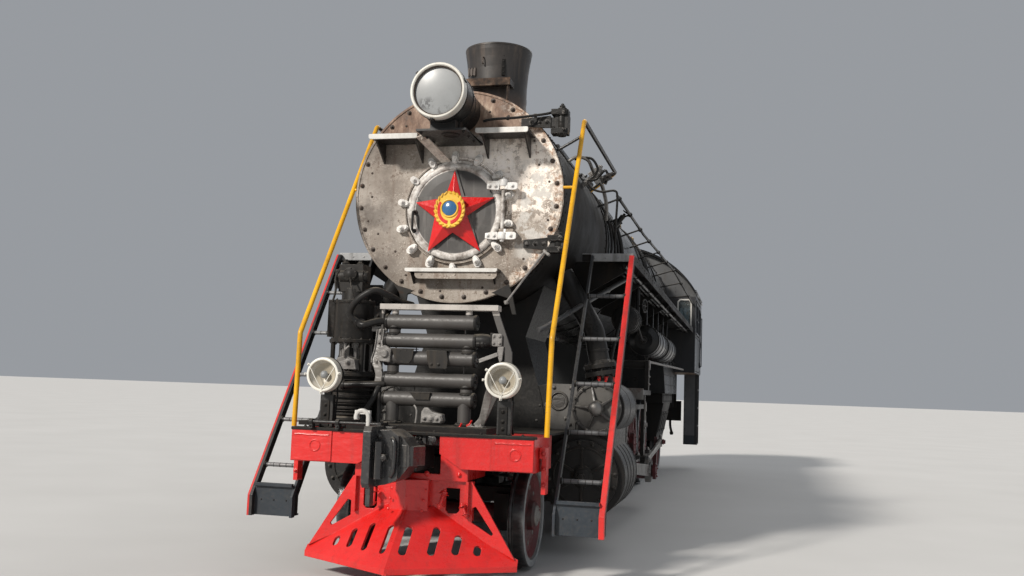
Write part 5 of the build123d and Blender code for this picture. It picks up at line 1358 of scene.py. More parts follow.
s.prism([(-0.452, 1.775), (-0.345, 1.768), (-0.335, 1.880), (-0.395, 1.915), (-0.455, 1.895)], V(0, 0.330, 0), V(1, 0, 0), V(0, 0, 1), V(0, -1, 0), -0.03, 0.030)
s.lathe((-0.395, 0.300, 1.840), FRONT, [(0, 0), (0, 0.034), (0.010, 0.036), (0.020, 0.026), (0.020, 0)], 24)
piece("cooler_cast_arm", s, "cast_silver", bevel=0.003)

# valve under the cooler, between its legs
s = Shape()
s.prism([(-0.050, 1.250), (0.135, 1.250), (0.150, 1.275), (0.140, 1.330), (0.050, 1.350), (0.010, 1.385), (-0.020, 1.385), (-0.045, 1.350)], V(0, 0.372, 0), V(1, 0, 0), V(0, 0, 1), V(0, 1, 0), -0.030, 0.060)
s.prism([(-0.042, 1.256), (0.128, 1.256), (0.140, 1.278), (0.130, 1.318), (-0.036, 1.318)], V(0, 0.372, 0), V(1, 0, 0), V(0, 0, 1), V(0, 1, 0), -0.040, -0.028)
for x in (-0.012, 0.100):
    s.bolt(V(x, 0.332, 1.290), FRONT, 0.014, 0.012)
s.bolt(V(0.044, 0.332, 1.288), FRONT, 0.020, 0.010, stud=False)
s.tube(smooth_path([(-0.115, 0.345, 1.400), (-0.092, 0.338, 1.372), (-0.086, 0.336, 1.320), (-0.094, 0.340, 1.245)], 5), 0.009, 8)
piece("cooler_valve", s, "cast_silver", bevel=0.004)

# fittings at the left-hand end of pipes 2 and 3
s = Shape()
s.lathe((0.405, 0.390, 1.975), (1, 0, 0), [(0, 0), (0, 0.060), (0.060, 0.064), (0.110, 0.060), (0.140, 0.048), (0.150, 0.030), (0.150, 0)], 28)
s.lathe((0.425, 0.352, 1.948), (1, 0, 0), [(0, 0), (0, 0.026), (0.030, 0.026), (0.034, 0.020), (0.085, 0.020), (0.085, 0)], 6)
s.lathe((0.470, 0.352, 1.948), (1, 0, 0), [(0, 0), (0, 0.031), (0.022, 0.031), (0.022, 0)], 6)
s.box(0.545, 0.575, 0.352, 0.44, 1.94, 2.045)
piece("cooler_unions", s, "black_pipe", bevel=0.002)
s = Shape()
s.prism(rrect(0.088, 0.110, 0.016, 3, 0.606, 1.985), V(0, 0.350, 0), V(1, 0, 0), V(0, 0, 1), V(0, 1, 0), 0.0, 0.075)
for x in (0.578, 0.632):
    for z in (1.955, 2.015):
        s.bolt(V(x, 0.350, z), FRONT, 0.010, 0.009)
s.prism([(0.615, 1.930), (0.668, 1.930), (0.655, 1.810), (0.635, 1.790), (0.610, 1.860)], V(0, 0.356, 0), V(1, 0, 0), V(0, 0, 1), V(0, 1, 0), 0.0, 0.016)
s.flat(V(0.445, 0.372, 1.800), V(0.615, 0.350, 1.862), 0.034, 0.008, side=(0, 0, 1))
s.lathe((0.412, 0.376, 1.806), (1, 0, 0), [(0, 0), (0, 0.022), (0.020, 0.022), (0.020, 0)], 6)
brace = smooth_path([(0.612, 0.180, 1.560), (0.575, 0.240, 1.500), (0.545, 0.280, 1.400), (0.515, 0.300, 1.300), (0.462, 0.305, 1.238)], 5)
s.sweep(brace, rrect(0.066, 0.012, 0.003, 2), side=(1, 0, 0))
s.prism([(0.395, 0.26), (0.535, 0.26), (0.535, 0.36), (0.395, 0.36)], V(0, 0, 1.235), V(1, 0, 0), V(0, 1, 0), V(0, 0, 1), 0.0, 0.010)
for x in (0.425, 0.505):
    s.bolt(V(x, 0.285, 1.245), (0, 0, 1), 0.012, 0.012)
piece("cooler_brackets", s, "cast_silver", bevel=0.003)
# the two legs that carry the smokebox's foot
s = Shape()
s.prism([(-0.560, 2.520), (-0.360, 2.462), (-0.420, 2.425), (-0.436, 2.300), (-0.475, 2.300), (-0.505, 2.440)], V(0, 0.905, 0), V(1, 0, 0), V(0, 0, 1), V(0, 1, 0), -0.010, 0.010)
s.prism([(0.395, 2.448), (0.560, 2.530), (0.600, 2.420), (0.640, 2.250), (0.600, 2.250), (0.555, 2.400), (0.470, 2.425)], V(0, 0.905, 0), V(1, 0, 0), V(0, 0, 1), V(0, 1, 0), -0.010, 0.010)
piece("smokebox_foot_legs", s, "plate_dark", bevel=0.003)
s = Shape()
s.rod(V(0.880, 0.930, 2.840), V(0.654, 0.460, 2.330), 0.0095, 10)
s.bolt(V(0.652, 0.450, 2.320), (-0.3, -0.6, -0.7), 0.016, 0.014)
s.rod(V(0.930, 0.900, 2.800), V(0.870, 0.935, 2.850), 0.016, 12)
piece("cooler_stay_rod", s, "cast_silver")
s = Shape()
for (x, y, z) in ((0.398, 0.300, 1.262), (0.322, 0.260, 1.236)):
    s.bolt(V(x, y, z - 0.02), (0.4, -0.5, 0.8), 0.016, 0.018)
    s.rod(V(x, y, z - 0.03), V(x + 0.03, y - 0.02, z + 0.030), 0.009, 8)
piece("deck_red_bolts", s, "red_paint")

# ---------------------------------------------------------------- air pump
PX_, PY_ = -0.805, 0.560
s = Shape()
for z, r, h in ((1.936, 0.211, 0.030), (2.298, 0.190, 0.022), (1.652, 0.205, 0.026), (1.226, 0.205, 0.028)):
    s.lathe((PX_, PY_, z), (0, 0, 1), [(0, 0.176), (0, r), (h, r), (h, 0.176)], 48)
    for k in range(12):
        t = math.pi / 12 + k * math.pi / 6
        s.bolt(V(PX_ + (r - 0.018) * math.cos(t), PY_ + (r - 0.018) * math.sin(t), z + h), (0, 0, 1), 0.010, 0.010)
        if 1.8 < z < 2.0:
            s.bolt(V(PX_ + (r - 0.018) * math.cos(t), PY_ + (r - 0.018) * math.sin(t), z), (0, 0, -1), 0.010, 0.010)
piece("pump_flanges", s, "cast_black", bevel=0.002)
s = Shape()
# head: main valve across, dome on the front, gland nuts, small pipes
s.lathe((PX_ - 0.150, PY_ - 0.06, 2.540), (1, 0, 0), [(0, 0), (0, 0.044), (0.012, 0.052), (0.030, 0.052), (0.034, 0.066), (0.262, 0.066), (0.266, 0.052), (0.284, 0.052), (0.296, 0.044), (0.296, 0)], 28)
for x in (PX_ - 0.118, PX_ + 0.116):
    for k in range(6):
        t = k * math.pi / 3
        s.bolt(V(x, PY_ - 0.06 + 0.056 * math.cos(t), 2.540 + 0.056 * math.sin(t)), (-1 if x < PX_ else 1, 0, 0), 0.008, 0.008, wash=False)
s.lathe((PX_ - 0.002, PY_ - 0.100, 2.555), FRONT, [(0, 0), (0, 0.052), (0.030, 0.052), (0.036, 0.064), (0.050, 0.064), (0.054, 0.046), (0.072, 0.030), (0.078, 0)], 28)
for k in range(6):
    t = k * math.pi / 3 + 0.3
    s.bolt(V(PX_ - 0.002 + 0.054 * math.cos(t), PY_ - 0.150, 2.555 + 0.054 * math.sin(t)), FRONT, 0.007, 0.007, wash=False)
s.lathe((PX_ - 0.085, PY_ - 0.055, 2.640), (0, 0, 1), [(0, 0), (0, 0.036), (0.030, 0.036), (0.036, 0.022), (0.060, 0.020), (0.060, 0)], 6)
s.lathe((PX_ + 0.055, PY_ - 0.055, 2.640), (0, 0, 1), [(0, 0), (0, 0.030), (0.024, 0.030), (0.030, 0.018), (0.050, 0.016), (0.050, 0)], 6)
s.lathe((PX_ - 0.128, PY_ - 0.070, 2.430), (0, 0, 1), [(0, 0), (0, 0.030), (0.040, 0.034), (0.120, 0.030), (0.180, 0.020), (0.180, 0)], 18)
s.tube(smooth_path([(PX_ - 0.128, PY_ - 0.09, 2.60), (PX_ - 0.150, PY_ - 0.12, 2.52), (PX_ - 0.135, PY_ - 0.14, 2.40), (PX_ - 0.155, PY_ - 0.15, 2.30)], 5), 0.0105, 8)
s.tube(smooth_path([(PX_ + 0.010, PY_ - 0.17, 2.52), (PX_ + 0.045, PY_ - 0.215, 2.44), (PX_ + 0.075, PY_ - 0.22, 2.34), (PX_ + 0.085, PY_ - 0.225, 2.26)], 5), 0.0070, 8)
s.box(-0.566, -0.486, 0.440, 0.540, 2.086, 2.272)
s.box(-0.640, -0.560, 0.470, 0.520, 2.120, 2.160)
for z in (2.110, 2.180, 2.250):
    s.bolt(V(-0.526, 0.440, z), FRONT, 0.013, 0.012)
s.obox((PX_ - 0.150, PY_ - 0.06, 2.55), (1, 0, 0), (0, 1, 0), (0, 0, 1), 0.020, 0.030, 0.055)
for z in (2.51, 2.59):
    s.bolt(V(PX_ - 0.150, PY_ - 0.09, z), FRONT, 0.010, 0.009)
piece("pump_head", s, "cast_black", bevel=0.0025)
s = Shape()
# glands, rods and tie studs between the cylinders
for dx, dy in ((-0.055, -0.02), (0.060, -0.02)):
    x, y = PX_ + dx, PY_ + dy - 0.05
    s.rod(V(x, y, 1.67), V(x, y, 1.94), 0.019, 14)
    s.lathe((x, y, 1.890), (0, 0, 1), [(0, 0), (0, 0.036), (0.046, 0.040), (0.046, 0)], 6)
    s.lathe((x, y, 1.678), (0, 0, 1), [(0, 0), (0, 0.040), (0.040, 0.036), (0.040, 0)], 6)
for k in range(6):
    t = math.pi / 6 + k * math.pi / 3
    x, y = PX_ + 0.168 * math.cos(t), PY_ + 0.168 * math.sin(t)
    s.rod(V(x, y, 1.675), V(x, y, 1.940), 0.0125, 10)
    s.bolt(V(x, y, 1.678), (0, 0, 1), 0.019, 0.020)
    s.bolt(V(x, y, 1.936), (0, 0, -1), 0.019, 0.020)
s.prism([(-0.10, 0), (0.13, 0), (0.11, 0.085), (0.03, 0.120), (-0.05, 0.100), (-0.085, 0.05)], V(PX_, PY_ - 0.215, 1.695), V(1, 0, 0), V(0, 0, 1), V(0, 1, 0), 0.0, 0.13)
s.bolt(V(PX_ + 0.05, PY_ - 0.215, 1.755), FRONT, 0.020, 0.018)
s.bolt(V(PX_ - 0.04, PY_ - 0.215, 1.735), FRONT, 0.016, 0.015)
s.tube(smooth_path([(PX_ + 0.02, PY_ - 0.22, 1.80), (PX_ + 0.03, PY_ - 0.245, 1.86), (PX_ + 0.07, PY_ - 0.24, 1.90)], 4), 0.011, 8)
piece("pump_glands", s, "cast_silver", bevel=0.002)
s = Shape()
# hose, delivery pipe across the fins, drop pipe, governor box at the side
hose = smooth_path([(-0.690, 0.345, 2.120), (-0.738, 0.330, 2.155), (-0.748, 0.322, 2.205), (-0.700, 0.300, 2.280), (-0.610, 0.295, 2.355), (-0.515, 0.320, 2.400), (-0.438, 0.400, 2.372), (-0.400, 0.520, 2.345), (-0.392, 0.640, 2.330), (-0.392, 0.960, 2.330)], 6)
s.tube(hose, 0.030, 16)
s.rod(V(-0.672, 0.352, 2.100), V(-0.690, 0.450, 2.090), 0.036, 16)
s.lathe((-0.672, 0.352, 2.104), (-0.8, -0.2, 0.55), [(0, 0), (0, 0.036), (0.030, 0.036), (0.034, 0.030), (0.034, 0)], 6)
piece("pump_steam_hose", s, "black_pipe")
s = Shape()
s.tube(smooth_path([(-0.765, 0.330, 1.556), (-0.650, 0.325, 1.560), (-0.470, 0.330, 1.570), (-0.395, 0.345, 1.578)], 5), 0.030, 14)
s.lathe((-0.800, 0.340, 1.555), (1, 0, 0), [(0, 0), (0, 0.042), (0.030, 0.042), (0.034, 0.034), (0.040, 0)], 20)
s.tube(smooth_path([(-0.440, 0.345, 1.560), (-0.452, 0.310, 1.520), (-0.480, 0.280, 1.430), (-0.520, 0.250, 1.345), (-0.545, 0.245, 1.240)], 6), 0.024, 14)
s.box(PX_ - 0.215, PX_ - 0.150, PY_ - 0.100, PY_ + 0.02, 1.985, 2.325)
s.lathe((PX_ + 0.135, PY_ - 0.150, 2.100), (0.3, -1, 0), [(0, 0), (0, 0.050), (0.020, 0.050), (0.026, 0.036), (0.044, 0.030), (0.044, 0)], 20)
s.tube(smooth_path([(PX_ + 0.15, PY_ - 0.225, 2.10), (PX_ + 0.20, PY_ - 0.235, 2.09), (PX_ + 0.30, PY_ - 0.19, 2.125), (PX_ + 0.37, PY_ - 0.16, 2.130)], 5), 0.034, 14)
piece("pump_pipes", s, "black_pipe", bevel=0.002)
s = Shape()
for i in range(13):
    z = 1.262 + i * 0.0305
    s.lathe((PX_, PY_, z), (0, 0, 1), [(0, 0.165), (0.001, 0.2045), (0.006, 0.2045), (0.009, 0.165)], 44)
piece("pump_fins", s, "plate_dark")

# ---------------------------------------------------------------- cylinders and steam pipes
YC1 = 1.740
dress("cylinders", banded("cylinder_paint", [
    (None, (0.015, 0.0145, 0.014)),
    # grey saddle sides start at |x| 0.80; inward of that the face is left black as painted shadow
    (m_all(m_ax(0.80, 1.072), m_y(1.70, 2.75), m_z(1.18, 1.70)), (0.13, 0.126, 0.120)),
    (m_all(m_y(1.60, 1.765), m_z(1.10, 1.80)), (0.090, 0.086, 0.080)),
], rough=(0.34, 0.56), bumpy=1.0, spec=0.3))
for side, sg in (("left", 1), ("right", -1)):
    s = Shape()
    X, Z = 1.150 * sg, 0.750
    s.ring_of("bolt", (X, YC1, Z), FRONT, 0.326, 16, 0.1, r=0.0165, h=0.018)
    s.lathe((X, YC1, Z), FRONT, [(-0.002, 0.285), (0.004, 0.290), (0.010, 0.286), (0.010, 0.272), (-0.002, 0.268)], 56)
    s.lathe((X, YC1, Z), FRONT, [(0, 0), (-0.001, 0.112), (0.012, 0.108), (0.024, 0.082), (0.050, 0.070), (0.058, 0.058), (0.060, 0)], 36)
    for k in range(6):
        t = math.pi / 6 + k * math.pi / 3
        u, w = V(math.cos(t), 0, math.sin(t)), V(-math.sin(t), 0, math.cos(t))
        s.prism([(0.070, -0.014), (0.276, -0.010), (0.276, 0.010), (0.070, 0.014)], V(X, YC1, Z), u, w, V(0, -1, 0), -0.002, 0.020)
    s.bolt(V(X, YC1 - 0.060, Z), FRONT, 0.030, 0.024, stud=False)
    # lagging bands round the barrel and relief valve
    for y in (1.830, 2.100, 2.340, 2.580, 2.850):
        s.lathe((X, y, Z), (0, 1, 0), [(-0.018, 0.404), (-0.018, 0.4145), (0.018, 0.4145), (0.018, 0.404)], 64)
    for y in (1.85, 2.83):
        s.lathe((X, y, Z - 0.395), (0, 0, -1), [(0, 0), (0, 0.030), (0.040, 0.030), (0.044, 0.020), (0.080, 0.018), (0.080, 0)], 14)
    piece("cylinder_trim_" + side, s, "cast_black", bevel=0.0025)
    s = Shape()
    X, Z = 1.280 * sg, 1.415
    yf = 1.730
    s.lathe((X, yf, Z), FRONT, [(-0.004, 0.212), (-0.004, 0.2405), (0.012, 0.2405), (0.016, 0.236), (0.016, 0.214)], 56)
    s.ring_of("bolt", (X, yf - 0.016, Z), FRONT, 0.2265, 12, 0.13, r=0.0135, h=0.016)
    for k in range(5):
        t = math.radians(90 + 72 * k + (14 if sg > 0 else -14))
        u, w = V(math.cos(t), 0, math.sin(t)), V(-math.sin(t), 0, math.cos(t))
        s.add([V(X, yf, Z) + u * a + w * b - V(0, c, 0) for a, b, c in
               ((0.055, -0.016, 0.0), (0.055, 0.016, 0.0), (0.215, -0.013, 0.0), (0.215, 0.013, 0.0), (0.055, -0.011, 0.070), (0.055, 0.011, 0.070), (0.205, -0.009, 0.018), (0.205, 0.009, 0.018))],
              [(0, 2, 3, 1), (4, 5, 7, 6), (0, 1, 5, 4), (2, 6, 7, 3), (0, 4, 6, 2), (1, 3, 7, 5)])
    s.lathe((X, yf, Z), FRONT, [(0, 0), (0, 0.082), (0.050, 0.076), (0.070, 0.060), (0.075, 0)], 32)
    piece("chest_cover_" + side, s, "cast_dark", bevel=0.003)
    s = Shape()
    s.lathe((X, yf - 0.070, Z), FRONT, [(0, 0), (0, 0.050), (0.010, 0.060), (0.030, 0.068), (0.052, 0.064), (0.072, 0.048), (0.084, 0.026), (0.088, 0)], 32)
    piece("chest_ball_" + side, s, "worn_steel")
    s = Shape()
    for y in (1.84, 2.34, 2.84):
        s.lathe((X, y, Z), (0, 1, 0), [(-0.016, 0.256), (-0.016, 0.266), (0.016, 0.266), (0.016, 0.256)], 56)
    # round inspection rings on the sloping shoulder
    n = V(0.79 * sg, 0, -0.62).normalized()
    for (x, y, z) in ((0.760, 1.858, 1.430), (0.960, 1.858, 1.300)):
        s.bolt(V(x * sg, y, z), FRONT, 0.018, 0.016)
    for (x, z) in ((0.83, 1.60), (1.00, 1.60), (0.69, 1.42), (1.00, 1.24), (0.66, 1.27)):
        s.bolt(V(x * sg, 1.860, z), FRONT, 0.0145, 0.014)
    s.lathe((0.88 * sg, 1.862, 1.470), FRONT, [(-0.002, 0.070), (0.010, 0.074), (0.018, 0.084), (0.010, 0.096), (-0.002, 0.100)], 36)
    s.lathe((0.88 * sg, 1.862, 1.470), FRONT, [(0, 0), (0, 0.066), (0.006, 0.062), (0.008, 0)], 28)
    piece("chest_bands_" + side, s, "cast_dark", bevel=0.002)

    # steam pipe joint: two collars with eight bolts, loose red nuts below, lagging bands above
    s = Shape()
    A, Bv = V(1.285 * sg, 1.990, 1.735), V(1.263 * sg, 1.990, 1.849)
    ax = (Bv - A).normalized()
    u, w, _ = frame_of(ax)
    for k in range(8):
        t = k * math.pi / 4 + 0.2
        d = (u * math.cos(t) + w * math.sin(t)) * 0.140
        s.rod(A + d - ax * 0.010, Bv + d + ax * 0.012, 0.0095, 10)
        s.bolt(A + d - ax * 0.002, -ax, 0.018, 0.018)
        s.bolt(Bv + d + ax * 0.002, ax, 0.018, 0.018)
    s.lathe(Bv, ax, [(0, 0.103), (0, 0.132), (0.018, 0.122), (0.040, 0.1055)], 40)
    s.lathe(A - ax * 0.002, -ax, [(0, 0.103), (0, 0.130), (0.014, 0.120), (0.030, 0.1055)], 40)
    for f in (0.30, 0.62):
        c = V((1.263 - 0.075 * f) * sg, 1.990, 1.88 + 0.34 * f)
        s.lathe(c, ax, [(-0.012, 0.100), (-0.012, 0.1085), (0.012, 0.1085), (0.012, 0.100)], 40)
    piece("steam_pipe_joint_" + side, s, "black_pipe", bevel=0.0015)
    s = Shape()
    for k, h in ((4.6, 0.07), (5.2, 0.05), (0.3, 0.06)):
        d = V(math.cos(k) * 0.11, math.sin(k) * 0.11, 0)
        s.bolt(V(1.289 * sg, 1.990, 1.725) + d, (0, 0, -1), 0.020, 0.034)
        s.rod(V(1.289 * sg, 1.990, 1.725) + d, V(1.289 * sg, 1.990, 1.725 - h) + d, 0.012, 10)
    piece("steam_pipe_red_nuts_" + side, s, "red_paint")
    # drain pipe running back from the pump deck under the running board
    s = Shape()
    s.tube(smooth_path([(0.800 * sg, 1.150, 2.130), (0.860 * sg, 1.280, 2.180), (1.120 * sg, 2.050, 2.490), (1.380 * sg, 2.960, 2.820), (1.395 * sg, 3.120, 2.850)], 6), 0.025, 14)
    for f in ((0.990, 1.660, 2.335), (1.250, 2.505, 2.655)):
        p = V(f[0] * sg, f[1], f[2])
        s.lathe(p - V(0.01 * sg, 0.03, 0.012), (0.28 * sg, 0.87, 0.33), [(0, 0.022), (0, 0.033), (0.050, 0.033), (0.050, 0.022)], 6)
    piece("diagonal_pipe_" + side, s, "pipe_grey")

# stop-cock block high on the smokebox's left-hand side
s = Shape()
C = V(1.080, 2.573, 3.900)
s.obox(C, (0, 1, 0), (0.78, 0, 0.62), (-0.62, 0, 0.78), 0.085, 0.052, 0.060)
s.lathe(C + V(0, -0.080, 0), (0, -1, 0), [(0, 0), (0, 0.044), (0.030, 0.044), (0.036, 0.032), (0.070, 0.030), (0.070, 0)], 20)
s.lathe(C + V(0.02, 0.030, 0.030), (0.30, 0, 0.95), [(0, 0), (0, 0.036), (0.060, 0.034), (0.066, 0.022), (0.100, 0.020), (0.100, 0)], 18)
s.lathe(C + V(0.02, -0.050, 0.030), (0.30, 0, 0.95), [(0, 0), (0, 0.030), (0.050, 0.028), (0.054, 0.018), (0.080, 0.016), (0.080, 0)], 18)
s.lathe(C + V(0, 0.080, 0), (0, 1, 0), [(0, 0), (0, 0.040), (0.030, 0.040), (0.036, 0.028), (0.060, 0.026), (0.060, 0)], 20)
s.rod(C, V(0.800, 2.573, 3.720), 0.030, 14)
s.tube(smooth_path([C + V(0, 0.10, 0), C + V(0.02, 0.32, -0.03), C + V(0.04, 0.56, -0.20), C + V(0.02, 0.70, -0.36)], 6), 0.022, 12)
s.tube(smooth_path([C + V(0, -0.12, 0), C + V(0.0, -0.26, 0.02), C + V(-0.04, -0.36, 0.10), C + V(-0.16, -0.40, 0.12), C + V(-0.30, -0.40, 0.02)], 6), 0.018, 12)
piece("smokebox_stop_cock", s, "cast_silver", bevel=0.002)


# ---------------------------------------------------------------- smokebox sides, boiler and firebox
def radial(s, y, R, count, r, a0=0.0, lo=-400, hi=400, h=None):
    """Rivets round the boiler at y, only between the two angles (degrees, 90 is the top)."""
    for i in range(count):
        a = a0 + 360.0 * i / count
        if not lo <= (a if a <= 270 else a - 360) <= hi:
            continue
        t = math.radians(a)
        n = V(math.cos(t), 0, math.sin(t))
        s.rivet(V(0, y, 3.380) + n * R, n, r, h or r * 0.5)


def hoop(s, y, R, w, t, seg=96):
    s.lathe((0, y, 3.380), (0, 1, 0), [(-w / 2, R - 0.004), (-w / 2, R + t), (w / 2, R + t), (w / 2, R - 0.004)], seg)


s = Shape()
for y in (1.095, 1.170, 3.780, 3.850):
    radial(s, y, 1.025, 72, 0.012, 2.5 if y in (1.17, 3.85) else 0.0)
hoop(s, 3.880, 1.025, 0.045, 0.012)
hoop(s, 1.045, 1.025, 0.020, 0.006)
for a in (38, 142):
    t = math.radians(a)
    n = V(math.cos(t), 0, math.sin(t))
    w = V(-n.z, 0, n.x)
    s.obox(V(0, 2.45, 3.380) + n * 1.027, (0, 1, 0), w, n, 1.20, 0.060, 0.006)
    for k in (-1, 1):
        s.rivets(V(0, 1.35, 3.380) + n * 1.033 + w * 0.036 * k, V(0, 3.55, 3.380) + n * 1.033 + w * 0.036 * k, n, 0.095, 0.011)
piece("smokebox_seams", s, "smokebox_black", bevel=0.0)

s = Shape()
for y in (4.300, 4.950, 6.400, 7.000, 8.300, 9.800):
    R = 1.000 if y < 5.6 else (1.000 + 0.050 * min(1.0, (y - 5.6) / 2.0))
    if y in (6.4, 7.0):
        continue
    hoop(s, y, R, 0.062, 0.006)
for y in (5.560, 5.640, 7.560, 7.640, 9.160, 9.240):
    R = (1.000 if y < 6 else 1.050) + 0.012
    for a in (-8, 188):
        t = math.radians(a)
        s.bolt(V(0, y, 3.380) + V(math.cos(t), 0, math.sin(t)) * R, (math.cos(t), 0, math.sin(t)), 0.016, 0.016)
for y in (5.6, 7.6, 9.2):
    R = (1.000 if y < 6 else 1.050) + 0.012
    radial(s, y - 0.022, R, 60, 0.0095, 0)
    radial(s, y + 0.022, R, 60, 0.0095, 3)
for sg in (-1, 1):
    for y0, y1, R in ((3.92, 5.54, 1.0), (7.66, 9.14, 1.05), (9.26, 10.28, 1.05)):
        t = math.radians(90 - sg * 62)
        n = V(math.cos(t), 0, math.sin(t))
        w = V(-n.z, 0, n.x)
        s.obox(V(0, (y0 + y1) / 2, 3.380) + n * (R + 0.0005), (0, 1, 0), w, n, (y1 - y0) / 2, 0.030, 0.004)
        s.rivets(V(0, y0 + 0.05, 3.380) + n * (R + 0.004), V(0, y1 - 0.05, 3.380) + n * (R + 0.004), n, 0.14, 0.009)
piece("boiler_bands", s, "black_body", bevel=0.0)

s = Shape()
for y in (10.340, 10.420, 11.250, 12.050, 12.820):
    radial(s, y, 1.065, 64, 0.0115, 0, 12, 168)
hoop(s, 10.320, 1.065, 0.050, 0.008)
hoop(s, 12.860, 1.065, 0.030, 0.008)
for sg in (-1, 1):
    for i in range(7):
        y = 10.60 + i * 0.36
        for a in (42, 62):
            t = math.radians(a)
            n = V(sg * math.cos(t), 0, math.sin(t))
            s.lathe(V(0, y + (0.18 if a == 62 else 0), 3.380) + n * 1.060, n, [(0, 0), (0, 0.048), (0.014, 0.044), (0.016, 0.026), (0.030, 0.024), (0.036, 0.020), (0.036, 0)], 18)
    # stays and mud doors down the firebox sides
    for j, (z, x) in enumerate(((2.30, 1.1879), (2.12, 1.2012), (1.94, 1.2146), (1.76, 1.2279))):
        for i in range(13):
            s.rivet(V(sg * x, 10.42 + i * 0.198, z), (sg, 0, 0.07), 0.010)
    for y in (10.75, 11.60, 12.45):
        s.lathe((sg * 1.196, y, 2.20), (sg, 0, 0.07), [(-0.004, 0), (-0.004, 0.085), (0.012, 0.080), (0.016, 0.055), (0.030, 0.050), (0.034, 0.030), (0.034, 0)], 24)
        s.bolt(V(sg * 1.229, y, 2.203), (sg, 0, 0.07), 0.020, 0.022)
        s.obox((sg * 1.222, y, 2.203), (0, 1, 0), (0, 0, 1), (sg, 0, 0), 0.095, 0.014, 0.008)
piece("firebox_studs_plugs", s, "black_body", bevel=0.0)

# ---------------------------------------------------------------- things on top
s = Shape()
for r0, z in ((0.452, 4.400), (0.435, 4.640)):
    s.lathe((0, 6.4, z), (0, 0, 1), [(-0.014, r0 - 0.02), (-0.014, r0 + 0.006), (0.0, r0 + 0.010), (0.014, r0 + 0.004), (0.014, r0 - 0.02)], 64)
for k in range(20):
    t = 2 * math.pi * k / 20
    s.bolt(V(0.372 * math.cos(t), 6.4 + 0.372 * math.sin(t), 4.725), (0.55 * math.cos(t), 0.55 * math.sin(t), 0.8), 0.017, 0.018)
s.lathe((0, 6.4, 4.808), (0, 0, 1), [(0, 0), (0, 0.10), (0.014, 0.10), (0.020, 0.05), (0.030, 0.045), (0.036, 0.03), (0.036, 0)], 24)
s.tube(rounded([(-0.07, 6.4, 4.81), (-0.07, 6.4, 4.875), (0.07, 6.4, 4.875), (0.07, 6.4, 4.81)], 0.02), 0.010, 8)
for y in (4.65, 8.30):
    s.lathe((0, y, 4.758), (0, 0, 1), [(0, 0), (0, 0.222), (0.012, 0.222), (0.016, 0.18), (0.026, 0.10), (0.030, 0.0)], 40)
    s.tube(rounded([(-0.06, y, 4.775), (-0.06, y, 4.830), (0.06, y, 4.830), (0.06, y, 4.775)], 0.018), 0.009, 8)
    s.box(0.205, 0.262, y - 0.04, y + 0.04, 4.700, 4.765)
    for sg in (-1, 1):
        s.rivets(V(sg * 0.423, y - 0.44, 4.50), V(sg * 0.423, y + 0.44, 4.50), (sg, 0, 0), 0.08, 0.0105)
        s.rivets(V(sg * 0.423, y - 0.44, 4.28), V(sg * 0.423, y + 0.44, 4.28), (sg, 0, 0), 0.08, 0.0105)
        s.rivets(V(-0.38, y + sg * 0.483, 4.50), V(0.38, y + sg * 0.483, 4.50), (0, sg, 0), 0.08, 0.0105)
        s.rivets(V(sg * 0.333, y - 0.35, 4.66), V(sg * 0.333, y + 0.35, 4.66), (sg, 0, 0), 0.08, 0.009)
        s.lathe((sg * 0.421, y, 4.24), (sg, 0, 0), [(0, 0), (0, 0.055), (0.02, 0.055), (0.03, 0.04), (0.05, 0.04), (0.05, 0)], 20)
for x in (-0.2, 0.2):
    for k in range(8):
        t = math.pi / 8 + k * math.pi / 4
        s.bolt(V(x + 0.117 * math.cos(t), 11.0 + 0.117 * math.sin(t), 4.462), (0, 0, 1), 0.012, 0.014)
    s.lathe((x, 11.0, 4.45), (0, 0, 1), [(0, 0.11), (0, 0.134), (0.012, 0.134), (0.012, 0.11)], 28)
    for z in (4.62, 4.66, 4.70, 4.74):
        s.lathe((x, 11.0, z), (0, 0, 1), [(0, 0.075), (0.004, 0.0885), (0.012, 0.0885), (0.016, 0.075)], 24)
    s.lathe((x, 11.0, 4.822), (0, 0, 1), [(0, 0), (0, 0.034), (0.016, 0.034), (0.016, 0.018), (0.060, 0.016), (0.060, 0)], 16)
    s.flat(V(x, 11.0, 4.868), V(x * 0.4, 11.28, 4.868), 0.028, 0.010, side=(1, 0, 0))
piece("dome_fittings", s, "black_body", bevel=0.0)
s = Shape()
# whistle and turret valves
s.lathe((0.42, 11.55, 4.300), (0, 0, 1), [(0, 0), (0, 0.045), (0.10, 0.035), (0.12, 0.050), (0.14, 0.050), (0.15, 0.020), (0.18, 0.020), (0.185, 0.046), (0.33, 0.046), (0.345, 0.030), (0.36, 0.012), (0.375, 0.0)], 24)
for x in (-0.28, -0.14, 0.0, 0.14, 0.28):
    s.lathe((x, 12.45, 4.680), (0, 0, 1), [(0, 0), (0, 0.030), (0.040, 0.026), (0.046, 0.012), (0.085, 0.010), (0.085, 0)], 14)
    s.lathe((x, 12.45, 4.765), (0, 0, 1), [(-0.006, 0.034), (-0.006, 0.044), (0.006, 0.044), (0.006, 0.034)], 20)
    s.obox((x, 12.45, 4.765), (1, 0, 0), (0, 1, 0), (0, 0, 1), 0.038, 0.005, 0.004)
    s.obox((x, 12.45, 4.765), (1, 0, 0), (0, 1, 0), (0, 0, 1), 0.005, 0.038, 0.004)
    s.tube(smooth_path([(x, 12.52, 4.60), (x, 12.66, 4.62), (x * 1.1, 12.78, 4.58), (x * 1.15, 12.885, 4.54)], 5), 0.014, 10)
for sg in (-1, 1):
    s.lathe((sg * 0.330, 12.45, 4.60), (sg, 0, 0), [(0, 0), (0, 0.104), (0.016, 0.104), (0.022, 0.06), (0.036, 0.05), (0.036, 0)], 24)
piece("turret_valves", s, "brass_fittings")
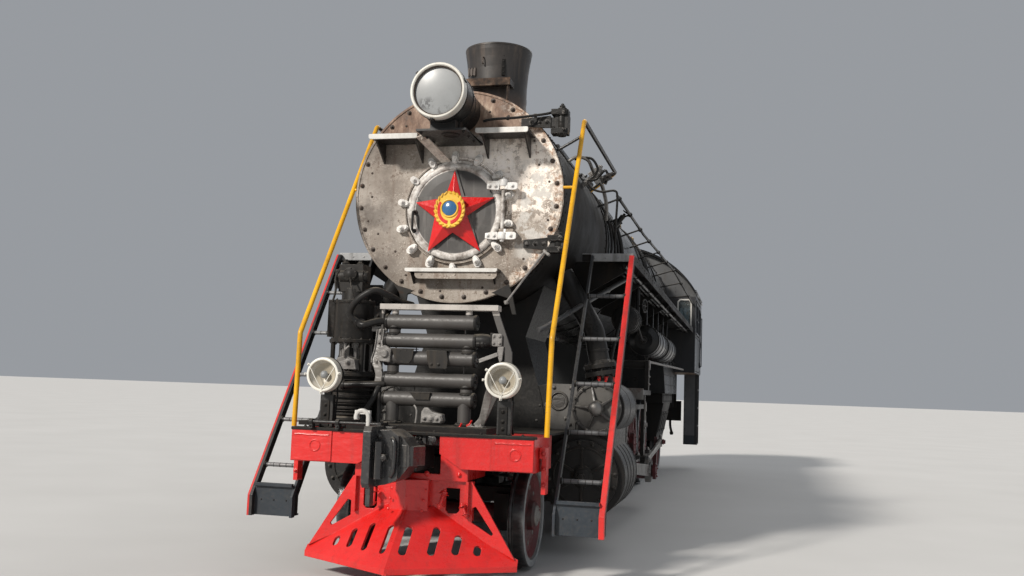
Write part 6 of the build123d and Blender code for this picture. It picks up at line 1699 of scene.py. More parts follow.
s = Shape()
for sg in (-1, 1):
    # sand pipes down the barrel from the domes, then down inside the wheels
    for y, R, ys in ((4.65, 1.000, (-0.16, 0.0, 0.16)), (8.30, 1.050, (-0.16, 0.0, 0.16))):
        for dy in ys:
            P = []
            for a in range(62, -15, -7):
                t = math.radians(a)
                P.append(V(sg * (R + 0.030) * math.cos(t), y + dy * (1 + (62 - a) / 60.0), 3.380 + (R + 0.030) * math.sin(t)))
            P.append(V(sg * (R + 0.045), P[-1].y, 2.965))
            s.tube([V(sg * 0.43, y + dy, 4.235)] + P, 0.017, 8)
            s.lathe(V(sg * (R + 0.045), P[-1].y, 2.955), (0, 0, 1), [(0, 0), (0, 0.034), (0.016, 0.034), (0.022, 0.02), (0.022, 0)], 12)
    # feed pipe from the cab to the clack valve, main pipe under the board
    ang = [math.radians(a) for a in (-12, 0, 12, 22)]
    P = [V(sg * 1.10, 12.86, 3.02), V(sg * 1.10, 10.6, 3.02), V(sg * 1.085, 9.0, 3.03), V(sg * 1.075, 6.0, 3.06), V(sg * 1.06, 5.45, 3.10)]
    P += [V(sg * 1.045 * math.cos(t), 5.28 - 0.05 * i, 3.380 + 1.045 * math.sin(t)) for i, t in enumerate(ang)]
    s.tube(smooth_path(P, 4), 0.030, 12)
    for y in (7.0, 8.4, 9.8, 11.2, 12.4):
        s.lathe(V(sg * (1.079 if y < 9 else 1.095), y, 3.028 if y < 10.6 else 3.02), (0, 1, 0), [(-0.020, 0.028), (-0.020, 0.043), (0.020, 0.043), (0.020, 0.028)], 14)
    t = math.radians(24)
    n = V(sg * math.cos(t), 0, math.sin(t))
    o = V(0, 5.10, 3.380) + n * 0.995
    s.lathe(o, n, [(0, 0), (0, 0.100), (0.022, 0.100), (0.026, 0.062), (0.070, 0.070), (0.110, 0.060), (0.116, 0.036), (0.150, 0.034), (0.150, 0)], 24)
    u, w, _ = frame_of(n)
    for k in range(6):
        s.bolt(o + (u * math.cos(k * 1.047) + w * math.sin(k * 1.047)) * 0.082 + n * 0.022, n, 0.013, 0.014)
    s.rod(o + n * 0.065, o + n * 0.065 + V(0, 0.10, -0.08), 0.040, 14)
    # pipes under the running board
    for x, z, r, y0, y1 in ((1.46, 2.875, 0.024, 2.2, 12.7), (1.40, 2.880, 0.017, 2.3, 12.7), (1.34, 2.878, 0.013, 2.6, 9.2)):
        s.tube([V(sg * x, y0, z), V(sg * x, (y0 + y1) / 2, z - 0.008), V(sg * x, y1, z)], r, 10)
    for y in (3.1, 4.6, 6.2, 7.8, 9.4, 11.0, 12.3):
        s.box(min(sg * 1.31, sg * 1.50), max(sg * 1.31, sg * 1.50), y - 0.015, y + 0.015, 2.842, 2.850)
        s.box(min(sg * 1.49, sg * 1.50), max(sg * 1.49, sg * 1.50), y - 0.015, y + 0.015, 2.842, 2.942)
    # sand pipes by the wheels
    for i in range(4):
        m = 3.690 + 1.625 * i + 0.8125
        s.tube(smooth_path([(sg * 0.665, m + 0.07, 1.60), (sg * 0.665, m + 0.07, 1.00), (sg * 0.665, m + 0.10, 0.55), (sg * 0.680, m + 0.02, 0.30), (sg * 0.700, m - 0.05, 0.17)], 4), 0.017, 8)
        s.box(min(sg * 0.612, sg * 0.672), max(sg * 0.612, sg * 0.672), m + 0.05, m + 0.09, 1.05, 1.07)
piece("boiler_pipes", s, "black_pipe")

# handrail stanchions
s = Shape()


def rail_at(y):
    P = ((1.215, 3.350, 3.835), (1.245, 6.000, 3.812), (1.385, 10.000, 3.790), (1.560, 12.880, 3.470))
    for a, b in zip(P, P[1:]):
        if y <= b[1]:
            f = (y - a[1]) / (b[1] - a[1])
            return a[0] + (b[0] - a[0]) * f, a[2] + (b[2] - a[2]) * f
    return P[-1][0], P[-1][2]


for sg in (-1, 1):
    for y, own in ((3.500, 1), (4.500, 0), (5.600, 0), (6.600, 1), (7.700, 0), (8.800, 1), (9.900, 0), (11.000, 1), (12.100, 0)):
        x, z = rail_at(y)
        if own:
            s.lathe((sg * x, y - 0.026, z), (0, 1, 0), [(0, 0.016), (0, 0.020), (0.012, 0.029), (0.026, 0.032), (0.040, 0.029), (0.052, 0.020), (0.052, 0.016)], 18)
        else:
            d = math.hypot(x, z - 3.380)
            R = 1.000 if y < 5.6 else (1.012 if y < 5.7 else (1.050 if y < 10.3 else 1.065))
            u = V(sg * x / d, 0, (z - 3.380) / d)
            s.rod(V(0, y, 3.380) + u * (R - 0.005), V(0, y, 3.380) + u * d, 0.0115, 10)
            s.lathe((sg * x, y - 0.026, z), (0, 1, 0), [(0, 0.016), (0, 0.020), (0.012, 0.029), (0.026, 0.032), (0.040, 0.029), (0.052, 0.020), (0.052, 0.016)], 18)
            s.lathe(V(0, y, 3.380) + u * (R - 0.002), u, [(0, 0), (0, 0.034), (0.012, 0.030), (0.016, 0.014), (0.016, 0)], 16)
piece("rail_stanchions", s, "black_pipe")

# ---------------------------------------------------------------- running boards and ladders
s = Shape()
for sg in (-1, 1):
    s.rivets(V(sg * 1.580, 2.05, 2.925), V(sg * 1.580, 12.85, 2.925), (sg, 0, 0), 0.24, 0.010)
    s.rivets(V(sg * 1.580, 2.05, 2.892), V(sg * 1.580, 12.85, 2.892), (sg, 0, 0), 0.48, 0.008)
    for y in (2.4, 3.8, 5.3, 7.0, 8.7):
        s.box(min(sg * 1.10, sg * 1.56), max(sg * 1.10, sg * 1.56), y - 0.034, y + 0.010, 2.930, 2.940)
        for x in (1.18, 1.32, 1.46):
            s.bolt(V(sg * x, y - 0.022, 2.960), (0, 0, 1), 0.011, 0.008, wash=False)
    for y in (3.05, 4.55, 6.15, 7.85, 9.55, 11.2):
        s.box(min(sg * 1.062, sg * 1.568), max(sg * 1.062, sg * 1.568), y - 0.002, y + 0.002, 2.9595, 2.9625)
piece("board_rivets", s, "black_frame")
s = Shape()
for sg in (-1, 1):
    n = 0
    for j in range(6):
        for i in range(150):
            cx, cy = 1.135 + j * 0.075, 2.02 + i * 0.072
            a = math.radians(45 if (i + j) % 2 else -45)
            u, w = V(math.cos(a), math.sin(a), 0), V(-math.sin(a), math.cos(a), 0)
            s.prism([(-0.017, 0), (0, 0.005), (0.017, 0), (0, -0.005)], V(sg * cx, cy, 2.960), u, w, V(0, 0, 1), -0.001, 0.0024)
piece("board_treads", s, "black_frame")
MATS["edge_grey"] = paint("edge_grey", (0.30, 0.305, 0.31), dirt=(0.03, 0.026, 0.022), dirt_amt=0.55, rust_amt=0.15, dust=0.25, rough=(0.36, 0.58), wear=(0.30, 0.28, 0.26), wear_amt=0.8, edge=0.006)
s = Shape()
for sg in (-1, 1):
    s.prism(rrect(0.428, 0.078, (0.034, 0.034, 0.004, 0.004) if sg < 0 else (0.034, 0.034, 0.004, 0.004), 5, sg * 1.365, 2.924), V(0, 1.950, 0), V(1, 0, 0), V(0, 0, 1), V(0, -1, 0), -0.002, 0.012)
    s.box(min(sg * 1.060, sg * 1.580), max(sg * 1.060, sg * 1.580), 1.94, 1.97, 2.955, 2.966)
    for x in (1.19, 1.30, 1.42, 1.54):
        s.rivet(V(sg * x, 1.938, 2.922), FRONT, 0.010)
piece("board_front_edge", s, "edge_grey", bevel=0.004)
s = Shape()
for sg in (-1, 1):
    d = V(0, -1.660, -2.380).normalized()
    nrm = V(0, -d.z, d.y)
    for y, z in ((1.612, 2.500), (1.311, 2.065), (1.017, 1.640), (0.723, 1.215), (0.446, 0.815)):
        for x in (1.186, 1.541):
            s.lathe((sg * x, y, z), (1, 0, 0), [(-0.010, 0), (-0.010, 0.030), (0.010, 0.030), (0.010, 0)], 16)
        for k in range(6):
            x = 1.21 + k * 0.062
            s.lathe((sg * x, y, z), (1, 0, 0), [(-0.003, 0.017), (-0.003, 0.0205), (0.003, 0.0205), (0.003, 0.017)], 14)
    # side plates of the stiles
    for x, t in ((1.160, 0.010), (1.580, 0.010)):
        s.prism([(1.945, 2.938), (1.992, 2.868), (0.352, 0.560), (0.352, 0.392), (0.286, 0.392), (0.286, 0.560)], V(0, 0, 0), V(0, 1, 0), V(0, 0, 1), V(1, 0, 0),
                (sg * x if sg > 0 else -x - t), (sg * x + t if sg > 0 else -x))
    if sg < 0:
        s.prism([(1.900, 2.930), (2.045, 2.930), (0.385, 0.560), (0.385, 0.388), (0.240, 0.388), (0.240, 0.560)], V(0, 0, 0), V(0, 1, 0), V(0, 0, 1), V(1, 0, 0), -1.586, -1.578)
    for x in (1.167, 1.588):
        for z in (0.42, 0.54):
            s.rivet(V(sg * x, 0.30, z), (sg, 0, 0), 0.010)
    for x in (1.24, 1.36, 1.48):
        s.rivet(V(sg * x, 0.280, 0.52), FRONT, 0.008)
piece("ladder_plates", s, "black_frame", bevel=0.0015)

# ---------------------------------------------------------------- reservoirs
s = Shape()
for sg in (-1, 1):
    for y0, y1 in ((5.4, 6.9), (7.1, 8.6)):
        for y in (y0 + 0.075, y0 + 0.30, (y0 + y1) / 2, y1 - 0.30, y1 - 0.075):
            s.lathe((sg * 1.340, y, 2.290), (0, 1, 0), [(-0.022, 0.197), (-0.022, 0.2065), (0.022, 0.2065), (0.022, 0.197)], 48)
        for y in (y0 + 0.30, y1 - 0.30):
            for dx in (-0.03, 0.03):
                s.bolt(V(sg * 1.340 + dx, y, 2.50), (0, 0, 1), 0.016, 0.020)
        for y, d in ((y0, -1), (y1, 1)):
            s.lathe((sg * 1.340, y, 2.290), (0, d, 0), [(-0.004, 0), (-0.004, 0.050), (0.016, 0.046), (0.018, 0.026), (0.036, 0.024), (0.036, 0)], 20)
        s.lathe((sg * 1.340, (y0 + y1) / 2 - 0.3, 2.092), (0, 0, -1), [(0, 0), (0, 0.034), (0.018, 0.034), (0.022, 0.016), (0.070, 0.014), (0.070, 0)], 12)
    s.tube(smooth_path([(sg * 1.340, 6.93, 2.290), (sg * 1.340, 7.0, 2.260), (sg * 1.340, 7.07, 2.290)], 5), 0.020, 10)
    s.tube(smooth_path([(sg * 1.340, 5.37, 2.290), (sg * 1.335, 5.15, 2.30), (sg * 1.30, 4.9, 2.50), (sg * 1.30, 4.75, 2.85)], 6), 0.020, 10)
    s.tube(smooth_path([(sg * 1.340, 8.63, 2.290), (sg * 1.340, 8.9, 2.30), (sg * 1.32, 9.2, 2.50), (sg * 1.32, 9.4, 2.84)], 6), 0.020, 10)
piece("reservoir_fittings", s, "black_pipe", bevel=0.0)

# ---------------------------------------------------------------- wheels and rods
R45 = {"left": 225.0, "right": 315.0}
for i in range(5):
    y = 3.690 + 1.625 * i
    s = Shape()
    for side, sg in (("left", 1), ("right", -1)):
        a0 = math.radians(R45[side])
        cy, cz = y + 0.385 * math.cos(a0), 0.750 + 0.385 * math.sin(a0)
        s.lathe((sg * 0.898, y, 0.750), (sg, 0, 0), [(0, 0.070), (0, 0.178), (0.012, 0.172), (0.016, 0.150), (0.016, 0.118), (0.008, 0.112), (0.008, 0.07)], 40)
        s.lathe((sg * 0.897, y, 0.750), (sg, 0, 0), [(0, 0), (0, 0.066), (0.010, 0.060), (0.010, 0)], 20)
        for k in range(6):
            t = k * math.pi / 3
            s.bolt(V(sg * 0.912, y + 0.134 * math.cos(t), 0.750 + 0.134 * math.sin(t)), (sg, 0, 0), 0.013, 0.012, wash=False)
        for r0, w in ((0.696, 0.010), (0.604, 0.012)):
            s.lathe((sg * 0.845, y, 0.750), (sg, 0, 0), [(-0.004, r0 - w), (0.0055, r0 - w * 0.6), (0.0055, r0 + w * 0.6), (-0.004, r0 + w)], 72)
        for k in range(15):
            t = a0 + math.radians(24.0 * k)
            s.rivet(V(sg * 0.846, y + 0.650 * math.cos(t), 0.750 + 0.650 * math.sin(t)), (sg, 0, 0), 0.013)
        # spokes swell towards the hub
        for k in range(15):
            t = a0 + math.radians(12 + 24.0 * k)
            u, w = V(0, math.cos(t), math.sin(t)), V(0, -math.sin(t), math.cos(t))
            s.prism([(0.19, -0.021), (0.60, -0.017), (0.60, 0.017), (0.19, 0.021)], V(sg * 0.826, y, 0.750), u, w, V(sg, 0, 0), 0.0, 0.012)
        if i != 2:
            s.lathe((sg * 1.054, cy, cz), (sg, 0, 0), [(0, 0.040), (0, 0.093), (0.010, 0.088), (0.012, 0.045), (0.012, 0.040)], 32)
            for k in range(3):
                t = k * 2.0944 + 0.5
                s.bolt(V(sg * 1.064, cy + 0.066 * math.cos(t), cz + 0.066 * math.sin(t)), (sg, 0, 0), 0.013, 0.012, wash=False)
            s.lathe((sg * 1.054, cy, cz), (sg, 0, 0), [(0, 0), (0, 0.034), (0.018, 0.034), (0.018, 0)], 6)
        else:
            ey, ez = y + 0.200 * math.cos(a0 - math.pi / 2), 0.750 + 0.200 * math.sin(a0 - math.pi / 2)
            for k in range(4):
                t = k * math.pi / 2 + 0.4
                s.bolt(V(sg * 1.430, cy + 0.082 * math.cos(t), cz + 0.082 * math.sin(t)), (sg, 0, 0), 0.015, 0.014)
            s.lathe((sg * 1.430, cy, cz), (sg, 0, 0), [(0, 0), (0, 0.048), (0.008, 0.044), (0.008, 0)], 24)
            s.lathe((sg * 1.510, ey, ez), (sg, 0, 0), [(0, 0), (0, 0.044), (0.010, 0.044), (0.016, 0.032), (0.034, 0.032), (0.034, 0)], 6)
    piece("wheel_fittings_%d" % (i + 1), s, "wheel_red", body="driving_wheels_%d" % (i + 1))
for name, y, r in (("leading_wheels", 0.950, 0.450), ("trailing_wheels", 13.555, 0.525)):
    s = Shape()
    for sg in (-1, 1):
        s.lathe((sg * 0.878, y, r), (sg, 0, 0), [(0, 0), (0, 0.092), (0.010, 0.086), (0.014, 0.050), (0.026, 0.042), (0.026, 0)], 28)
        for k in range(6):
            t = k * math.pi / 3 + 0.2
            s.bolt(V(sg * 0.886, y + 0.066 * math.cos(t), r + 0.066 * math.sin(t)), (sg, 0, 0), 0.010, 0.010, wash=False)
        for k in range(8):
            t = k * math.pi / 4
            s.lathe((sg * 0.806, y + (r - 0.205) * math.cos(t), r + (r - 0.205) * math.sin(t)), (sg, 0, 0), [(-0.004, 0), (-0.004, 0.022), (0.006, 0.020), (0.006, 0)], 14)
        s.lathe((sg * 0.838, y, r), (sg, 0, 0), [(-0.004, r - 0.078), (0.004, r - 0.076), (0.004, r - 0.064), (-0.004, r - 0.062)], 64)
    piece(name + "_caps", s, "worn_steel", body=name)

for side, sg in (("left", 1), ("right", -1)):
    a0 = math.radians(R45[side])
    dy, dz = 0.385 * math.cos(a0), 0.385 * math.sin(a0)
    zc = 0.750 + dz
    s = Shape()
    AX = [3.690 + 1.625 * i + dy for i in range(5)]
    for i in range(4):
        p, q = AX[i] + (0.165 if i == 2 else 0.135), AX[i + 1] - (0.165 if i == 1 else 0.135)
        for dz_ in (-0.049, 0.049):
            s.box(min(sg * 1.013, sg * 1.024), max(sg * 1.013, sg * 1.024), p, q, zc + dz_ - 0.013, zc + dz_ + 0.013)
        s.lathe((sg * 1.014, (p + q) / 2, zc), (sg, 0, 0), [(0, 0), (0, 0.026), (0.008, 0.024), (0.008, 0)], 18)
    for i, y in enumerate(AX):
        r = 0.150 if i == 2 else 0.122
        s.lathe((sg * 0.985, y, zc + r - 0.006), (0, 0, 1), [(0, 0), (0, 0.034), (0.026, 0.034), (0.030, 0.022), (0.050, 0.022), (0.056, 0.014), (0.056, 0)], 16)
        s.lathe((sg * 1.030, y, zc), (sg, 0, 0), [(-0.002, r - 0.020), (0.004, r - 0.016), (0.004, r - 0.006), (-0.002, r - 0.002)], 40)
        if i in (1, 3):
            s.bolt(V(sg * 1.030, y + r + 0.06, zc), (sg, 0, 0), 0.030, 0.012)
    piece("coupling_rod_fittings_" + side, s, "rod_steel", body="coupling_rod_" + side, bevel=0.002)
    # main rod: flanges of its I-section, oil cup, wedge bolts
    px, pz = 3.690 + 2 * 1.625 + dy, 0.750 + dz
    run = math.sqrt(3.340 ** 2 - (0.750 - pz) ** 2)
    e = V(0, px - run, 0.750)
    b = V(0, px, pz)
    d = (e - b).normalized()
    n = V(0, -d.z, d.y)
    L = 3.340
    s = Shape()
    for k in (-1, 1):
        for f0, f1, w0, w1 in ((0.175, L - 0.115, 0.068, 0.049),):
            c0, c1 = b + d * f0 + n * (k * w0), b + d * f1 + n * (k * w1)
            s.flat(c0 + V(sg * 1.353, 0, 0), c1 + V(sg * 1.353, 0, 0), 0.026, 0.012, side=n)
    s.lathe(b + V(sg * 1.321, 0, 0.160), (0, 0, 1), [(0, 0), (0, 0.040), (0.030, 0.040), (0.036, 0.026), (0.060, 0.024), (0.066, 0.014), (0.066, 0)], 18)
    s.lathe(e + V(sg * 1.321, 0, 0.099), (0, 0, 1), [(0, 0), (0, 0.028), (0.022, 0.028), (0.030, 0.014), (0.040, 0)], 16)
    s.lathe(b + V(sg * 1.360, 0, 0), (sg, 0, 0), [(-0.002, 0.095), (0.005, 0.099), (0.005, 0.150), (-0.002, 0.158)], 44)
    s.lathe(e + V(sg * 1.360, 0, 0), (sg, 0, 0), [(-0.002, 0), (-0.002, 0.090), (0.006, 0.084), (0.010, 0.050), (0.022, 0.046), (0.022, 0)], 32)
    for k in (-1, 1):
        s.bolt(b + d * 0.215 + n * (k * 0.030) + V(sg * 1.350, 0, 0), (sg, 0, 0), 0.018, 0.016)
    piece("main_rod_fittings_" + side, s, "rod_steel", body="main_rod_" + side, bevel=0.002)
    # eccentric rod
    ey, ez = 3.690 + 2 * 1.625 + 0.200 * math.cos(a0 - math.pi / 2), 0.750 + 0.200 * math.sin(a0 - math.pi / 2)
    b = V(0, ey, ez)
    e = V(0, 4.880, 0.750)
    d = (e - b).normalized()
    n = V(0, -d.z, d.y)
    L = (e - b).length
    s = Shape()
    for k in (-1, 1):
        s.flat(b + d * 0.085 + n * (k * 0.034) + V(sg * 1.489, 0, 0), b + d * (L - 0.062) + n * (k * 0.024) + V(sg * 1.489, 0, 0), 0.013, 0.010, side=n)
    s.lathe(e + V(sg * 1.495, 0, 0), (sg, 0, 0), [(-0.002, 0), (-0.002, 0.046), (0.006, 0.042), (0.008, 0.024), (0.020, 0.022), (0.020, 0)], 20)
    s.lathe(b + V(sg * 1.472, 0, 0.070), (0, 0, 1), [(0, 0), (0, 0.020), (0.020, 0.020), (0.026, 0.012), (0.036, 0)], 14)
    piece("eccentric_rod_fittings_" + side, s, "rod_steel", body="eccentric_rod_" + side, bevel=0.0015)
    # crosshead
    sy = px - run
    s = Shape()
    for z in (0.640, 0.860):
        for y in (-0.15, -0.05, 0.05, 0.15):
            s.bolt(V(sg * 1.250, sy + y, z), (sg, 0, 0), 0.016, 0.014)
    for z0, z1 in ((0.600, 0.615), (0.885, 0.900)):
        s.box(min(sg * 1.100, sg * 1.245), max(sg * 1.100, sg * 1.245), sy - 0.185, sy + 0.185, (z0 + z1) / 2 - 0.004, (z0 + z1) / 2 + 0.004)
    s.lathe((sg * 1.250, sy, 0.750), (sg, 0, 0), [(-0.002, 0.058), (-0.002, 0.098), (0.014, 0.092), (0.014, 0.060)], 32)
    piece("crosshead_fittings_" + side, s, "worn_steel", body="crosshead_" + side, bevel=0.002)
    # fixed gear: guides, yoke, link, brackets
    s = Shape()
    for z in (0.960, 0.604):
        for y in (2.96, 3.02, 4.40):
            for x in (1.125, 1.220):
                s.bolt(V(sg * x, y, z if z > 0.7 else z - 0.064), (0, 0, 1 if z > 0.7 else -1), 0.016, 0.018)
    for z in (0.66, 0.80, 1.0, 1.15, 1.28):
        for x in (1.125, 1.22):
            s.bolt(V(sg * x, 4.520, z), (0, 1, 0), 0.014, 0.012)
            s.bolt(V(sg * x, 4.462, z), FRONT, 0.014, 0.012)
    s.rivets(V(sg * 0.70, 4.482, 1.60), V(sg * 1.40, 4.482, 1.60), FRONT, 0.08, 0.011)
    s.rivets(V(sg * 0.70, 4.482, 1.30), V(sg * 1.20, 4.482, 1.30), FRONT, 0.08, 0.011)
    # the curved link: its slot edge, die block, trunnion
    link = smooth_path([(sg * 1.432, 4.880, 0.950), (sg * 1.432, 4.925, 1.180), (sg * 1.432, 4.880, 1.480)], 8)
    for k in (-0.030, 0.030):
        s.tube([p + V(0, k, 0) for p in link], 0.0075, 8)
    s.box(min(sg * 1.428, sg * 1.446), max(sg * 1.428, sg * 1.446), 4.880, 4.945, 1.350, 1.460)
    s.lathe((sg * 1.430, 4.900, 1.180), (sg, 0, 0), [(-0.002, 0), (-0.002, 0.055), (0.012, 0.050), (0.014, 0.028), (0.030, 0.026), (0.030, 0)], 24)
    s.lathe((sg * 1.445, 4.880, 0.750), (sg, 0, 0), [(-0.010, 0), (-0.010, 0.030), (0.006, 0.030), (0.006, 0)], 18)
    for y, z in ((3.048, 1.412), (3.048, 1.490), (3.048, 0.600), (3.048, 0.900)):
        s.lathe((sg * 1.425, y, z), (sg, 0, 0), [(-0.002, 0), (-0.002, 0.032), (0.010, 0.028), (0.012, 0.016), (0.024, 0.014), (0.024, 0)], 18)
    for y in (5.29, 5.36):
        for z in (1.70, 1.80, 1.90):
            s.bolt(V(sg * 1.430, y, z), (sg, 0, 0), 0.013, 0.012)
    s.lathe((sg * 1.430, 5.325, 1.960), (sg, 0, 0), [(-0.002, 0), (-0.002, 0.062), (0.014, 0.056), (0.014, 0)], 24)
    s.tube([V(sg * 1.40, 5.35, 2.00), V(sg * 1.40, 6.5, 2.02), V(sg * 1.40, 9.0, 2.05), V(sg * 1.40, 12.7, 2.10)], 0.018, 10)
    piece("gear_fittings_" + side, s, "worn_steel", bevel=0.0015)

# ---------------------------------------------------------------- frame, springs, brakes
s = Shape()
for sg in (-1, 1):
    for i in range(5):
        y = 3.690 + 1.625 * i
        for k in range(5):
            z = 1.246 + 0.019 * k
            L = 0.50 - 0.055 * k
            s.box(min(sg * 0.484, sg * 0.598), max(sg * 0.484, sg * 0.598), y - L, y + L, z - 0.0035 + 0.02 * k, z + 0.0035 + 0.02 * k)
        s.box(min(sg * 0.474, sg * 0.606), max(sg * 0.474, sg * 0.606), y - 0.055, y + 0.055, 1.345, 1.362)
        for dx in (0.485, 0.595):
            s.bolt(V(sg * dx, y - 0.035, 1.362), (0, 0, 1), 0.014, 0.018)
            s.bolt(V(sg * dx, y + 0.035, 1.362), (0, 0, 1), 0.014, 0.018)
        for e in (-1, 1):
            s.rod(V(sg * 0.540, y + e * 0.500, 1.150), V(sg * 0.540, y + e * 0.500, 1.300), 0.020, 12)
            s.bolt(V(sg * 0.540, y + e * 0.500, 1.290), (0, 0, 1), 0.028, 0.026)
piece("spring_leaves", s, "spring_steel", bevel=0.0)
s = Shape()
for sg in (-1, 1):
    s.rivets(V(sg * 0.610, 0.75, 1.13), V(sg * 0.610, 10.9, 1.13), (sg, 0, 0), 0.16, 0.012)
    s.rivets(V(sg * 0.610, 3.1, 0.505), V(sg * 0.610, 10.95, 0.505), (sg, 0, 0), 0.20, 0.012)
    for i in range(5):
        y = 3.690 + 1.625 * i
        for dy in (-0.215, 0.215):
            for z in (0.56, 0.66, 0.76, 0.86, 0.96):
                s.bolt(V(sg * 0.610, y + dy, z), (sg, 0, 0), 0.014, 0.013)
        s.box(min(sg * 0.60, sg * 0.628), max(sg * 0.60, sg * 0.628), y - 0.235, y + 0.235, 0.500, 0.540)
        m = y + 0.8125
        for z in (0.345, 0.460, 1.140):
            s.lathe((sg * 0.835, m, z), (sg, 0, 0), [(-0.002, 0), (-0.002, 0.034), (0.008, 0.030), (0.010, 0.018), (0.020, 0.016), (0.020, 0)], 16)
        s.obox((sg * 0.855, m - 0.045, 0.462), (0, 1, 0), (0, 0, 1), (1, 0, 0), 0.012, 0.040, 0.006)
        if i < 4:
            s.tube([V(0.40 * sg, m, 0.345), V(0.40 * sg, m + 0.8, 0.330), V(0.40 * sg, m + 1.625, 0.345)], 0.022, 10)
    # ash pan flaps and hoppers
    s.box(min(sg * 1.150, sg * 1.158), max(sg * 1.150, sg * 1.158), 10.95, 13.10, 1.440, 1.580)
    s.rivets(V(sg * 1.158, 11.0, 1.565), V(sg * 1.158, 13.05, 1.565), (sg, 0, 0), 0.13, 0.010)
    s.rivets(V(sg * 1.158, 11.0, 1.455), V(sg * 1.158, 13.05, 1.455), (sg, 0, 0), 0.13, 0.010)
    n = V(sg * 0.98, 0, -0.20).normalized()
    for y in (11.35, 11.75, 12.15, 12.50):
        s.obox((sg * 1.077, y, 1.06), (0, 1, 0), (-0.20 * sg, 0, -0.98), n, 0.13, 0.20, 0.008)
        for dz in (-0.15, 0.15):
            s.bolt(V(sg * (1.084 + dz * 0.2), y, 1.06 + dz), n, 0.014, 0.012)
piece("frame_fittings", s, "black_frame", bevel=0.0)
s = Shape()
for sg in (-1, 1):
    for y in (0.850, 1.050):
        s.bolt(V(sg * 0.660, y, 0.58), (sg, 0, 0), 0.016, 0.014)
piece("leading_box_bolts", s, "black_frame", body="leading_truck", bevel=0.0)

# ---------------------------------------------------------------- cab
RRC = (1.620 ** 2 + (4.640 - 3.714) ** 2) / (2 * (4.640 - 3.714))
ZRC = 4.640 - RRC


def roof_p(x, off, y):
    return V(x, y, ZRC + math.sqrt((RRC + off) ** 2 - x * x))


s = Shape()
for y, w in ((12.775, 0.020), (13.30, 0.030), (13.66, 0.024), (14.74, 0.024), (15.10, 0.030), (15.518, 0.020)):
    xs = [-1.62 + 3.24 * i / 40 for i in range(41)]
    top = [roof_p(x, 0.010, y) for x in xs]
    s.sweep(top, [(-w, -0.012), (w, -0.012), (w, 0.002), (-w, 0.002)], side=(0, 1, 0))
for y in (13.30, 15.10):
    for i in range(1, 30):
        x = -1.58 + 3.16 * i / 30
        p = roof_p(x, 0.012, y)
        s.rivet(p, (x / RRC, 0, 1), 0.010)
for sg in (-1, 1):
    s.tube([V(sg * 1.628, 12.78, 3.742), V(sg * 1.628, 15.52, 3.742)], 0.010, 8)
# ventilator: louvres and lid
for sg in (-1, 1):
    for k in range(8):
        y = 13.80 + k * 0.115
        s.obox((sg * 0.353, y, 4.655), (0, 1, 0), (0, 0, 1), (sg, 0, 0), 0.042, 0.026, 0.004)
s.prism(rrect(0.74, 1.04, 0.03, 4, 0, 14.20), V(0, 0, 4.700), V(1, 0, 0), V(0, 1, 0), V(0, 0, 1), -0.006, 0.012)
s.rivets(V(-0.33, 13.72, 4.712), V(-0.33, 14.68, 4.712), (0, 0, 1), 0.12, 0.009)
s.rivets(V(0.33, 13.72, 4.712), V(0.33, 14.68, 4.712), (0, 0, 1), 0.12, 0.009)
piece("cab_roof_fittings", s, "cab_paint", bevel=0.0)

s = Shape()
for sg in (-1, 1):
    X = sg * 1.620
    for z in (2.090, 2.790, 3.590, 3.690):
        for a, b in ((12.97, 14.62), (15.33, 15.345)):
            if b - a < 0.05:
                s.rivet(V(X, 15.33, z), (sg, 0, 0), 0.010)
            else:
                s.rivets(V(X, a, z), V(X, b, z), (sg, 0, 0), 0.078, 0.010)
    for y in (12.965, 14.640, 15.335):
        s.rivets(V(X, y, 2.12), V(X, y, 3.68), (sg, 0, 0), 0.085, 0.010)
    for y0, y1 in ((13.200, 13.780), (13.860, 14.440)):
        for (a, b, c, d) in ((y0 - 0.045, y1 + 0.045, 3.480, 3.520), (y0 - 0.045, y1 + 0.045, 2.860, 2.900), (y0 - 0.045, y0, 2.9, 3.48), (y1, y1 + 0.045, 2.9, 3.48)):
            s.box(min(X - sg * 0.002, X + sg * 0.014), max(X - sg * 0.002, X + sg * 0.014), a, b, c, d)
        s.box(min(X - sg * 0.016, X + sg * 0.002), max(X - sg * 0.016, X + sg * 0.002), y0, y1, 3.180, 3.200)
        s.box(min(X - sg * 0.016, X + sg * 0.002), max(X - sg * 0.016, X + sg * 0.002), (y0 + y1) / 2 - 0.010, (y0 + y1) / 2 + 0.010, 2.9, 3.48)
    # drip strip over the windows and arm rest
    s.prism([(0, 0), (0.028, -0.012), (0.028, -0.018), (0, -0.010)], V(X, 13.08, 3.560), V(sg, 0, 0), V(0, 0, 1), V(0, 1, 0), 0.0, 1.50)
    s.box(min(X, X + sg * 0.028), max(X, X + sg * 0.028), 13.12, 14.52, 2.846, 2.862)
    # grab rails beside the door
    for y in (14.655, 15.345):
        s.tube(rounded([(X, y, 2.25), (X + sg * 0.0185, y, 2.25), (X + sg * 0.0185, y, 3.35), (X, y, 3.35)], 0.012), 0.0095, 8)
        for z in (2.25, 3.35):
            s.lathe((X, y, z), (sg, 0, 0), [(-0.002, 0), (-0.002, 0.024), (0.006, 0.020), (0.006, 0)], 14)
piece("cab_side_trim", s, "cab_paint", bevel=0.0015)
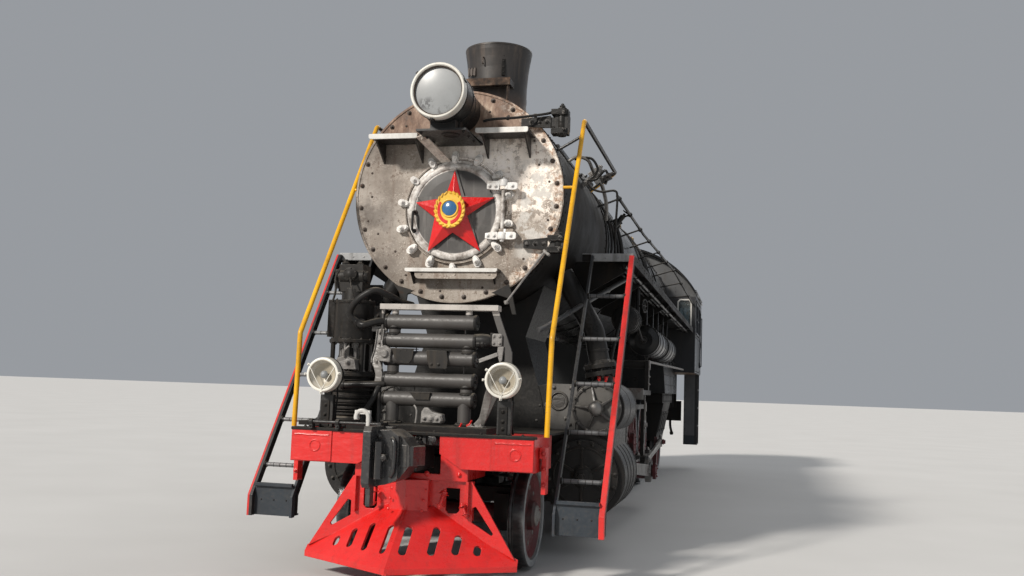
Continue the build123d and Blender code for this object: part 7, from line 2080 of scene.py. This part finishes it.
for side, sg in (("left", 1), ("right", -1)):
    X = sg * 1.620
    s = Shape()
    for (a, b, c, d) in ((14.80, 15.20, 3.455, 3.485), (14.80, 15.20, 2.915, 2.945), (14.795, 14.822, 2.945, 3.455), (15.178, 15.205, 2.945, 3.455)):
        s.box(min(X - sg * 0.002, X + sg * 0.010), max(X - sg * 0.002, X + sg * 0.010), a, b, c, d)
    for z in (2.25, 3.36):
        s.box(min(X, X + sg * 0.010), max(X, X + sg * 0.010), 14.73, 14.92, z - 0.022, z + 0.022)
        for y in (14.80, 14.88):
            s.bolt(V(X + sg * 0.010, y, z), (sg, 0, 0), 0.009, 0.007, wash=False)
    s.rivets(V(X, 14.74, 2.14), V(X, 15.26, 2.14), (sg, 0, 0), 0.086, 0.009)
    s.rivets(V(X, 14.74, 2.80), V(X, 15.26, 2.80), (sg, 0, 0), 0.086, 0.009)
    s.obox((X + sg * 0.006, 15.225, 2.72), (0, 1, 0), (0, 0, 1), (sg, 0, 0), 0.022, 0.060, 0.006)
    s.tube(rounded([(X + sg * 0.004, 15.225, 2.745), (X + sg * 0.0195, 15.225, 2.745), (X + sg * 0.0195, 15.130, 2.740)], 0.008), 0.0075, 8)
    piece("cab_door_trim_" + side, s, "cab_paint", body="cab_door_" + side, bevel=0.001)
# cab front: white framed windows, weathered upper wall, hand rail
dress("cab_front", banded("cab_front_paint", [
    (None, (0.012, 0.013, 0.016)),
    (m_all(m_z(3.62, 4.70), m_y(12.80, 12.905)), (0.070, 0.072, 0.075)),
], rough=(0.34, 0.58)))
s = Shape()
for sg in (-1, 1):
    outer = [(1.245, 2.935), (1.545, 2.935), (1.545, 3.512), (1.496, 3.570), (1.294, 3.570), (1.245, 3.512)]
    inner = [(1.275, 2.965), (1.515, 2.965), (1.515, 3.498), (1.478, 3.540), (1.312, 3.540), (1.275, 3.498)]
    for a in range(6):
        b = (a + 1) % 6
        vs = [V(sg * p[0], y, p[1]) for y in (12.886, 12.906) for p in (outer[a], outer[b], inner[b], inner[a])]
        s.add(vs, [(0, 1, 2, 3), (4, 7, 6, 5), (0, 4, 5, 1), (1, 5, 6, 2), (2, 6, 7, 3), (3, 7, 4, 0)])
piece("cab_front_window_frames", s, "white_paint", bevel=0.002)
s = Shape()
for sg in (-1, 1):
    s.rivets(V(sg * 1.20, 12.900, 3.05), V(sg * 1.20, 12.900, 3.80), FRONT, 0.085, 0.010)
    s.rivets(V(sg * 1.585, 12.900, 2.10), V(sg * 1.585, 12.900, 3.66), FRONT, 0.085, 0.010)
    s.rivets(V(sg * 1.585, 15.400, 2.10), V(sg * 1.585, 15.400, 3.66), (0, 1, 0), 0.085, 0.010)
    s.rivets(V(sg * 0.60, 15.400, 2.10), V(sg * 0.60, 15.400, 3.86), (0, 1, 0), 0.085, 0.010)
    for (a, b, c, d) in ((0.765, 1.385, 3.600, 3.640), (0.765, 1.385, 3.010, 3.050), (0.765, 0.800, 3.05, 3.60), (1.350, 1.385, 3.05, 3.60)):
        s.box(min(sg * a, sg * b), max(sg * a, sg * b), 15.398, 15.412, c, d)
    for k in range(6):
        x = sg * (0.85 + k * 0.09)
        s.tube([V(x, 15.416, 3.03), V(x, 15.416, 3.62)], 0.008, 8)
    s.tube(rounded([(sg * 0.60, 15.40, 2.30), (sg * 0.60, 15.445, 2.30), (sg * 0.60, 15.445, 3.60), (sg * 0.60, 15.40, 3.60)], 0.02), 0.014, 10)
s.rivets(V(-0.55, 15.400, 3.95), V(0.55, 15.400, 3.95), (0, 1, 0), 0.085, 0.010)
piece("cab_wall_rivets", s, "cab_paint", bevel=0.0)

# ---------------------------------------------------------------- inside the cab
s = Shape()
s.lathe((0, 13.282, 2.750), (0, 1, 0), [(-0.004, 0), (-0.004, 0.235), (0.018, 0.232), (0.022, 0.20), (0.040, 0.14), (0.044, 0.06), (0.044, 0)], 40)
s.flat(V(-0.26, 13.33, 2.75), V(0.30, 13.33, 2.75), 0.05, 0.018, side=(0, 0, 1))
s.bolt(V(-0.22, 13.335, 2.75), (0, 1, 0), 0.022, 0.02)
for i in range(9):
    for j in range(6):
        x, z = -0.88 + i * 0.22, 2.30 + j * 0.30
        if math.hypot(x, z - 2.75) < 0.30 or x * x + max(0.0, z - 3.38) ** 2 > 0.95 ** 2:
            continue
        s.rivet(V(x, 13.250, z), (0, 1, 0), 0.014)
for sg in (-1, 1):
    s.box(min(sg * 0.95, sg * 1.50), max(sg * 0.95, sg * 1.50), 14.05, 14.50, 2.46, 2.50)
    s.box(min(sg * 1.20, sg * 1.26), max(sg * 1.20, sg * 1.26), 14.22, 14.32, 2.095, 2.46)
piece("backhead", s, "black_body", bevel=0.002)
s = Shape()
s.tube(smooth_path([(0.0, 13.26, 3.90), (0.10, 13.42, 3.92), (0.42, 13.44, 3.86), (0.62, 13.44, 3.76)], 5), 0.016, 10)
s.lathe((0.62, 13.44, 3.76), (0.4, 0, -0.25), [(0, 0), (0, 0.022), (0.10, 0.026), (0.12, 0.014), (0.125, 0)], 14)
for x in (-0.36, 0.34):
    s.rod(V(x, 13.33, 3.28), V(x, 13.33, 3.62), 0.014, 12)
    for z in (3.26, 3.62):
        s.rod(V(x, 13.25, z), V(x, 13.36, z), 0.022, 12)
for x, z, r in ((-0.62, 3.78, 0.075), (-0.42, 3.92, 0.065), (0.20, 4.04, 0.085), (-0.10, 4.08, 0.06)):
    s.lathe((x, 13.28, z), (0, 1, 0), [(-0.03, 0), (-0.03, r), (0.03, r), (0.034, r - 0.010), (0.028, r - 0.014), (0.028, 0)], 28)
for x, z in ((-0.70, 3.30), (-0.76, 3.05), (0.72, 3.30), (0.78, 3.05), (-0.55, 3.55), (0.55, 3.52)):
    s.rod(V(x, 13.25, z), V(x, 13.40, z), 0.012, 10)
    s.lathe((x, 13.40, z), (0, 1, 0), [(-0.008, 0.036), (-0.008, 0.048), (0.008, 0.048), (0.008, 0.036)], 20)
    s.obox((x, 13.40, z), (1, 0, 0), (0, 1, 0), (0, 0, 1), 0.040, 0.005, 0.005)
    s.obox((x, 13.40, z), (1, 0, 0), (0, 1, 0), (0, 0, 1), 0.005, 0.005, 0.040)
piece("backhead_valves", s, "brass_fittings")

# ---------------------------------------------------------------- rear
s = Shape()
for sg in (-1, 1):
    s.rivets(V(sg * 0.28, 15.450, 1.40), V(sg * 1.15, 15.450, 1.40), (0, 1, 0), 0.11, 0.013)
    s.rivets(V(sg * 0.28, 15.450, 1.05), V(sg * 1.15, 15.450, 1.05), (0, 1, 0), 0.11, 0.013)
    s.lathe((sg * 0.62, 15.450, 1.225), (0, 1, 0), [(-0.002, 0), (-0.002, 0.13), (0.020, 0.125), (0.024, 0.09), (0.060, 0.085), (0.070, 0.05), (0.074, 0)], 28)
    for k in range(4):
        t = math.pi / 4 + k * math.pi / 2
        s.bolt(V(sg * 0.62 + 0.11 * math.cos(t), 15.470, 1.225 + 0.11 * math.sin(t)), (0, 1, 0), 0.014, 0.014)
    s.tube(smooth_path([(sg * 0.95, 15.44, 1.00), (sg * 0.95, 15.46, 0.90), (sg * 0.96, 15.48, 0.82), (sg * 0.98, 15.49, 0.74)], 5), 0.028, 12)
    s.lathe((sg * 0.98, 15.49, 0.74), (0.05 * sg, 0.05, -1), [(0, 0), (0, 0.042), (0.060, 0.042), (0.070, 0.028), (0.070, 0)], 14)
    for z in (0.52, 0.92, 1.32, 1.72):
        for i in range(9):
            for j in range(4):
                cx, cy = sg * (1.34 + j * 0.072), 14.75 + i * 0.062
                a = math.radians(45 if (i + j) % 2 else -45)
                u, w = V(math.cos(a), math.sin(a), 0), V(-math.sin(a), math.cos(a), 0)
                s.prism([(-0.015, 0), (0, 0.005), (0.015, 0), (0, -0.005)], V(cx, cy, z), u, w, V(0, 0, 1), -0.001, 0.0024)
    for y in (14.69, 15.31):
        s.rivets(V(sg * 1.33, y, 0.56), V(sg * 1.33, y, 1.98), (0, -1 if y < 15 else 1, 0), 0.14, 0.010)
        s.rivets(V(sg * 1.57, y, 0.56), V(sg * 1.57, y, 1.98), (0, -1 if y < 15 else 1, 0), 0.14, 0.010)
piece("rear_fittings", s, "black_frame", bevel=0.0)

# ---------------------------------------------------------------- left-hand front corner, seen past the hand rail
s = Shape()
P = [(0.905, 2.20, 4.004), (1.000, 2.20, 4.020), (1.097, 2.20, 4.000), (1.152, 2.22, 3.900), (1.110, 2.24, 3.830), (1.060, 2.24, 3.790), (1.140, 2.24, 3.800), (1.228, 2.22, 3.884), (1.260, 2.22, 3.820), (1.235, 2.22, 3.735)]
s.tube(smooth_path(P, 5), 0.014, 10)
s.tube(smooth_path([(1.040, 2.25, 3.789), (1.090, 2.24, 3.70), (1.200, 2.24, 3.66), (1.331, 2.24, 3.670), (1.360, 2.26, 3.60), (1.345, 2.30, 3.30), (1.340, 2.32, 2.966)], 5), 0.012, 10)
s.obox((1.240, 2.22, 3.80), (1, 0, 0.5), (0, 1, 0), (-0.5, 0, 1), 0.060, 0.035, 0.030)
s.lathe((1.290, 2.22, 3.835), (1, 0, 0.4), [(0, 0), (0, 0.024), (0.030, 0.024), (0.036, 0.012), (0.056, 0.010), (0.056, 0)], 12)
s.bolt(V(1.225, 2.185, 3.79), FRONT, 0.014, 0.013)
s.bolt(V(1.262, 2.185, 3.815), FRONT, 0.014, 0.013)
s.lathe((1.126, 4.50, 3.79), (0.6, 0, 0.8), [(-0.14, 0), (-0.14, 0.028), (0, 0.034), (0.024, 0.034), (0.030, 0.018), (0.060, 0.016), (0.060, 0)], 14)
s.lathe((1.175, 4.50, 3.855), (0.6, 0, 0.8), [(-0.006, 0.034), (-0.006, 0.046), (0.006, 0.046), (0.006, 0.034)], 20)
s.obox((1.175, 4.50, 3.855), (0, 1, 0), (0.8, 0, -0.6), (0.6, 0, 0.8), 0.040, 0.005, 0.004)
piece("corner_conduit_valve", s, "black_pipe", bevel=0.001)
s = Shape()
# ribbed lubricator drum and hand wheel under the left-hand board
s.lathe((1.330, 3.35, 2.420), (0, 1, 0), [(0, 0), (0, 0.120), (0.020, 0.150), (0.055, 0.150), (0.060, 0.160), (0.075, 0.160), (0.080, 0.150), (0.200, 0.150), (0.205, 0.160), (0.220, 0.160), (0.225, 0.150), (0.345, 0.150), (0.350, 0.160), (0.365, 0.160), (0.370, 0.150), (0.410, 0.145), (0.430, 0.110), (0.430, 0)], 40)
s.box(1.315, 1.345, 3.42, 3.46, 2.56, 2.94)
s.box(1.315, 1.345, 3.68, 3.72, 2.56, 2.94)
s.tube(smooth_path([(1.33, 3.34, 2.42), (1.33, 3.22, 2.42), (1.30, 3.12, 2.32), (1.24, 3.05, 2.0), (1.22, 2.95, 1.72)], 5), 0.020, 10)
s.lathe((1.470, 4.20, 2.640), (1, -0.3, 0), [(-0.008, 0.070), (-0.008, 0.086), (0.008, 0.086), (0.008, 0.070)], 28)
for k in range(3):
    t = k * math.pi / 3
    s.obox((1.470, 4.20, 2.640), V(0.29 * math.cos(t), 0.957 * math.cos(t), math.sin(t)), V(0.957, -0.29, 0), V(-0.29 * math.sin(t), -0.957 * math.sin(t), math.cos(t)), 0.074, 0.005, 0.006)
s.rod(V(1.470, 4.20, 2.640), V(1.38, 4.227, 2.640), 0.014, 10)
s.rod(V(1.38, 4.227, 2.55), V(1.38, 4.227, 2.92), 0.026, 12)
piece("lubricator_drum", s, "black_pipe", bevel=0.002)
